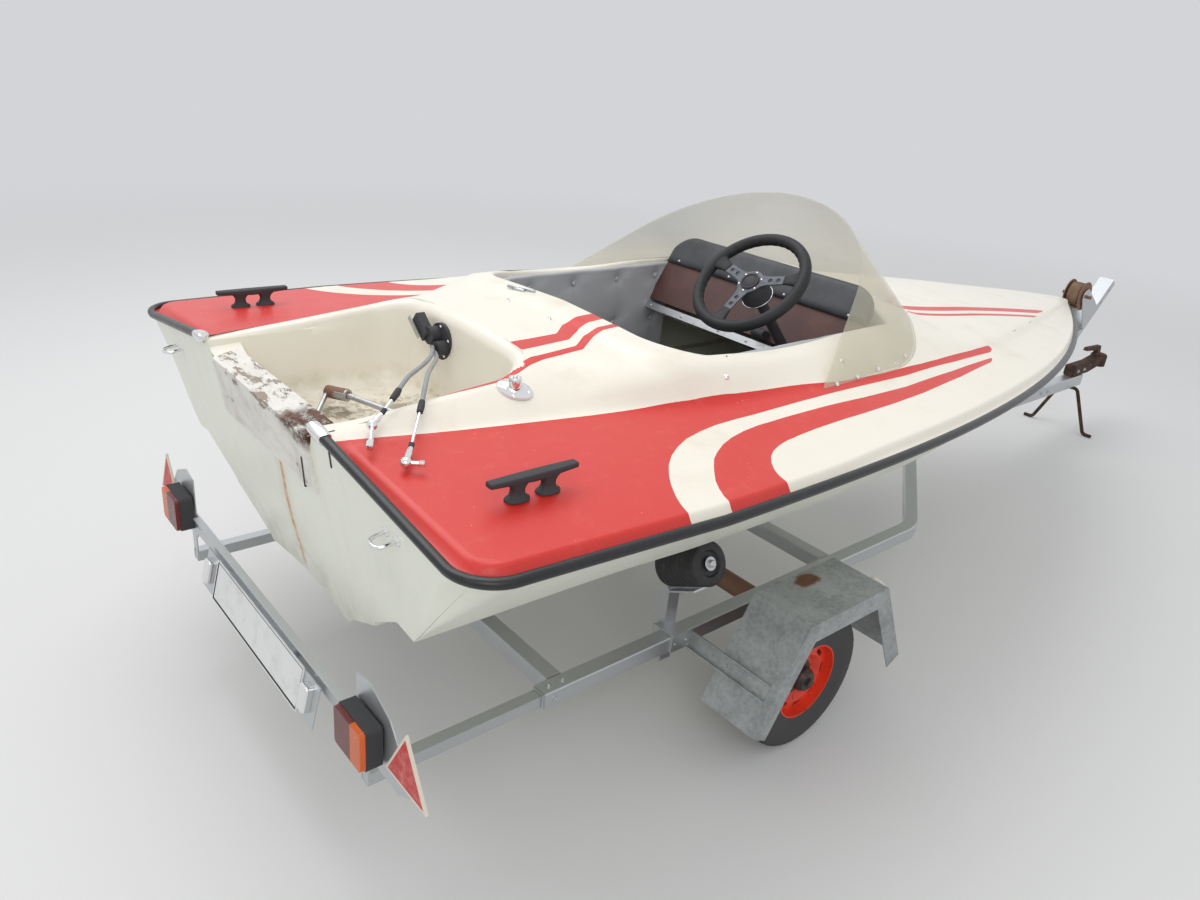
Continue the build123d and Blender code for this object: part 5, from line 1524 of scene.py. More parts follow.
    def stripes(self, data: bpy.types.Mesh) -> None:
        """Stores on each point how deep it lies inside the red areas, in millimetres.

        Args:
            data: Mesh of the deck, which takes the values.
        """
        x, y, z = ((Maker.points(data) - [AXLE_X, 0.0, 0.0]) * 1000).T
        depth = np.full(len(x), -50.0)
        for shape, both in (
            (self.red_block, True), (self.red_band, True), (self.fore_wide, False), (self.fore_narrow, False),
            (self.aft_wide, False), (self.aft_narrow, False),
        ):
            across = -np.abs(y) if both else y
            depth = np.maximum(depth, self.depth_in(np.array(shape, float), x, across))
        front, width, _ = LINES.well
        inside_well = (x < front - 6) & (np.abs(y) < width - 4) & (z < 1015)
        depth = np.where(inside_well, -50.0, depth)
        Maker.store(data, "stripe", depth)
        floor = np.where(inside_well & (z < 830), 1.0, 0.0)
        heap = np.exp(-(((x + 730) / 95) ** 2 + ((y + 20) / 170) ** 2))
        heap += 0.7 * np.exp(-(((x + 880) / 60) ** 2 + ((y - 120) / 90) ** 2))
        Maker.store(data, "straw", floor * heap)
        Maker.store(data, "low", np.where(inside_well & (z < 850), 1.0, 0.15 * (z < 935)))

    @staticmethod
    def depth_in(shape: Array, x: Array, y: Array) -> Array:
        """Signed distance to a closed outline: the least to its edges, positive where a ray crosses an odd number.

        Args:
            shape: Corners of the outline.
            x: Stations.
            y: Distances to port.

        Returns:
            Distances, positive inside.
        """
        nearest = np.full(len(x), 1e9)
        odd = np.zeros(len(x), bool)
        for a, b in zip(shape, np.roll(shape, -1, axis=0)):
            run = b - a
            t = np.clip(((x - a[0]) * run[0] + (y - a[1]) * run[1]) / max(run @ run, 1e-9), 0, 1)
            nearest = np.minimum(nearest, np.hypot(x - a[0] - t * run[0], y - a[1] - t * run[1]))
            if a[1] != b[1]:
                hit = a[0] + (y - a[1]) * run[0] / run[1]
                odd ^= ((a[1] > y) != (b[1] > y)) & (x < hit)
        return np.where(odd, nearest, -nearest)

    def build(self) -> None:
        """Makes the deck and replaces the CAD deck."""
        cockpit = self.rolled(self.lip, self.spans[0] - 1, sum(self.spans[:5]), [(1, 985), (1, 950)])
        sheets = []
        for grid in self.skin():
            sheets += Sheet.raked(grid, (800.0, 0.0, 400.0))
        sheets += Sheet.pair(cockpit, (134.0, 0.0, -3000.0))
        for grid in self.well():
            sheets += Sheet.raked(grid, (-860.0, 0.0, -4000.0))
        for grid in self.shelves():
            sheets += Sheet.raked(grid, (-1500.0, 0.0, 500.0))
        deck = Maker.mesh("deck_top", sheets, weld=0.4, crease=50.0)
        self.stripes(deck.data)
        piece(deck, Look.DECK, HULL, "gelcoat_deck", "deck_moulding")


@dataclass
class Strake:
    """Black rubber strake round the edge, with chrome caps at its ends."""

    cap_length: float = 52.0
    cap_rings: int = 12
    across_points: int = 40
    nose: float = 26.0
    profile: Plan = (
        (-1, -10), (3, -10.5), (7, -9), (9.5, -5.5), (10.5, -1), (10, 3.5), (7.5, 7), (3, 9.2), (-2, 9.8), (-6, 9),
        (-8.5, 6.5), (-9, 3.5), (-8, 1), (-3, -3),
    )

    def path(self, start_y: float) -> tuple[Array, Array, Array]:
        """Edge of the deck from the cap round the corner and along the side to the stem, with its directions.

        Args:
            start_y: Distance to port at which the path starts.

        Returns:
            Points, outward directions and upward directions.
        """
        run = np.linspace(start_y, LINES.corner_y, self.across_points)
        lift = STRAKE_RISE * (LINES.corner_y - run) / (LINES.corner_y - CAP_Y)
        across = np.column_stack([np.full_like(run, TRANSOM), run, SEAM + lift])
        turn = np.linspace(0, math.pi / 2, 20)[1:]
        centre_x = TRANSOM + CORNER
        reach = LINES.beam(np.array([centre_x]))[0] - LINES.corner_y
        x = centre_x - CORNER * np.cos(turn)
        corner = np.column_stack([x, LINES.corner_y + reach * np.sin(turn), LINES.sheer(x)])
        t = np.linspace(0, 1, 200)[1:]
        stem = BOW - self.nose
        x = centre_x + (stem - centre_x) * (1 - (1 - t) ** 1.4)
        side = np.column_stack([x, LINES.beam(x), LINES.sheer(x)])
        end = LINES.beam(np.array([stem]))[0]
        turn = np.linspace(0, math.pi / 2, 12)[1:]
        level = np.full_like(turn, LINES.sheer(np.array([BOW]))[0])
        nose = np.column_stack([stem + self.nose * np.sin(turn), end * np.cos(turn) ** 0.8, level])
        line = np.vstack([across, corner, side, nose])
        line = np.vstack([line, (line * np.array([1, -1, 1.0]))[::-1][1:]])
        ahead = unit(np.gradient(line, axis=0))
        out = unit(np.column_stack([-ahead[:, 1], ahead[:, 0], np.zeros(len(line))]))
        up = np.cross(ahead, out)
        up *= np.sign(up[:, 2:3])
        return line, out, up

    def build(self) -> None:
        """Makes the strake and the two caps."""
        line, out, up = self.path(CAP_Y + self.cap_length - 4)
        tube = Maker.along(line, np.array(self.profile), out, up)
        grid = LINES.rake(np.swapaxes(tube, 0, 1))
        closed = np.vstack([grid, grid[:1]])
        strake = Maker.shell("strake_rubber", self.lengths(closed))
        piece(strake, Look.STRAKE, HULL, "black_rubber", "rubbing_strake")
        sheets = []
        line, out, up = self.path(CAP_Y)
        run = np.linspace(0, 1, self.cap_rings)
        edge = line[: self.across_points]
        start = np.stack([np.interp(CAP_Y + self.cap_length * run, edge[:, 1], edge[:, k]) for k in range(3)], -1)
        swell = (2.2 + 1.2 * np.sin(np.pi * run))[:, None]
        ring = [
            start + (x + swell * np.sign(x)) * out[: self.cap_rings] + (y + swell * np.sign(y)) * up[: self.cap_rings]
            for x, y in self.profile
        ]
        grid = np.array([*ring, ring[0]])
        foot = grid[:, 0]
        middle = foot[:-1].mean(axis=0)
        half_way = (foot + middle) / 2 - np.array([0, 3.0, 0])
        end = np.array([foot, half_way, np.broadcast_to(middle - np.array([0, 4.0, 0]), foot.shape)])
        for mirror in (1.0, -1.0):
            for part in (grid, end):
                part = LINES.rake(part) * np.array([1, mirror, 1.0])
                sheets.append(Sheet(part, part.reshape(-1, 3).mean(axis=0)))
        caps = Maker.shell("strake_cap_shells", sheets, weld=0.1)
        piece(caps, Look.CHROME, HULL, "chrome", "strake_caps")

    @staticmethod
    def lengths(grid: Array) -> list[Sheet]:
        """The tube in short lengths, each with its own middle, so that every length is turned outwards.

        Args:
            grid: Grid of the whole tube.

        Returns:
            Surfaces of the short lengths.
        """
        cuts = np.linspace(0, grid.shape[1] - 1, 25).astype(int)
        parts = [grid[:, a : b + 1] for a, b in zip(cuts, cuts[1:])]
        return [Sheet(part, part.reshape(-1, 3).mean(axis=0)) for part in parts]


@dataclass
class Screen:
    """Wrap-round acrylic screen: rulings between two round outlines of different size."""

    foot: Point = (930.0, 578.0, 412.0)
    head: Point = (1320.0, 300.0, 290.0)
    tip: tuple[float, float] = (112.0, 948.0)
    middle: tuple[float, float] = (300.0, 0.0)
    rake: float = 35.0
    wall: float = 4.0
    screws: tuple[int, ...] = (6, 16, 27, 40, 60)

    def outline(self, level: Point) -> Array:
        """Plan of the screen at a level: straight sides and a half circle forward.

        Args:
            level: Height, radius of the half circle and its centre's station.

        Returns:
            Points from starboard round to port.
        """
        z, radius, centre = level
        turn = np.linspace(-math.pi / 2, math.pi / 2, 121)
        arc = np.column_stack([centre + radius * np.cos(turn), radius * np.sin(turn)])
        run = np.linspace(self.tip[0] - 60, centre, 40)[:-1]
        side = np.column_stack([run, np.full_like(run, -radius)])
        plan = np.vstack([side, arc, side[::-1] * np.array([1, -1.0])])
        return np.column_stack([plan, np.full(len(plan), z)])

    def build(self) -> None:
        """Makes the screen, cuts it at its sloping head, seats it on the deck and adds its screws."""
        low, high = self.outline(self.foot), self.outline(self.head)
        run = high - low
        slope = math.tan(math.radians(self.rake))
        tip_x, tip_z = self.tip
        top = (tip_z + (low[:, 0] - tip_x) * slope - low[:, 2]) / (run[:, 2] - run[:, 0] * slope)
        bottom = np.zeros(len(low))
        for _ in range(12):
            spot = low + run * bottom[:, None]
            bottom += 0.7 * (LINES.height(spot[:, 0], spot[:, 1]) + 1.0 - spot[:, 2]) / run[:, 2]
        top = np.clip(top, None, 1.0)
        keep = top > bottom + 0.004
        low, run, top, bottom = low[keep], run[keep], top[keep], bottom[keep]
        t = np.linspace(0, 1, 40)[:, None]
        share = bottom[None] * (1 - t) + top[None] * t
        grid = low[None] + run[None] * share[..., None]
        screen = Maker.mesh("screen_sheet", [Sheet(grid, (*self.middle, 900.0))], crease=60.0)
        thick = screen.modifiers.new("wall", "SOLIDIFY")
        thick.thickness, thick.offset = self.wall * 0.001, -1.0
        piece(screen, Look.SCREEN, HULL, "screen_acrylic", "windscreen")
        screws = []
        head = [[0, 0.2], [6.5, 0.2], [6.5, 1.2], [4.5, 2.8], [0, 3.2]]
        for index in (*self.screws, *(len(low) - 1 - k for k in reversed(self.screws))):
            spot = grid[3, index]
            normal = unit(np.cross(grid[3, index + 1] - spot, grid[6, index] - spot))
            normal *= np.sign(normal[:2] @ (spot[:2] - self.middle))
            screws.append(Maker.lathe(head, spot, normal, 14))
        piece(Maker.mesh("screen_screws", screws, crease=50.0), Look.CHROME, HULL, "chrome")


# ---------------------------------------------------------------- cockpit


def closed_pair(front: Array, rear: Array, behind: Point | Array) -> list[Sheet]:
    """Two grids of the same shape and the four strips between their edges.

    Args:
        front: Grid of one side.
        rear: Grid of the other side.
        behind: Point inside.

    Returns:
        The surfaces of the closed body.
    """
    rims = [np.stack([front[edge], rear[edge]]) for edge in (0, -1, np.s_[:, 0], np.s_[:, -1])]
    return [Sheet(grid, behind) for grid in (front, rear, *rims)]


@dataclass
class Cockpit:
    """Buttoned lining, bench, dash and its padded top."""

    aft: float = -292.0
    fore: float = 492.0
    half: float = 432.0
    corner: float = 150.0
    top: float = 1004.0
    bottom: float = 692.0
    button_stations: tuple[float, ...] = (-96.0, 79.0, 264.0, 440.0)
    button_rows: tuple[float, ...] = (962.0, 812.0)
    back_gap: float = 190.0
    bench: tuple[float, ...] = (-255.0, 75.0, 383.0, 636.0, 704.0)
    dash_strip: Point = (400.0, 0.0, 868.0)
    dash_height: float = 164.0
    dash_rake: float = 32.0

    def wall(self, inset: float, count: int = 420) -> tuple[Array, Array]:
        """Plan of the lining from the dash aft, round the back and forward again, and the distance along it.

        Args:
            inset: Distance inwards from the opening's wall.
            count: Points along the line.

        Returns:
            Points in plan, and the distance along the line of each.
        """
        radius = self.corner - inset
        half = self.half - inset
        turn = np.linspace(0, math.pi / 2, 60)
        centre_x = self.aft + self.corner
        side = np.column_stack([np.linspace(self.fore, centre_x, 150), np.full(150, half)])
        arc = np.column_stack([centre_x - radius * np.sin(turn), self.half - self.corner + radius * np.cos(turn)])[1:]
        back = np.column_stack([np.full(60, self.aft + inset), np.linspace(self.half - self.corner, 0, 60)])[1:]
        half_line = np.vstack([side, arc, back])
        line = np.vstack([half_line, (half_line * np.array([1, -1.0]))[::-1][1:]])
        run = np.concatenate([[0], np.cumsum(np.linalg.norm(np.diff(line, axis=0), axis=1))])
        even = np.linspace(0, run[-1], count)
        return np.column_stack([np.interp(even, run, line[:, k]) for k in range(2)]), even

    def button_spots(self, length: float) -> list[tuple[float, float]]:
        """Places of the buttons: pairs down both sides and three across the back, in each row.

        Args:
            length: Length of the lining's line.

        Returns:
            Distance along the line and height of each button.
        """
        spots = []
        for level in self.button_rows:
            for station in self.button_stations:
                spots += [(self.fore - station, level), (length - (self.fore - station), level)]
            spots += [(length / 2 + side, level) for side in (-self.back_gap, 0, self.back_gap)]
        return spots

    def lining(self) -> None:
        """Padded lining: the wall plan pushed in by a pad's swell, less a deep round tuck at each button, and painted
        shade round each button stored on the mesh.
        """
        front, along = self.wall(19.0)
        back, _ = self.wall(3.0)
        spots = self.button_spots(along[-1])
        t = np.linspace(0, 1, 90)[:, None]
        z = self.bottom + (self.top - 8 - self.bottom) * t
        s = along[None]
        swell = 7.0 * np.sin(np.pi * np.clip(t, 0.02, 0.98)) ** 0.4 * np.ones_like(s)
        tuck = np.zeros_like(swell)
        for at, level in spots:
            distance = np.hypot(s - at, z - level)
            turn = np.arctan2(z - level, s - at)
            star = 52 + 20 * np.cos(3 * turn)
            tuck += 0.55 * np.exp(-((distance / star) ** 2)) + 0.6 * np.exp(-((distance / 17) ** 2))
        swell = swell + 3.0 - 13.0 * tuck + 1.6 * np.sin(s / 57.0) * np.sin(z / 41.0)
        direction = unit(front - back)
        plan = front[None] + direction[None] * swell[..., None] * 0.95
        face = np.concatenate([plan, z[..., None] * np.ones_like(s)[..., None]], -1)
        turn = np.linspace(0, math.pi, 10)[1:]
        roll = []
        for a in turn:
            share = (1 - math.cos(a)) / 2
            row = face[-1].copy()
            row[:, :2] = face[-1, :, :2] * (1 - share) + back * share
            row[:, 2] = self.top - 8 + 8 * math.sin(a)
            roll.append(row)
        down = roll[-1].copy()
        down[:, 2] = self.bottom
        sheets = [Sheet(np.vstack([face, np.array(roll), down[None]]), (134.0, 0.0, 850.0))]
        lining = Maker.shell("lining_vinyl", sheets)
        points = Maker.points(lining.data)
        # Painted shade round each button, kept on the mesh as the value named tuck for the vinyl's colour.
        button_shade = np.zeros(len(points))
        button = [[0, 5.0], [4, 4.6], [7, 3.2], [8.5, 0.5], [8.0, -4]]
        buttons = []
        for at, level in spots:
            k = np.argmin(np.abs(along - at))
            place, inward = np.array([*front[k], level]), np.array([*direction[k], 0.0])
            gap = np.linalg.norm((points - Maker.place(place)) * 1000, axis=1)
            button_shade = np.maximum(button_shade, 0.4 * np.exp(-((gap / 60) ** 2)) + 0.6 * np.exp(-((gap / 20) ** 2)))
            buttons.append(Maker.lathe(button, place - inward * 3.0, inward, 20))
        Maker.store(lining.data, "tuck", button_shade)
        piece(lining, Look.LINING, HULL, "grey_vinyl", "cockpit_lining")
        studs = Maker.mesh("lining_buttons", buttons, crease=50.0)
        piece(studs, Look.LINING, HULL, "grey_vinyl")

    def seat(self) -> None:
        """Bench cushion: a rounded box whose top is crowned and drawn in at five seams."""
        x0, x1, half, z0, z1 = self.bench
        u = np.linspace(0, 1, 120)[None]
        v = np.linspace(-1, 1, 220)[:, None]
        px = x0 + 8 + (x1 - x0 - 16) * u * np.ones_like(v)
        py = (half - 8) * v * np.ones_like(u)
        corner = np.clip((np.abs(v) * half - (half - 90)) / 90, 0, 1)
        px = (x0 + x1) / 2 + (px - (x0 + x1) / 2) * (1 - 0.30 * corner**2.4 * np.ones_like(u))
        edge = np.minimum(np.minimum(u, 1 - u) * (x1 - x0), (1 - np.abs(v)) * half)
        crown = (z1 - 30 - z0) + 30 * (1 - np.exp(-edge / 22.0))
        seam = sum(np.exp(-(((v - k) * half / 5.0) ** 2)) for k in (-0.66, -0.33, 0.0, 0.33, 0.66))
        z = z0 + crown - 7.0 * seam * ease(edge / 30) + 1.5 * np.sin(px / 31.0 + py / 47.0)
        top = np.stack([px, py, np.minimum(z, z1)], -1)
        bottom = top.copy()
        bottom[..., 2] = z0
        cushion = Maker.shell("bench_cushion", closed_pair(top, bottom, (-90.0, 0.0, 670.0)), weld=0.2)
        piece(cushion, Look.LINING, HULL, "grey_vinyl", "seat_cushion")

    def dash_pad(self) -> None:
        """Padded dash top: an outline with round shoulders, swollen like a pillow between its edges."""
        rake = math.radians(self.dash_rake)
        right = np.array([0, -1.0, 0])
        up = np.array([math.sin(rake), 0, math.cos(rake)])
        strip = np.array(self.dash_strip)
        foot = strip + self.dash_height * up
        out = np.array([-math.cos(rake), 0, math.sin(rake)])
        edge, high, shoulder = 409.0, 106.0, 85.0
        s = np.linspace(-edge, edge, 200)
        over = np.clip(np.abs(s) - (edge - shoulder), 0, shoulder)
        top = high - shoulder + np.sqrt(np.clip(shoulder**2 - over**2, 0, None))
        t = np.linspace(0, 1, 34)[:, None]
        height = 0.5 + (top[None] - 0.5) * t
        rim = np.minimum(np.minimum(height, top[None] - height), (edge - np.abs(s))[None])
        front = 6.0 + 10.0 * (1 - np.exp(-np.clip(rim, 0, None) / 7.0)) + 0.8 * np.sin(s / 33.0)[None]
        base = foot + s[None, :, None] * right + height[..., None] * up
        face = base + front[..., None] * out
        rear = base - np.full_like(front, 9.0)[..., None] * out
        pad = Maker.shell("dash_top_pad", closed_pair(face, rear, foot + up * 50), weld=0.2)
        piece(pad, Look.DASH_PAD, HULL, "dash_vinyl", "dash_pad")
        rivets = []
        for k in (-350, -120, 110, 350):
            spot = foot + k * right + 9 * up + out * 13
            rivets.append(Maker.lathe([[0, 5.5], [3, 4.8], [5, 2.5], [5.5, -4]], spot, out, 14, -1.0))
        for k in (-380, -230, -60, 60, 200, 340):
            rivets.append(
                Maker.lathe([[0, 3.0], [3, 2.4], [5, 0.6], [5.2, -0.4]], strip + k * right + out * 3.0, out, 14)
            )
        piece(Maker.mesh("dash_screws", rivets, crease=50.0), Look.ALUMINIUM, HULL, "aluminium")

    def build(self) -> None:
        """Makes the soft pieces and dresses the CAD ones."""
        self.lining()
        self.seat()
        self.dash_pad()
        cad("cockpit_floor", Look.FLOOR)
        cad("dash_panel", Look.DASH)
        cad("dash_strip", Look.ALUMINIUM)
        cad("throttle_control", Look.BLACK)
        cad("steering_column", Look.BLACK)


@dataclass
class Helm:
    """Steering wheel: moulded grip with covered spoke ends, a drilled star of spokes, boss, cap and bolts."""

    centre: Point = (210.0, -194.0, 1104.0)
    tilt: float = 47.0
    ring: float = 156.3
    spokes: tuple[float, ...] = (21.0, 167.0, 266.0)
    holes: tuple[float, ...] = (60.0, 84.0)
    bore: float = 8.6
    boss_length: float = 62.0

    def axes(self) -> tuple[Array, Array, Array]:
        """Axis towards the driver, starboard and up the wheel."""
        a = math.radians(self.tilt)
        return np.array([-math.cos(a), 0, math.sin(a)]), np.array([0, -1.0, 0]), np.array([math.sin(a), 0, math.cos(a)])

    def star(self) -> Array:
        """Outline of the plate: a spoke's half width falls off exponentially from the hub, and arcs join the roots.

        Returns:
            Points in the plane of the wheel, in millimetres.
        """
        far = np.linspace(31.0, 144.0, 40)
        half = 14.0 + 8.0 * np.exp(-(far - 30.0) / 12.0)
        hub, spread = math.hypot(far[0], half[0]), math.atan2(half[0], far[0])
        points = []
        for spoke, after in zip(self.spokes, (*self.spokes[1:], self.spokes[0] + 360.0)):
            a = math.radians(spoke)
            out, side = np.array([math.cos(a), math.sin(a)]), np.array([-math.sin(a), math.cos(a)])
            points += [np.outer(far, out) - np.outer(half, side), (np.outer(far, out) + np.outer(half, side))[::-1]]
            arc = np.linspace(a + spread, math.radians(after) - spread, 16)[1:-1]
            points.append(hub * np.column_stack([np.cos(arc), np.sin(arc)]))
        return np.vstack(points)

    def plate(self) -> bpy.types.Object:
        """Star with round holes, filled as a flat curve, made a mesh and then set on the wheel's plane.

        Returns:
            The plate.
        """
        turn = circle(24)
        ring = np.column_stack([np.cos(turn), np.sin(turn)])
        loops = [self.star(), self.bore * ring]
        for spoke in self.spokes:
            out = np.array([math.cos(math.radians(spoke)), math.sin(math.radians(spoke))])
            loops += [7.0 * ring + reach * out for reach in self.holes]
        curve = bpy.data.curves.new("helm_star", "CURVE")
        curve.dimensions, curve.fill_mode = "2D", "BOTH"
        curve.extrude, curve.bevel_depth, curve.bevel_resolution = 0.0015, 0.0005, 1
        for loop in loops:
            spline = curve.splines.new("POLY")
            spline.points.add(len(loop) - 1)
            spline.points.foreach_set(
                "co", np.column_stack([loop * 0.001, np.zeros(len(loop)), np.ones(len(loop))]).ravel(),
            )
            spline.use_cyclic_u = True
        flat = bpy.data.objects.new("helm_star", curve)
        mesh = bpy.data.meshes.new_from_object(flat)
        mesh.name = "helm_spokes"
        bpy.data.objects.remove(flat)
        axis, right, up = self.axes()
        placed = Maker.place(np.array(self.centre) + axis * 2.0) + Maker.points(mesh) @ np.array([right, up, axis])
        mesh.vertices.foreach_set("co", placed.ravel())
        mesh.materials.clear()
        star = bpy.data.objects.new("helm_spokes", mesh)
        bpy.context.scene.collection.objects.link(star)
        return Maker.settle(star, 30.0, weld=0.01, outward=True)

    def sleeve(self, spoke: float) -> Sheet:
        """Cover of a spoke's outer end: rounded flat sections that widen along the spoke into the grip.

        Args:
            spoke: Angle of the spoke in degrees.

        Returns:
            Closed surface.
        """
        axis, right, up = self.axes()
        a = math.radians(spoke)
        out, side = math.cos(a) * right + math.sin(a) * up, math.cos(a) * up - math.sin(a) * right
        far = np.array([100.0, 100.0, 101.5, 112, 122, 132, 141, 150, 150])
        wide = np.array([0.0, 13.6, 15.4, 16.5, 18.5, 22, 28, 36, 0])
        thick = np.array([0.0, 3.0, 4.4, 5.0, 6.0, 7.8, 10.5, 13.0, 0])
        turn = circle(28)
        middle = np.array(self.centre) + axis * 2.0
        grid = middle + far[:, None, None] * out
        grid = grid + (wide[:, None] * squared(np.cos(turn), 0.6))[..., None] * side
        grid = grid + (thick[:, None] * squared(np.sin(turn), 0.8))[..., None] * axis
        return Sheet(grid, middle + out * 125.0, True)

    def build(self) -> None:
        """Grip: a ring whose section is an oval with shallow finger bumps inside. Boss and cap are turned."""
        axis, right, up = self.axes()
        middle = np.array(self.centre)
        turn = circle(240)[None]
        around = circle(25, end=True)[:, None]
        bumps = 0.8 * np.cos(36 * turn) * np.clip(-np.cos(around), 0, 1)
        reach = self.ring + (16.4 + bumps) * np.cos(around)
        lift = 16.6 * np.sin(around) * np.ones_like(turn)
        spin = np.cos(turn)[..., None] * right + np.sin(turn)[..., None] * up
        grid = middle + axis * 2.0 + reach[..., None] * spin + lift[..., None] * axis
        grip = Maker.shell("helm_grip", [Sheet(grid, middle, True), *map(self.sleeve, self.spokes)])
        piece(grip, Look.GRIP, "helm", "wheel_grip", "steering_wheel")
        piece(self.plate(), Look.SPOKES, "helm", "aluminium")
        low = -self.boss_length
        boss = [
            [self.bore, low], [43, low], [44, low + 1], [44, low + 8], [43, low + 22], [41, -28], [38, -12], [33, -0.4],
            [self.bore, -0.4], [self.bore, low],
        ]
        cap = [
            [0, 9.0], [3, 9.0], [3.4, 8.2], [18.5, 8.2], [19.4, 7.0], [21.4, 7.0], [22.4, 9.2], [25.8, 9.2],
            [27.0, 8.2], [27.2, 4.1], [0, 4.1],
        ]
        parts = [Maker.lathe(part, middle, axis, 56, inside) for part, inside in ((boss, -30.0), (cap, 6.0))]
        hub = Maker.shell("helm_boss", parts)
        piece(hub, Look.BLACK, "helm", "black_plastic")
        bolts = []
        for k in range(6):
            a = math.radians(30 + 60 * k)
            spot = middle + 33.0 * (math.cos(a) * right + math.sin(a) * up) + axis * 4.0
            bolts.append(Maker.lathe([[0, 3.0], [2.6, 2.6], [3.6, 1.0], [3.8, -0.5]], spot, axis, 14))
        bead = circle(13, end=True)
        trim = np.column_stack([44.3 + 1.4 * np.cos(bead), low + 5.0 + 1.4 * np.sin(bead)])
        bolts.append(Maker.lathe(trim, middle, axis, 56, low + 5.0))
        piece(Maker.mesh("helm_bolts", bolts, crease=50.0), Look.CHROME, "helm", "chrome")


# ---------------------------------------------------------------- fittings on the boat


def tube(path: Array, radius: float | Array, sides: int = 16) -> Array:
    """Round tube along a path: circles square to it, each turned on from the last by the least turn.

    Args:
        path: Points along the middle.
        radius: Radius, or one for each point.
        sides: Points round a circle.

    Returns:
        Grid with a row for each point of the path.
    """
    ahead = unit(np.gradient(path, axis=0))
    start = np.cross(ahead[0], [0.31, 0.17, 0.93])
    side = unit(start - ahead * (ahead @ start)[:, None])
    other = np.cross(ahead, side)
    a = circle(sides)
    width = np.broadcast_to(np.asarray(radius, float), (len(path),))
    ring = np.cos(a)[None, :, None] * side[:, None] + np.sin(a)[None, :, None] * other[:, None]
    return path[:, None] + ring * width[:, None, None]


def rounded_path(points: list[Point | Array], share: float = 0.45, count: int = 8) -> Array:
    """Corner points joined by curves: each corner becomes a parabola between points a share of the way along its runs.

    Args:
        points: Corner points.
        share: How much of a run a curve takes.
        count: Points on a curve.

    Returns:
        Points along the path.
    """
    p = np.array(points, float)
    out = [p[:1]]
    t = np.linspace(0, 1, count)[:, None]
    for before, at, after in zip(p, p[1:], p[2:]):
        a, b = at + (before - at) * share, at + (after - at) * share
        out.append(a * (1 - t) ** 2 + 2 * at * t * (1 - t) + b * t * t)
    out.append(p[-1:])
    return np.vstack(out)


def capped(path: Array, radius: float | Array, sides: int = 16) -> list[Sheet]:
    """Tube with round ends, cut into short lengths so that each faces outwards.

    Args:
        path: Points along the middle.
        radius: Radius, or one for each point.
        sides: Points round a circle.

    Returns:
        Surfaces of the tube.
    """
    width = np.broadcast_to(np.asarray(radius, float), (len(path),)).copy()
    first, last = unit(path[0] - path[1]), unit(path[-1] - path[-2])
    line = np.vstack([path[:1] + first * width[0] * 0.3, path, path[-1:] + last * width[-1] * 0.3])
    size = np.concatenate([[width[0] * 0.55], width, [width[-1] * 0.55]])
    line = np.vstack([line[:1], line, line[-1:]])
    size = np.concatenate([[0.01], size, [0.01]])
    line[0] += first * 0.02
    line[-1] += last * 0.02
    grid = tube(line, size, sides)
    return [Sheet(grid[k : k + 2], line[k : k + 2].mean(axis=0), True) for k in range(len(line) - 1)]


def box_sheets(centre: Array, axes: tuple[Array, Array, Array], half: Point) -> list[Array]:
    """Six faces of a box: the centre plus or minus each axis times its half size.

    Args:
        centre: Middle of the box.
        axes: Its three directions.
        half: Its half sizes.

    Returns:
        Six grids of two by two points.
    """
    ways = [size * np.asarray(axis) for size, axis in zip(half, axes)]
    corners = [centre + i * ways[0] + j * ways[1] + k * ways[2] for j in (-1, 1) for i in (-1, 1) for k in (-1, 1)]
    grid = np.array(corners).reshape(2, 2, 2, 3)
    return [grid[0], grid[1], grid[:, 0], grid[:, 1], grid[:, :, 0], grid[:, :, 1]]


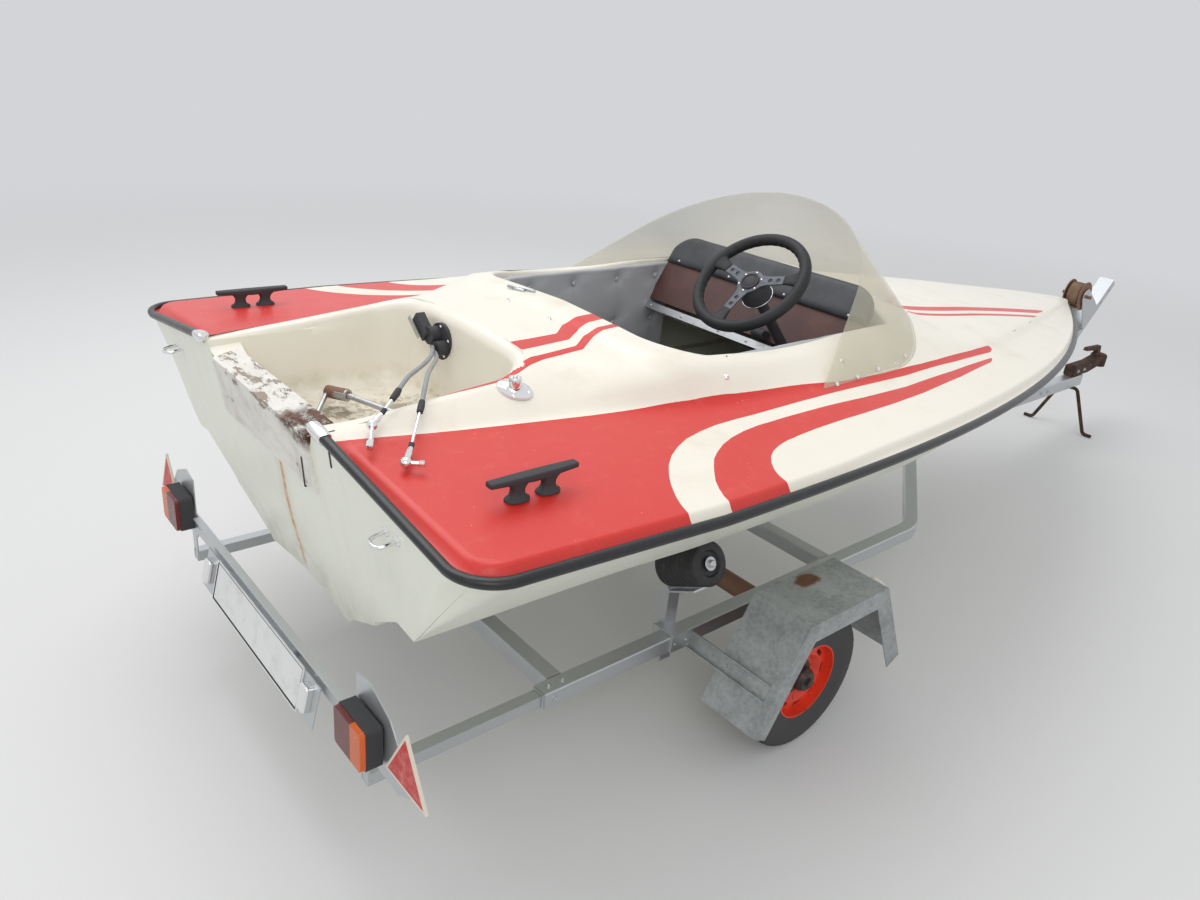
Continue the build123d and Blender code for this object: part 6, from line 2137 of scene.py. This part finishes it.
@dataclass
class Fittings:
    """Cleats, eyes, lamp socket, deck studs, cable flange and what lies in the motor well.

    Each cable has a name, a length in metres, its route and the points of its ferrule, rod, ball joint and pin.
    """

    cleat: Point = (-865.0, 658.0, 962.0)
    stern_eye: tuple[float, float] = (565.0, 858.0)
    horn_half: float = 96.0
    cables: tuple[tuple[str, float, tuple[Point, ...], tuple[Point, ...]], ...] = (
        (
            "throttle", 0.470,
            ((-656, 48, 957), (-706, -38, 974), (-770, -122, 990), (-840, -200, 1006), (-900, -262, 1018),
             (-948, -312, 1009)),
            ((-948, -312, 1009), (-994, -338, 984), (-1020, -352, 972), (-1056, -414, 958)),
        ),
        (
            "gear", 0.476,
            ((-656, 38, 948), (-700, -52, 968), (-765, -140, 988), (-826, -224, 1006), (-868, -289, 1019),
             (-914, -348, 988)),
            ((-914, -348, 988), (-990, -444, 954), (-1024, -488, 951), (-997, -507, 950)),
        ),
    )
    foot_gap: float = 34.0
    studs: Plan = ((-178, -486), (239, -517), (446, -557), (-409, -90))
    lamp_socket: tuple[float, float] = (-685.0, -340.0)

    def cleats(self) -> None:
        """Horn: an oval section swept fore and aft, flat on top. Feet: ovals that flare on to the deck."""
        x0, y0, z0 = self.cleat
        sheets = []
        turn = circle(28)
        cs, sn = np.cos(turn), np.sin(turn)
        run = np.concatenate([[-1, -1, -0.985], np.linspace(-0.96, 0.96, 30), [0.985, 1, 1]])
        end = np.concatenate([[0, 0.86, 1], np.ones(30), [1, 0.86, 0]])
        for sign in (1.0, -1.0):
            wide = 12.5 * (1 - 0.2 * run ** 2) * end
            deep = np.maximum(4.5, 10.5 - 6 * np.abs(run)) * end
            across = sign * y0 + wide[:, None] * squared(cs, 0.35)
            level = z0 + 1 + np.where(sn > 0, 6.0 * end[:, None] * squared(sn, 0.35), deep[:, None] * squared(sn, 0.5))
            rows = np.stack([np.broadcast_to((x0 + self.horn_half * run)[:, None], level.shape), across, level], -1)
            sheets.append(Sheet(rows, (x0, sign * y0, z0), True))
            for foot in (-self.foot_gap, self.foot_gap):
                ground = LINES.height(np.array([x0 + foot]), np.array([sign * y0]))[0]
                sections = (
                    (z0 - 2, 33, 12, 0.6), (z0 - 6, 24, 11.6, 0.6), (z0 - 11, 17.5, 10.8, 0.6),
                    (z0 - 18, 13.5, 10, 0.6), (z0 - 25, 13.5, 10, 0.6), (z0 - 32, 17, 11.5, 0.7),
                    (ground + 7, 22, 14.5, 0.8), (ground + 5, 25, 16.5, 0.9), (ground + 0.8, 25.5, 17, 0.9),
                )
                rows = []
                for level, long, wide, power in sections:
                    x, y = x0 + foot + long * squared(cs, power), sign * y0 + wide * squared(sn, power)
                    rows.append(np.column_stack([x, y, np.full(len(turn), level)]))
                sheets.append(Sheet(np.array(rows), (x0 + foot, sign * y0, (z0 + ground) / 2), True))
        piece(Maker.mesh("cleats_moulded", sheets, crease=60.0), Look.BLACK, HULL, "black_plastic", "mooring_cleats")

    def eyes(self) -> list[Sheet]:
        """Eyes of bent rod: two at the stern, each with two round pads, and one at the stem.

        Returns:
            Their surfaces.
        """
        out, half = np.array([-math.cos(LEAN), 0, -math.sin(LEAN)]), 20.0
        y, z = self.stern_eye
        sheets = []
        for sign in (1.0, -1.0):
            foot = np.array([TRANSOM - RAKE * (z - SEAM), sign * y, z])
            left, right = foot - np.array([0, half, 0]), foot + np.array([0, half, 0])
            corners = [left - out * 2, left + out * 38, right + out * 38, right - out * 2]
            sheets += capped(rounded_path(corners, 0.48, 14), 4.0, 14)
            sheets += [Maker.lathe([[0, 3.0], [7, 3.0], [10, 2.0], [11, 0.2]], base, out, 22) for base in (left, right)]
        stem = [(BOW - 1, 0, 703), (BOW + 32, 0, 703), (BOW + 32, 0, 727), (BOW - 1, 0, 727)]
        return sheets + capped(rounded_path(stem, 0.48, 12), 4.0, 12)

    def socket(self) -> list[Sheet]:
        """Lamp socket: ovals stacked on the deck's slope, an upright cup and four screws.

        Returns:
            Its surfaces.
        """
        centre, normal = LINES.deck_normal(*self.lamp_socket, 10)
        turn = math.radians(-40.0)
        long = np.array([math.cos(turn), math.sin(turn), 0])
        long = unit(long - normal * (long @ normal))
        wide = np.cross(normal, long)
        a = circle(56)
        oval = np.outer(np.cos(a), long) * 40 + np.outer(np.sin(a), wide) * 27
        steps = ((1.0, 0.4), (1.0, 2.6), (0.96, 4.4), (0.6, 6.4), (0.42, 9.0), (0.40, 10.0), (0.0, 10.0))
        rows = np.array([centre + oval * share + normal * lift for share, lift in steps])
        cup = np.array([[13.5, 6], [14.5, 12], [14.5, 27], [13.6, 29], [10.6, 29], [10.0, 28], [10.0, 8], [0, 7.5]])
        up = np.array([0, 0, 1.0])
        grid = Maker.turned(cup, centre, up, 40)
        outside, inside = Sheet(grid[:5], centre + up * 15, True), Sheet(grid[4:], centre - up * 285, True)
        sheets = [Sheet(rows, centre, True), outside, inside]
        for along, across in ((31, 0), (-31, 0), (0, 21), (0, -21)):
            spot = centre + long * along + wide * across + normal * 4.0
            sheets.append(Maker.lathe([[0, 3.0], [3, 2.4], [4.6, 0.4]], spot, normal, 14))
        return sheets

    def cover_studs(self) -> list[Sheet]:
        """Studs of the cover, square to the deck on both sides.

        Returns:
            Their surfaces.
        """
        stud = [[0, 7.0], [2.6, 6.6], [3.6, 5.0], [3.0, 3.0], [6.6, 1.6], [7.4, 0.0]]
        sheets = []
        for x, y in self.studs:
            spot, normal = LINES.deck_normal(x, y, 8)
            for mirror in ([1, 1, 1.0], [1, -1, 1.0]):
                sheets.append(Maker.lathe(stud, spot * mirror, normal * mirror, 20))
        return sheets

    def chrome(self) -> None:
        """Puts the chrome parts together, and makes the cover's latch and the plate at the flange."""
        chrome = Maker.mesh("chrome_parts", self.eyes() + self.socket() + self.cover_studs(), crease=45.0)
        piece(chrome, Look.CHROME, HULL, "chrome", "chrome_fittings")
        z = LINES.height(np.array([-338.0]), np.array([130.0]))[0]
        latch = capped(rounded_path([(-358, 166, z + 4), (-340, 130, z + 6), (-322, 92, z + 5)], 0.3, 5), 4.0, 10)
        latch += capped(np.array([(-352, 150, z + 1.0), (-344, 112, z + 1.5)]), 6.5, 10)
        tilt = math.radians(38)
        across, up = np.array([0, math.cos(tilt), math.sin(tilt)]), np.array([0, -math.sin(tilt), math.cos(tilt)])
        spot = np.array([-662.3, 128.0, 986.0])
        latch += [Sheet(grid, spot) for grid in box_sheets(spot, (across, up, np.array([1.0, 0, 0])), (31, 7, 1.5))]
        piece(Maker.mesh("cover_latch", latch, crease=60.0), Look.ALUMINIUM, HULL, "aluminium")

    def controls(self) -> None:
        """Two free control cables from the flange, and their ferrules, rods, ball joints and pins."""
        ball = [[11 * math.sin(a), -11 * math.cos(a)] for a in np.linspace(0, math.pi, 11)]
        bolts = []
        for name, length, route, fitting in self.cables:
            curve = bpy.data.curves.new(f"{name}_cable_line", "CURVE")
            curve.dimensions = "3D"
            curve.bevel_depth, curve.bevel_resolution, curve.resolution_u = 0.005, 6, 24
            curve.use_fill_caps = True
            spline = curve.splines.new("NURBS")
            spline.points.add(len(route) - 1)
            for point, place in zip(spline.points, Maker.place(np.array(route, float))):
                point.co = (*place, 1.0)
            spline.order_u = 3
            spline.use_endpoint_u = True
            cable = bpy.data.objects.new(f"{name}_cable_jacket", curve)
            bpy.context.scene.collection.objects.link(cable)
            piece(cable, Look.JACKET, HULL, "cable_grey", f"{name}_cable")
            end = np.array(fitting, float)
            back, tail = unit(end[0] - end[1]), unit(np.array(route[-2], float) - end[0])
            dark = capped(
                np.vstack([end[0] + tail * 16, end[0] + tail * 2, end[0] - back * 16]), np.array([6.4, 7.2, 6.4]), 14,
            )
            dark += capped(np.vstack([end[1] + back * 14, end[1] + back * 2]), 5.6, 6)
            bright = capped(np.vstack([end[0] - back * 14, end[1]]), 3.0, 12)
            reach = end[3] - end[2]
            bolts += capped(np.vstack([end[1], end[1:3].mean(axis=0), end[2]]), np.array([5.0, 7.0, 5.0]), 14)
            bolts.append(Maker.lathe(ball, end[2], reach, 22))
            bolts += capped(np.vstack([end[2] + reach * 0.12, end[2] + reach * 0.75]), 4.4, 12)
            bolts += capped(np.vstack([end[2] + reach * 0.74, end[3]]), 7.5, 6)
            ferrule = piece(
                Maker.mesh(f"{name}_ferrule", dark, weld=0.02, crease=45.0), Look.BLACK, HULL, "black_plastic",
            )
            rod = piece(Maker.mesh(f"{name}_rod", bright, weld=0.02, crease=45.0), Look.CHROME, HULL, "chrome")
            tuple(Maker.place(np.array(route[0], float)))
        piece(Maker.mesh("cable_joints", bolts, weld=0.02, crease=45.0), Look.CHROME, HULL, "chrome", "cable_ends")

    def flange(self) -> None:
        """Screws of the cable flange, and the steering link with its boot."""
        cad("cable_flange", Look.BLACK)
        cad("steering_link", Look.ALUMINIUM)
        screws = []
        for k in range(5):
            a = math.radians(20 + 72 * k)
            spot = np.array([-624.3, 66 + 38 * math.cos(a), 962 + 38 * math.sin(a)])
            screws.append(Maker.lathe([[0, 3.0], [3, 2.4], [4.4, 0.3]], spot, (-1.0, 0, 0), 12))
        piece(Maker.mesh("flange_screws", screws, crease=50.0), Look.CHROME, HULL, "chrome")
        boot = capped(rounded_path([(-851, 112, 842), (-862, 136, 840), (-876, 166, 838)], 0.4, 5), 15.6, 18)
        piece(Maker.mesh("link_boot", boot, crease=60.0), Look.RUSTY, HULL, "rusty_steel")

    def build(self) -> None:
        """Makes every fitting."""
        self.cleats()
        self.chrome()
        self.controls()
        self.flange()
        cad("motor_pad", Look.PAD)
        # Painted shade: dark rods laid in two slots on the transom and its pad stand for the shadow inside them.
        slot_shadows = []
        for low, high in (((-196, 792), (-214, 868)), ((-347, 900), (-352, 936))):
            ends = [(TRANSOM - RAKE * (z - SEAM) - (7 if y > -250 else -1.0), y, z) for y, z in (low, high)]
            slot_shadows += capped(np.array(ends, float), 3.2, 10)
        piece(Maker.mesh("pad_slot_shadows", slot_shadows, crease=60.0), Look.BLACK, HULL, "black_plastic")


# ---------------------------------------------------------------- trailer


@dataclass
class Trailer:
    """Galvanised frame, axle, rollers, mudguards, coupling and stand."""

    side_roller: Point = (-245.0, 583.0, 541.0)
    side_size: tuple[float, float] = (57.4, 145.0)
    keel_size: tuple[float, float] = (40.5, 120.0)
    keel_rollers: Plan = ((-627.5, 414.0), (420.5, 404.0))
    clamp_bolts: tuple[float, ...] = (-655, 410, -230, -270)
    rail_bolts: Plan = ((-660, 7), (-620, 7), (130, 8), (170, 8))
    bar_bolts: tuple[Point, ...] = ((2830, 30.2, 272), (2900, 30.2, 272), (3215, 29.2, 333), (3290, 29.2, 333))

    @staticmethod
    def worn(run: Array) -> Array:
        """How much of a roller's radius is gone near its two ends, falling off exponentially."""
        return 5 * np.exp(-run / 2.5) + 5 * np.exp(-(run[-1] - run) / 2.5)

    def rollers(self) -> None:
        """Rubber rollers: a turned profile with ribs, and pale pin ends."""
        rubber, pins = [], []
        tilt = math.radians(28)
        x, y, z = self.side_roller
        size, length = self.side_size
        run = np.linspace(0, length, 90)
        ribs = 1.2 * (np.cos(run / length * FULL * 9) > 0.7)
        tread = np.column_stack([size - ribs - self.worn(run), run])
        near = [[10.5, 6], [30, 6], [34, 0.5]]
        body = np.vstack([near, tread, [34, length - 0.5], [30, length - 6], [10.5, length - 6]])
        for sign in (1.0, -1.0):
            face = np.array([x, sign * y, z])
            axis = np.array([0, -sign * math.cos(tilt), -math.sin(tilt)])
            rubber.append(Maker.lathe(body, face, axis, 64, 72))
            pins.append(Maker.lathe([[0, 9], [7, 9], [9, 7], [9.8, 0], [9.8, -14]], face - axis, -axis, 24))
            pins.append(Maker.lathe([[9.8, 1.5], [17, 1.5], [18, 0.5], [18, -1.5]], face - axis, -axis, 28, -8))
        size, length = self.keel_size
        half = length / 2
        run = np.linspace(0, length, 60)
        tread = np.column_stack([size + 4.2 * (np.abs(run - half) / half) ** 2 - self.worn(run), run])
        body = np.vstack([[10.5, 2], [24, 0.5], tread, [24, length - 0.5], [10.5, length - 2]])
        for x, z in self.keel_rollers:
            rubber.append(Maker.lathe(body, (x, -half, z), (0, 1.0, 0), 56, half))
        piece(Maker.mesh("rollers_rubber", rubber, crease=40.0), Look.ROLLER, HULL, "black_rubber", "rollers")
        piece(Maker.mesh("roller_pins", pins, crease=40.0), Look.ALUMINIUM, HULL, "aluminium")

    def bolts(self) -> None:
        """Nuts on the clamps, channels, sleeves and post."""
        sheets = []
        for sign in (1.0, -1.0):
            for x in self.clamp_bolts:
                sheets += Maker.bolt((x, sign * 527.2, 279.5), (0, sign, 0), 8)
            for x, size in self.rail_bolts:
                sheets += Maker.bolt((x, sign * 505, 302.2), (0, 0, 1), size)
        for x, y, z in self.bar_bolts:
            for sign in (1.0, -1.0):
                sheets += Maker.bolt((x, sign * y, z), (0, sign, 0), 9)
        piece(Maker.mesh("frame_bolts", sheets, crease=35.0), Look.GALVANISED, HULL, "galvanised")

    def build(self) -> None:
        """Dresses the frame and adds rollers and bolts."""
        for node in ("rail_port", "rail_starboard", "drawbar", "cross_members", "roller_brackets", "winch_post"):
            cad(node, Look.GALVANISED)
        cad("mudguards", Look.GUARD)
        cad("axle", Look.RUSTY)
        for node in ("coupling", "front_stand"):
            cad(node, Look.DARK_IRON)
        cad("front_markers", Look.MARKER)
        self.rollers()
        self.bolts()


@dataclass
class Wheels:
    """Tyres with tread and side ribs, over the CAD rims."""

    middle: float = 730.0
    radius: float = 200.0

    def tyre(self, sign: float) -> Array:
        """Section turned round the axle: round shoulders, three grooves, and blocks cut by a wave round the tread.

        Args:
            sign: 1 to port, -1 to starboard.

        Returns:
            Grid of the tyre.
        """
        part = np.array(
            [
                [39, 108.5], [40.5, 112], [41, 119], [44, 128], [47.6, 142], [49.2, 155], [48.4, 170], [45, 184],
                [41, 191], [36, 195.5], [30, 198.4], [25, 199.4], [19.5, 199.9], [18.8, 195.8], [15.2, 195.8],
                [14.4, 199.9], [8, 200], [2.4, 200], [1.8, 195.8],
            ]
        )
        whole = np.vstack([part, (part * np.array([-1, 1.0]))[::-1]])
        turn = circle(300)
        blocks = ease((np.sin(turn * 50) - 0.55) / 0.3)
        depth = np.interp(np.abs(whole[:, 0]), [0, 24, 27, 40, 44, 46], [0, 0, 1, 1, 0.4, 0]) * (whole[:, 1] > 180)
        ribs = 0.7 * np.interp(whole[:, 1], [120, 128, 132, 150, 156, 160], [0, 0, 1, 1, 0, 0])
        radius = whole[:, 1][:, None] - 3.2 * depth[:, None] * blocks[None]
        across = whole[:, 0][:, None] + np.sign(whole[:, 0])[:, None] * ribs[:, None] * (np.sin(turn * 120) > 0)[None]
        return np.stack([radius * np.cos(turn), sign * (self.middle + across), self.radius + radius * np.sin(turn)], -1)

    def build(self) -> None:
        """Makes both tyres and dresses the rims."""
        for name, sign in (("port", 1.0), ("starboard", -1.0)):
            ring = Sheet(self.tyre(sign), (0.0, sign * self.middle, self.radius), True)
            tyre = Maker.shell(f"tread_{name}", [ring], crease=35.0, close=False)
            piece(tyre, Look.TYRE, f"wheel_{name}", "tyre_rubber", f"tyre_{name}")
            cad(f"rim_{name}", Look.RIM)


@dataclass
class LampBoard:
    """Sliding board with lamps, reflectors and a blank plate."""

    body: str = "lamp_board"
    bolt_places: tuple[float, ...] = (-420.0, -300.0, 300.0, 420.0)
    triangle: Point = (-1124.5, 678.0, 430.0)
    side: float = 150.0
    thick: float = 6.0

    def build(self) -> None:
        """Dresses the board, makes its triangles and adds its bolts."""
        cad("light_board", Look.GALVANISED)
        self.triangles()
        cad("lamp_housings", Look.BLACK)
        cad("lamp_lenses", Look.LAMP)
        cad("number_plate", Look.PLATE)
        cad("plate_lights", Look.CHROME)
        screws = []
        for y in self.bolt_places:
            screws += Maker.bolt((-1125.0, y, 402.0), (-1, 0, 0), 6)
        piece(Maker.mesh("board_screws", screws, crease=35.0), Look.GALVANISED, self.body, "galvanised")

    def triangles(self) -> None:
        """Whole triangles that point up: three corners on a circle of side over root three."""
        x0, y0, z0 = self.triangle
        reach = self.side / math.sqrt(3)
        turns = [math.radians(corner) for corner in (90, 210, -30)]
        levels = (x0 - self.thick / 2, x0 + self.thick / 2)
        sheets = []
        for sign in (1.0, -1.0):
            corners = [(sign * (y0 + reach * math.cos(a)), z0 + reach * math.sin(a)) for a in turns]
            first, second, third = corners
            middle = (x0, sign * y0, z0)
            for x in levels:
                face = np.array([[(x, *first), (x, *second)], [(x, *first), (x, *third)]])
                sheets.append(Sheet(face, middle))
            sheets.append(Sheet(np.array([[(x, *corner) for corner in (*corners, first)] for x in levels]), middle))
        faces = Maker.mesh("reflector_faces", sheets, crease=30.0)
        piece(faces, Look.TRIANGLE, self.body, "reflector_red", "reflectors")


@dataclass
class Winch:
    """Brown webbing wound on the winch, and its run to the stem."""

    centre: Point = (2965.0, 0.0, 765.0)
    half_width: float = 26.5
    core: float = 29.0
    shoulder: float = 58.0
    full: float = 60.6
    strap_half: float = 25.5
    strap_thick: float = 3.5

    def build(self) -> None:
        """Coil: turned layers of webbing with frayed edges. Strap: a thin band with a slight ripple across."""
        cad("winch_drum", Look.RUSTY)
        wide = self.half_width
        run = np.linspace(-wide, wide, 40)
        radius = self.full - 2.0 * np.abs(run / wide) ** 6 + 0.5 * np.sin(run * 1.7)
        out = np.linspace(self.core, self.shoulder, 14)
        fray = wide + 0.3 * (np.arange(len(out)) % 2)
        foot = [self.core - 2, wide]
        near = np.vstack([foot, np.column_stack([out, fray])]) * np.array([1, -1.0])
        profile = np.vstack([near, np.column_stack([radius, run]), np.column_stack([out[::-1], fray]), foot])
        grid = Maker.turned(profile, self.centre, (0, 1.0, 0), 90)
        turn = circle(90)
        ripple = 1 + 0.008 * np.sin(turn * 5 + 1) + 0.006 * np.sin(turn * 9)
        centre = np.array(self.centre)
        grid = centre + (grid - centre) * np.stack([ripple, np.ones_like(ripple), ripple], -1)
        coil = Maker.mesh("webbing_coil", [Sheet(grid, self.centre, True)], crease=50.0)
        piece(coil, Look.WEBBING, "winch", "winch_strap_brown", "strap_coil")
        low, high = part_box("winch_strap")
        x0, x1 = (low.x - AXLE_X) * 1000, (high.x - AXLE_X) * 1000
        z0, z1 = low.z * 1000 + 2.5, high.z * 1000 - 2.5
        t, y = np.linspace(0, 1, 60)[:, None], np.linspace(-self.strap_half, self.strap_half, 14)[None]
        level = z1 + (z0 - z1) * t + 0.4 * np.sin(y / 4.0)
        grid = np.stack(np.broadcast_arrays(x0 + (x1 - x0) * t, y, level), -1)
        strap = Maker.mesh("webbing_strap", [Sheet(grid, (2880.0, 0.0, 100.0))], crease=50.0)
        thick = strap.modifiers.new("wall", "SOLIDIFY")
        thick.thickness, thick.offset = self.strap_thick * 0.001, 0.0
        piece(strap, Look.WEBBING, HULL, "winch_strap_brown", "winch_strap")


# ---------------------------------------------------------------- studio


@dataclass
class Studio:
    """Camera of the photograph, pale floor and soft light."""

    place: Point = (-1.749, -1.796, 1.660)
    heading: float = 47.697
    dip: float = 23.928
    roll: float = -5.805
    lens: float = 27.054
    sky: float = 0.68
    mirrored_sky: float = 0.88
    tint: Point = (0.96, 0.97, 1.0)

    def camera(self) -> None:
        """Camera axes: forward from heading and dip, then turned by the roll."""
        a, e, r = (math.radians(v) for v in (self.heading, self.dip, self.roll))
        ahead = Vector((math.cos(a) * math.cos(e), math.sin(a) * math.cos(e), -math.sin(e)))
        right = ahead.cross(Vector((0, 0, 1))).normalized()
        down = ahead.cross(right)
        right, down = math.cos(r) * right + math.sin(r) * down, -math.sin(r) * right + math.cos(r) * down
        data = bpy.data.cameras.new("photo_camera")
        data.sensor_width, data.lens = 36.0, self.lens
        data.clip_end = 100.0
        camera = bpy.data.objects.new("photo_camera", data)
        axes = Matrix((right, -down, -ahead)).transposed().to_4x4()
        camera.matrix_world = Matrix.Translation(Vector(self.place) + Vector((AXLE_X, 0, 0))) @ axes
        bpy.context.scene.collection.objects.link(camera)
        bpy.context.scene.camera = camera

    def light(self) -> None:
        """Pale world, a broad lamp overhead and a softer one behind the camera."""
        world = bpy.data.worlds.new("sky")
        kit = Nodes(world)
        paths = kit.node("ShaderNodeLightPath").outputs
        mirrored = Value(kit, paths["Is Glossy Ray"]).most(paths["Is Transmission Ray"])
        strength = kit.node(
            "ShaderNodeMapRange", inputs={"Value": mirrored, "To Min": self.sky, "To Max": self.mirrored_sky},
        )
        back = kit.node("ShaderNodeBackground", inputs={"Color": self.tint, "Strength": strength.outputs[0]})
        kit.node("ShaderNodeOutputWorld", inputs={"Surface": back.outputs[0]})
        bpy.context.scene.world = world
        for name, place, target, size, power in (
            ("overhead", (-1.5, 2.0, 5.5), (0.0, 0.0, 0.6), 4.5, 150.0),
            ("behind", (-5.0, -4.5, 4.2), (-0.8, 0.0, 0.6), 3.5, 85.0),
        ):
            data = bpy.data.lights.new(name, "AREA")
            data.size, data.energy = size, power
            lamp = bpy.data.objects.new(name, data)
            lamp.location = place
            lamp.rotation_euler = (Vector(target) - Vector(place)).to_track_quat("-Z", "Y").to_euler()
            bpy.context.scene.collection.objects.link(lamp)

    def floor(self) -> None:
        """Large pale floor."""
        data = bpy.data.meshes.new("studio_floor")
        data.from_pydata([(-30, -30, 0), (30, -30, 0), (30, 30, 0), (-30, 30, 0)], [], [(0, 1, 2, 3)])
        floor = bpy.data.objects.new("studio_floor", data)
        bpy.context.scene.collection.objects.link(floor)
        made = bpy.data.materials.new("studio_floor")
        kit = Nodes(made)
        x, y, _ = kit.axes()
        far = ((x * x + y * y) ** 0.5).band(2.6, 9.0)
        near = kit.node("ShaderNodeBsdfPrincipled", inputs={"Base Color": (0.74, 0.74, 0.73), "Roughness": 0.9})
        glow = kit.node("ShaderNodeEmission", inputs={"Color": self.tint, "Strength": self.sky})
        both = kit.node("ShaderNodeMixShader", inputs={0: far, 1: near.outputs[0], 2: glow.outputs[0]})
        kit.node("ShaderNodeOutputMaterial", inputs={"Surface": both.outputs[0]})
        data.materials.append(made)

    def build(self) -> None:
        """Sets the view and makes camera, lights and floor."""
        bpy.context.scene.view_settings.view_transform = "Standard"
        self.camera()
        self.light()
        self.floor()


def main() -> None:
    """Builds the studio and every sub-assembly in turn."""
    logging.basicConfig(level=logging.INFO, format="%(name)s %(message)s")
    for part in (
        Studio(), Hull(), Deck(), Strake(), Screen(), Cockpit(), Helm(), Fittings(), Trailer(), Wheels(), LampBoard(),
        Winch(),
    ):
        LOG.info("building %s", type(part).__name__)
        part.build()


if __name__ == "__main__":
    main()
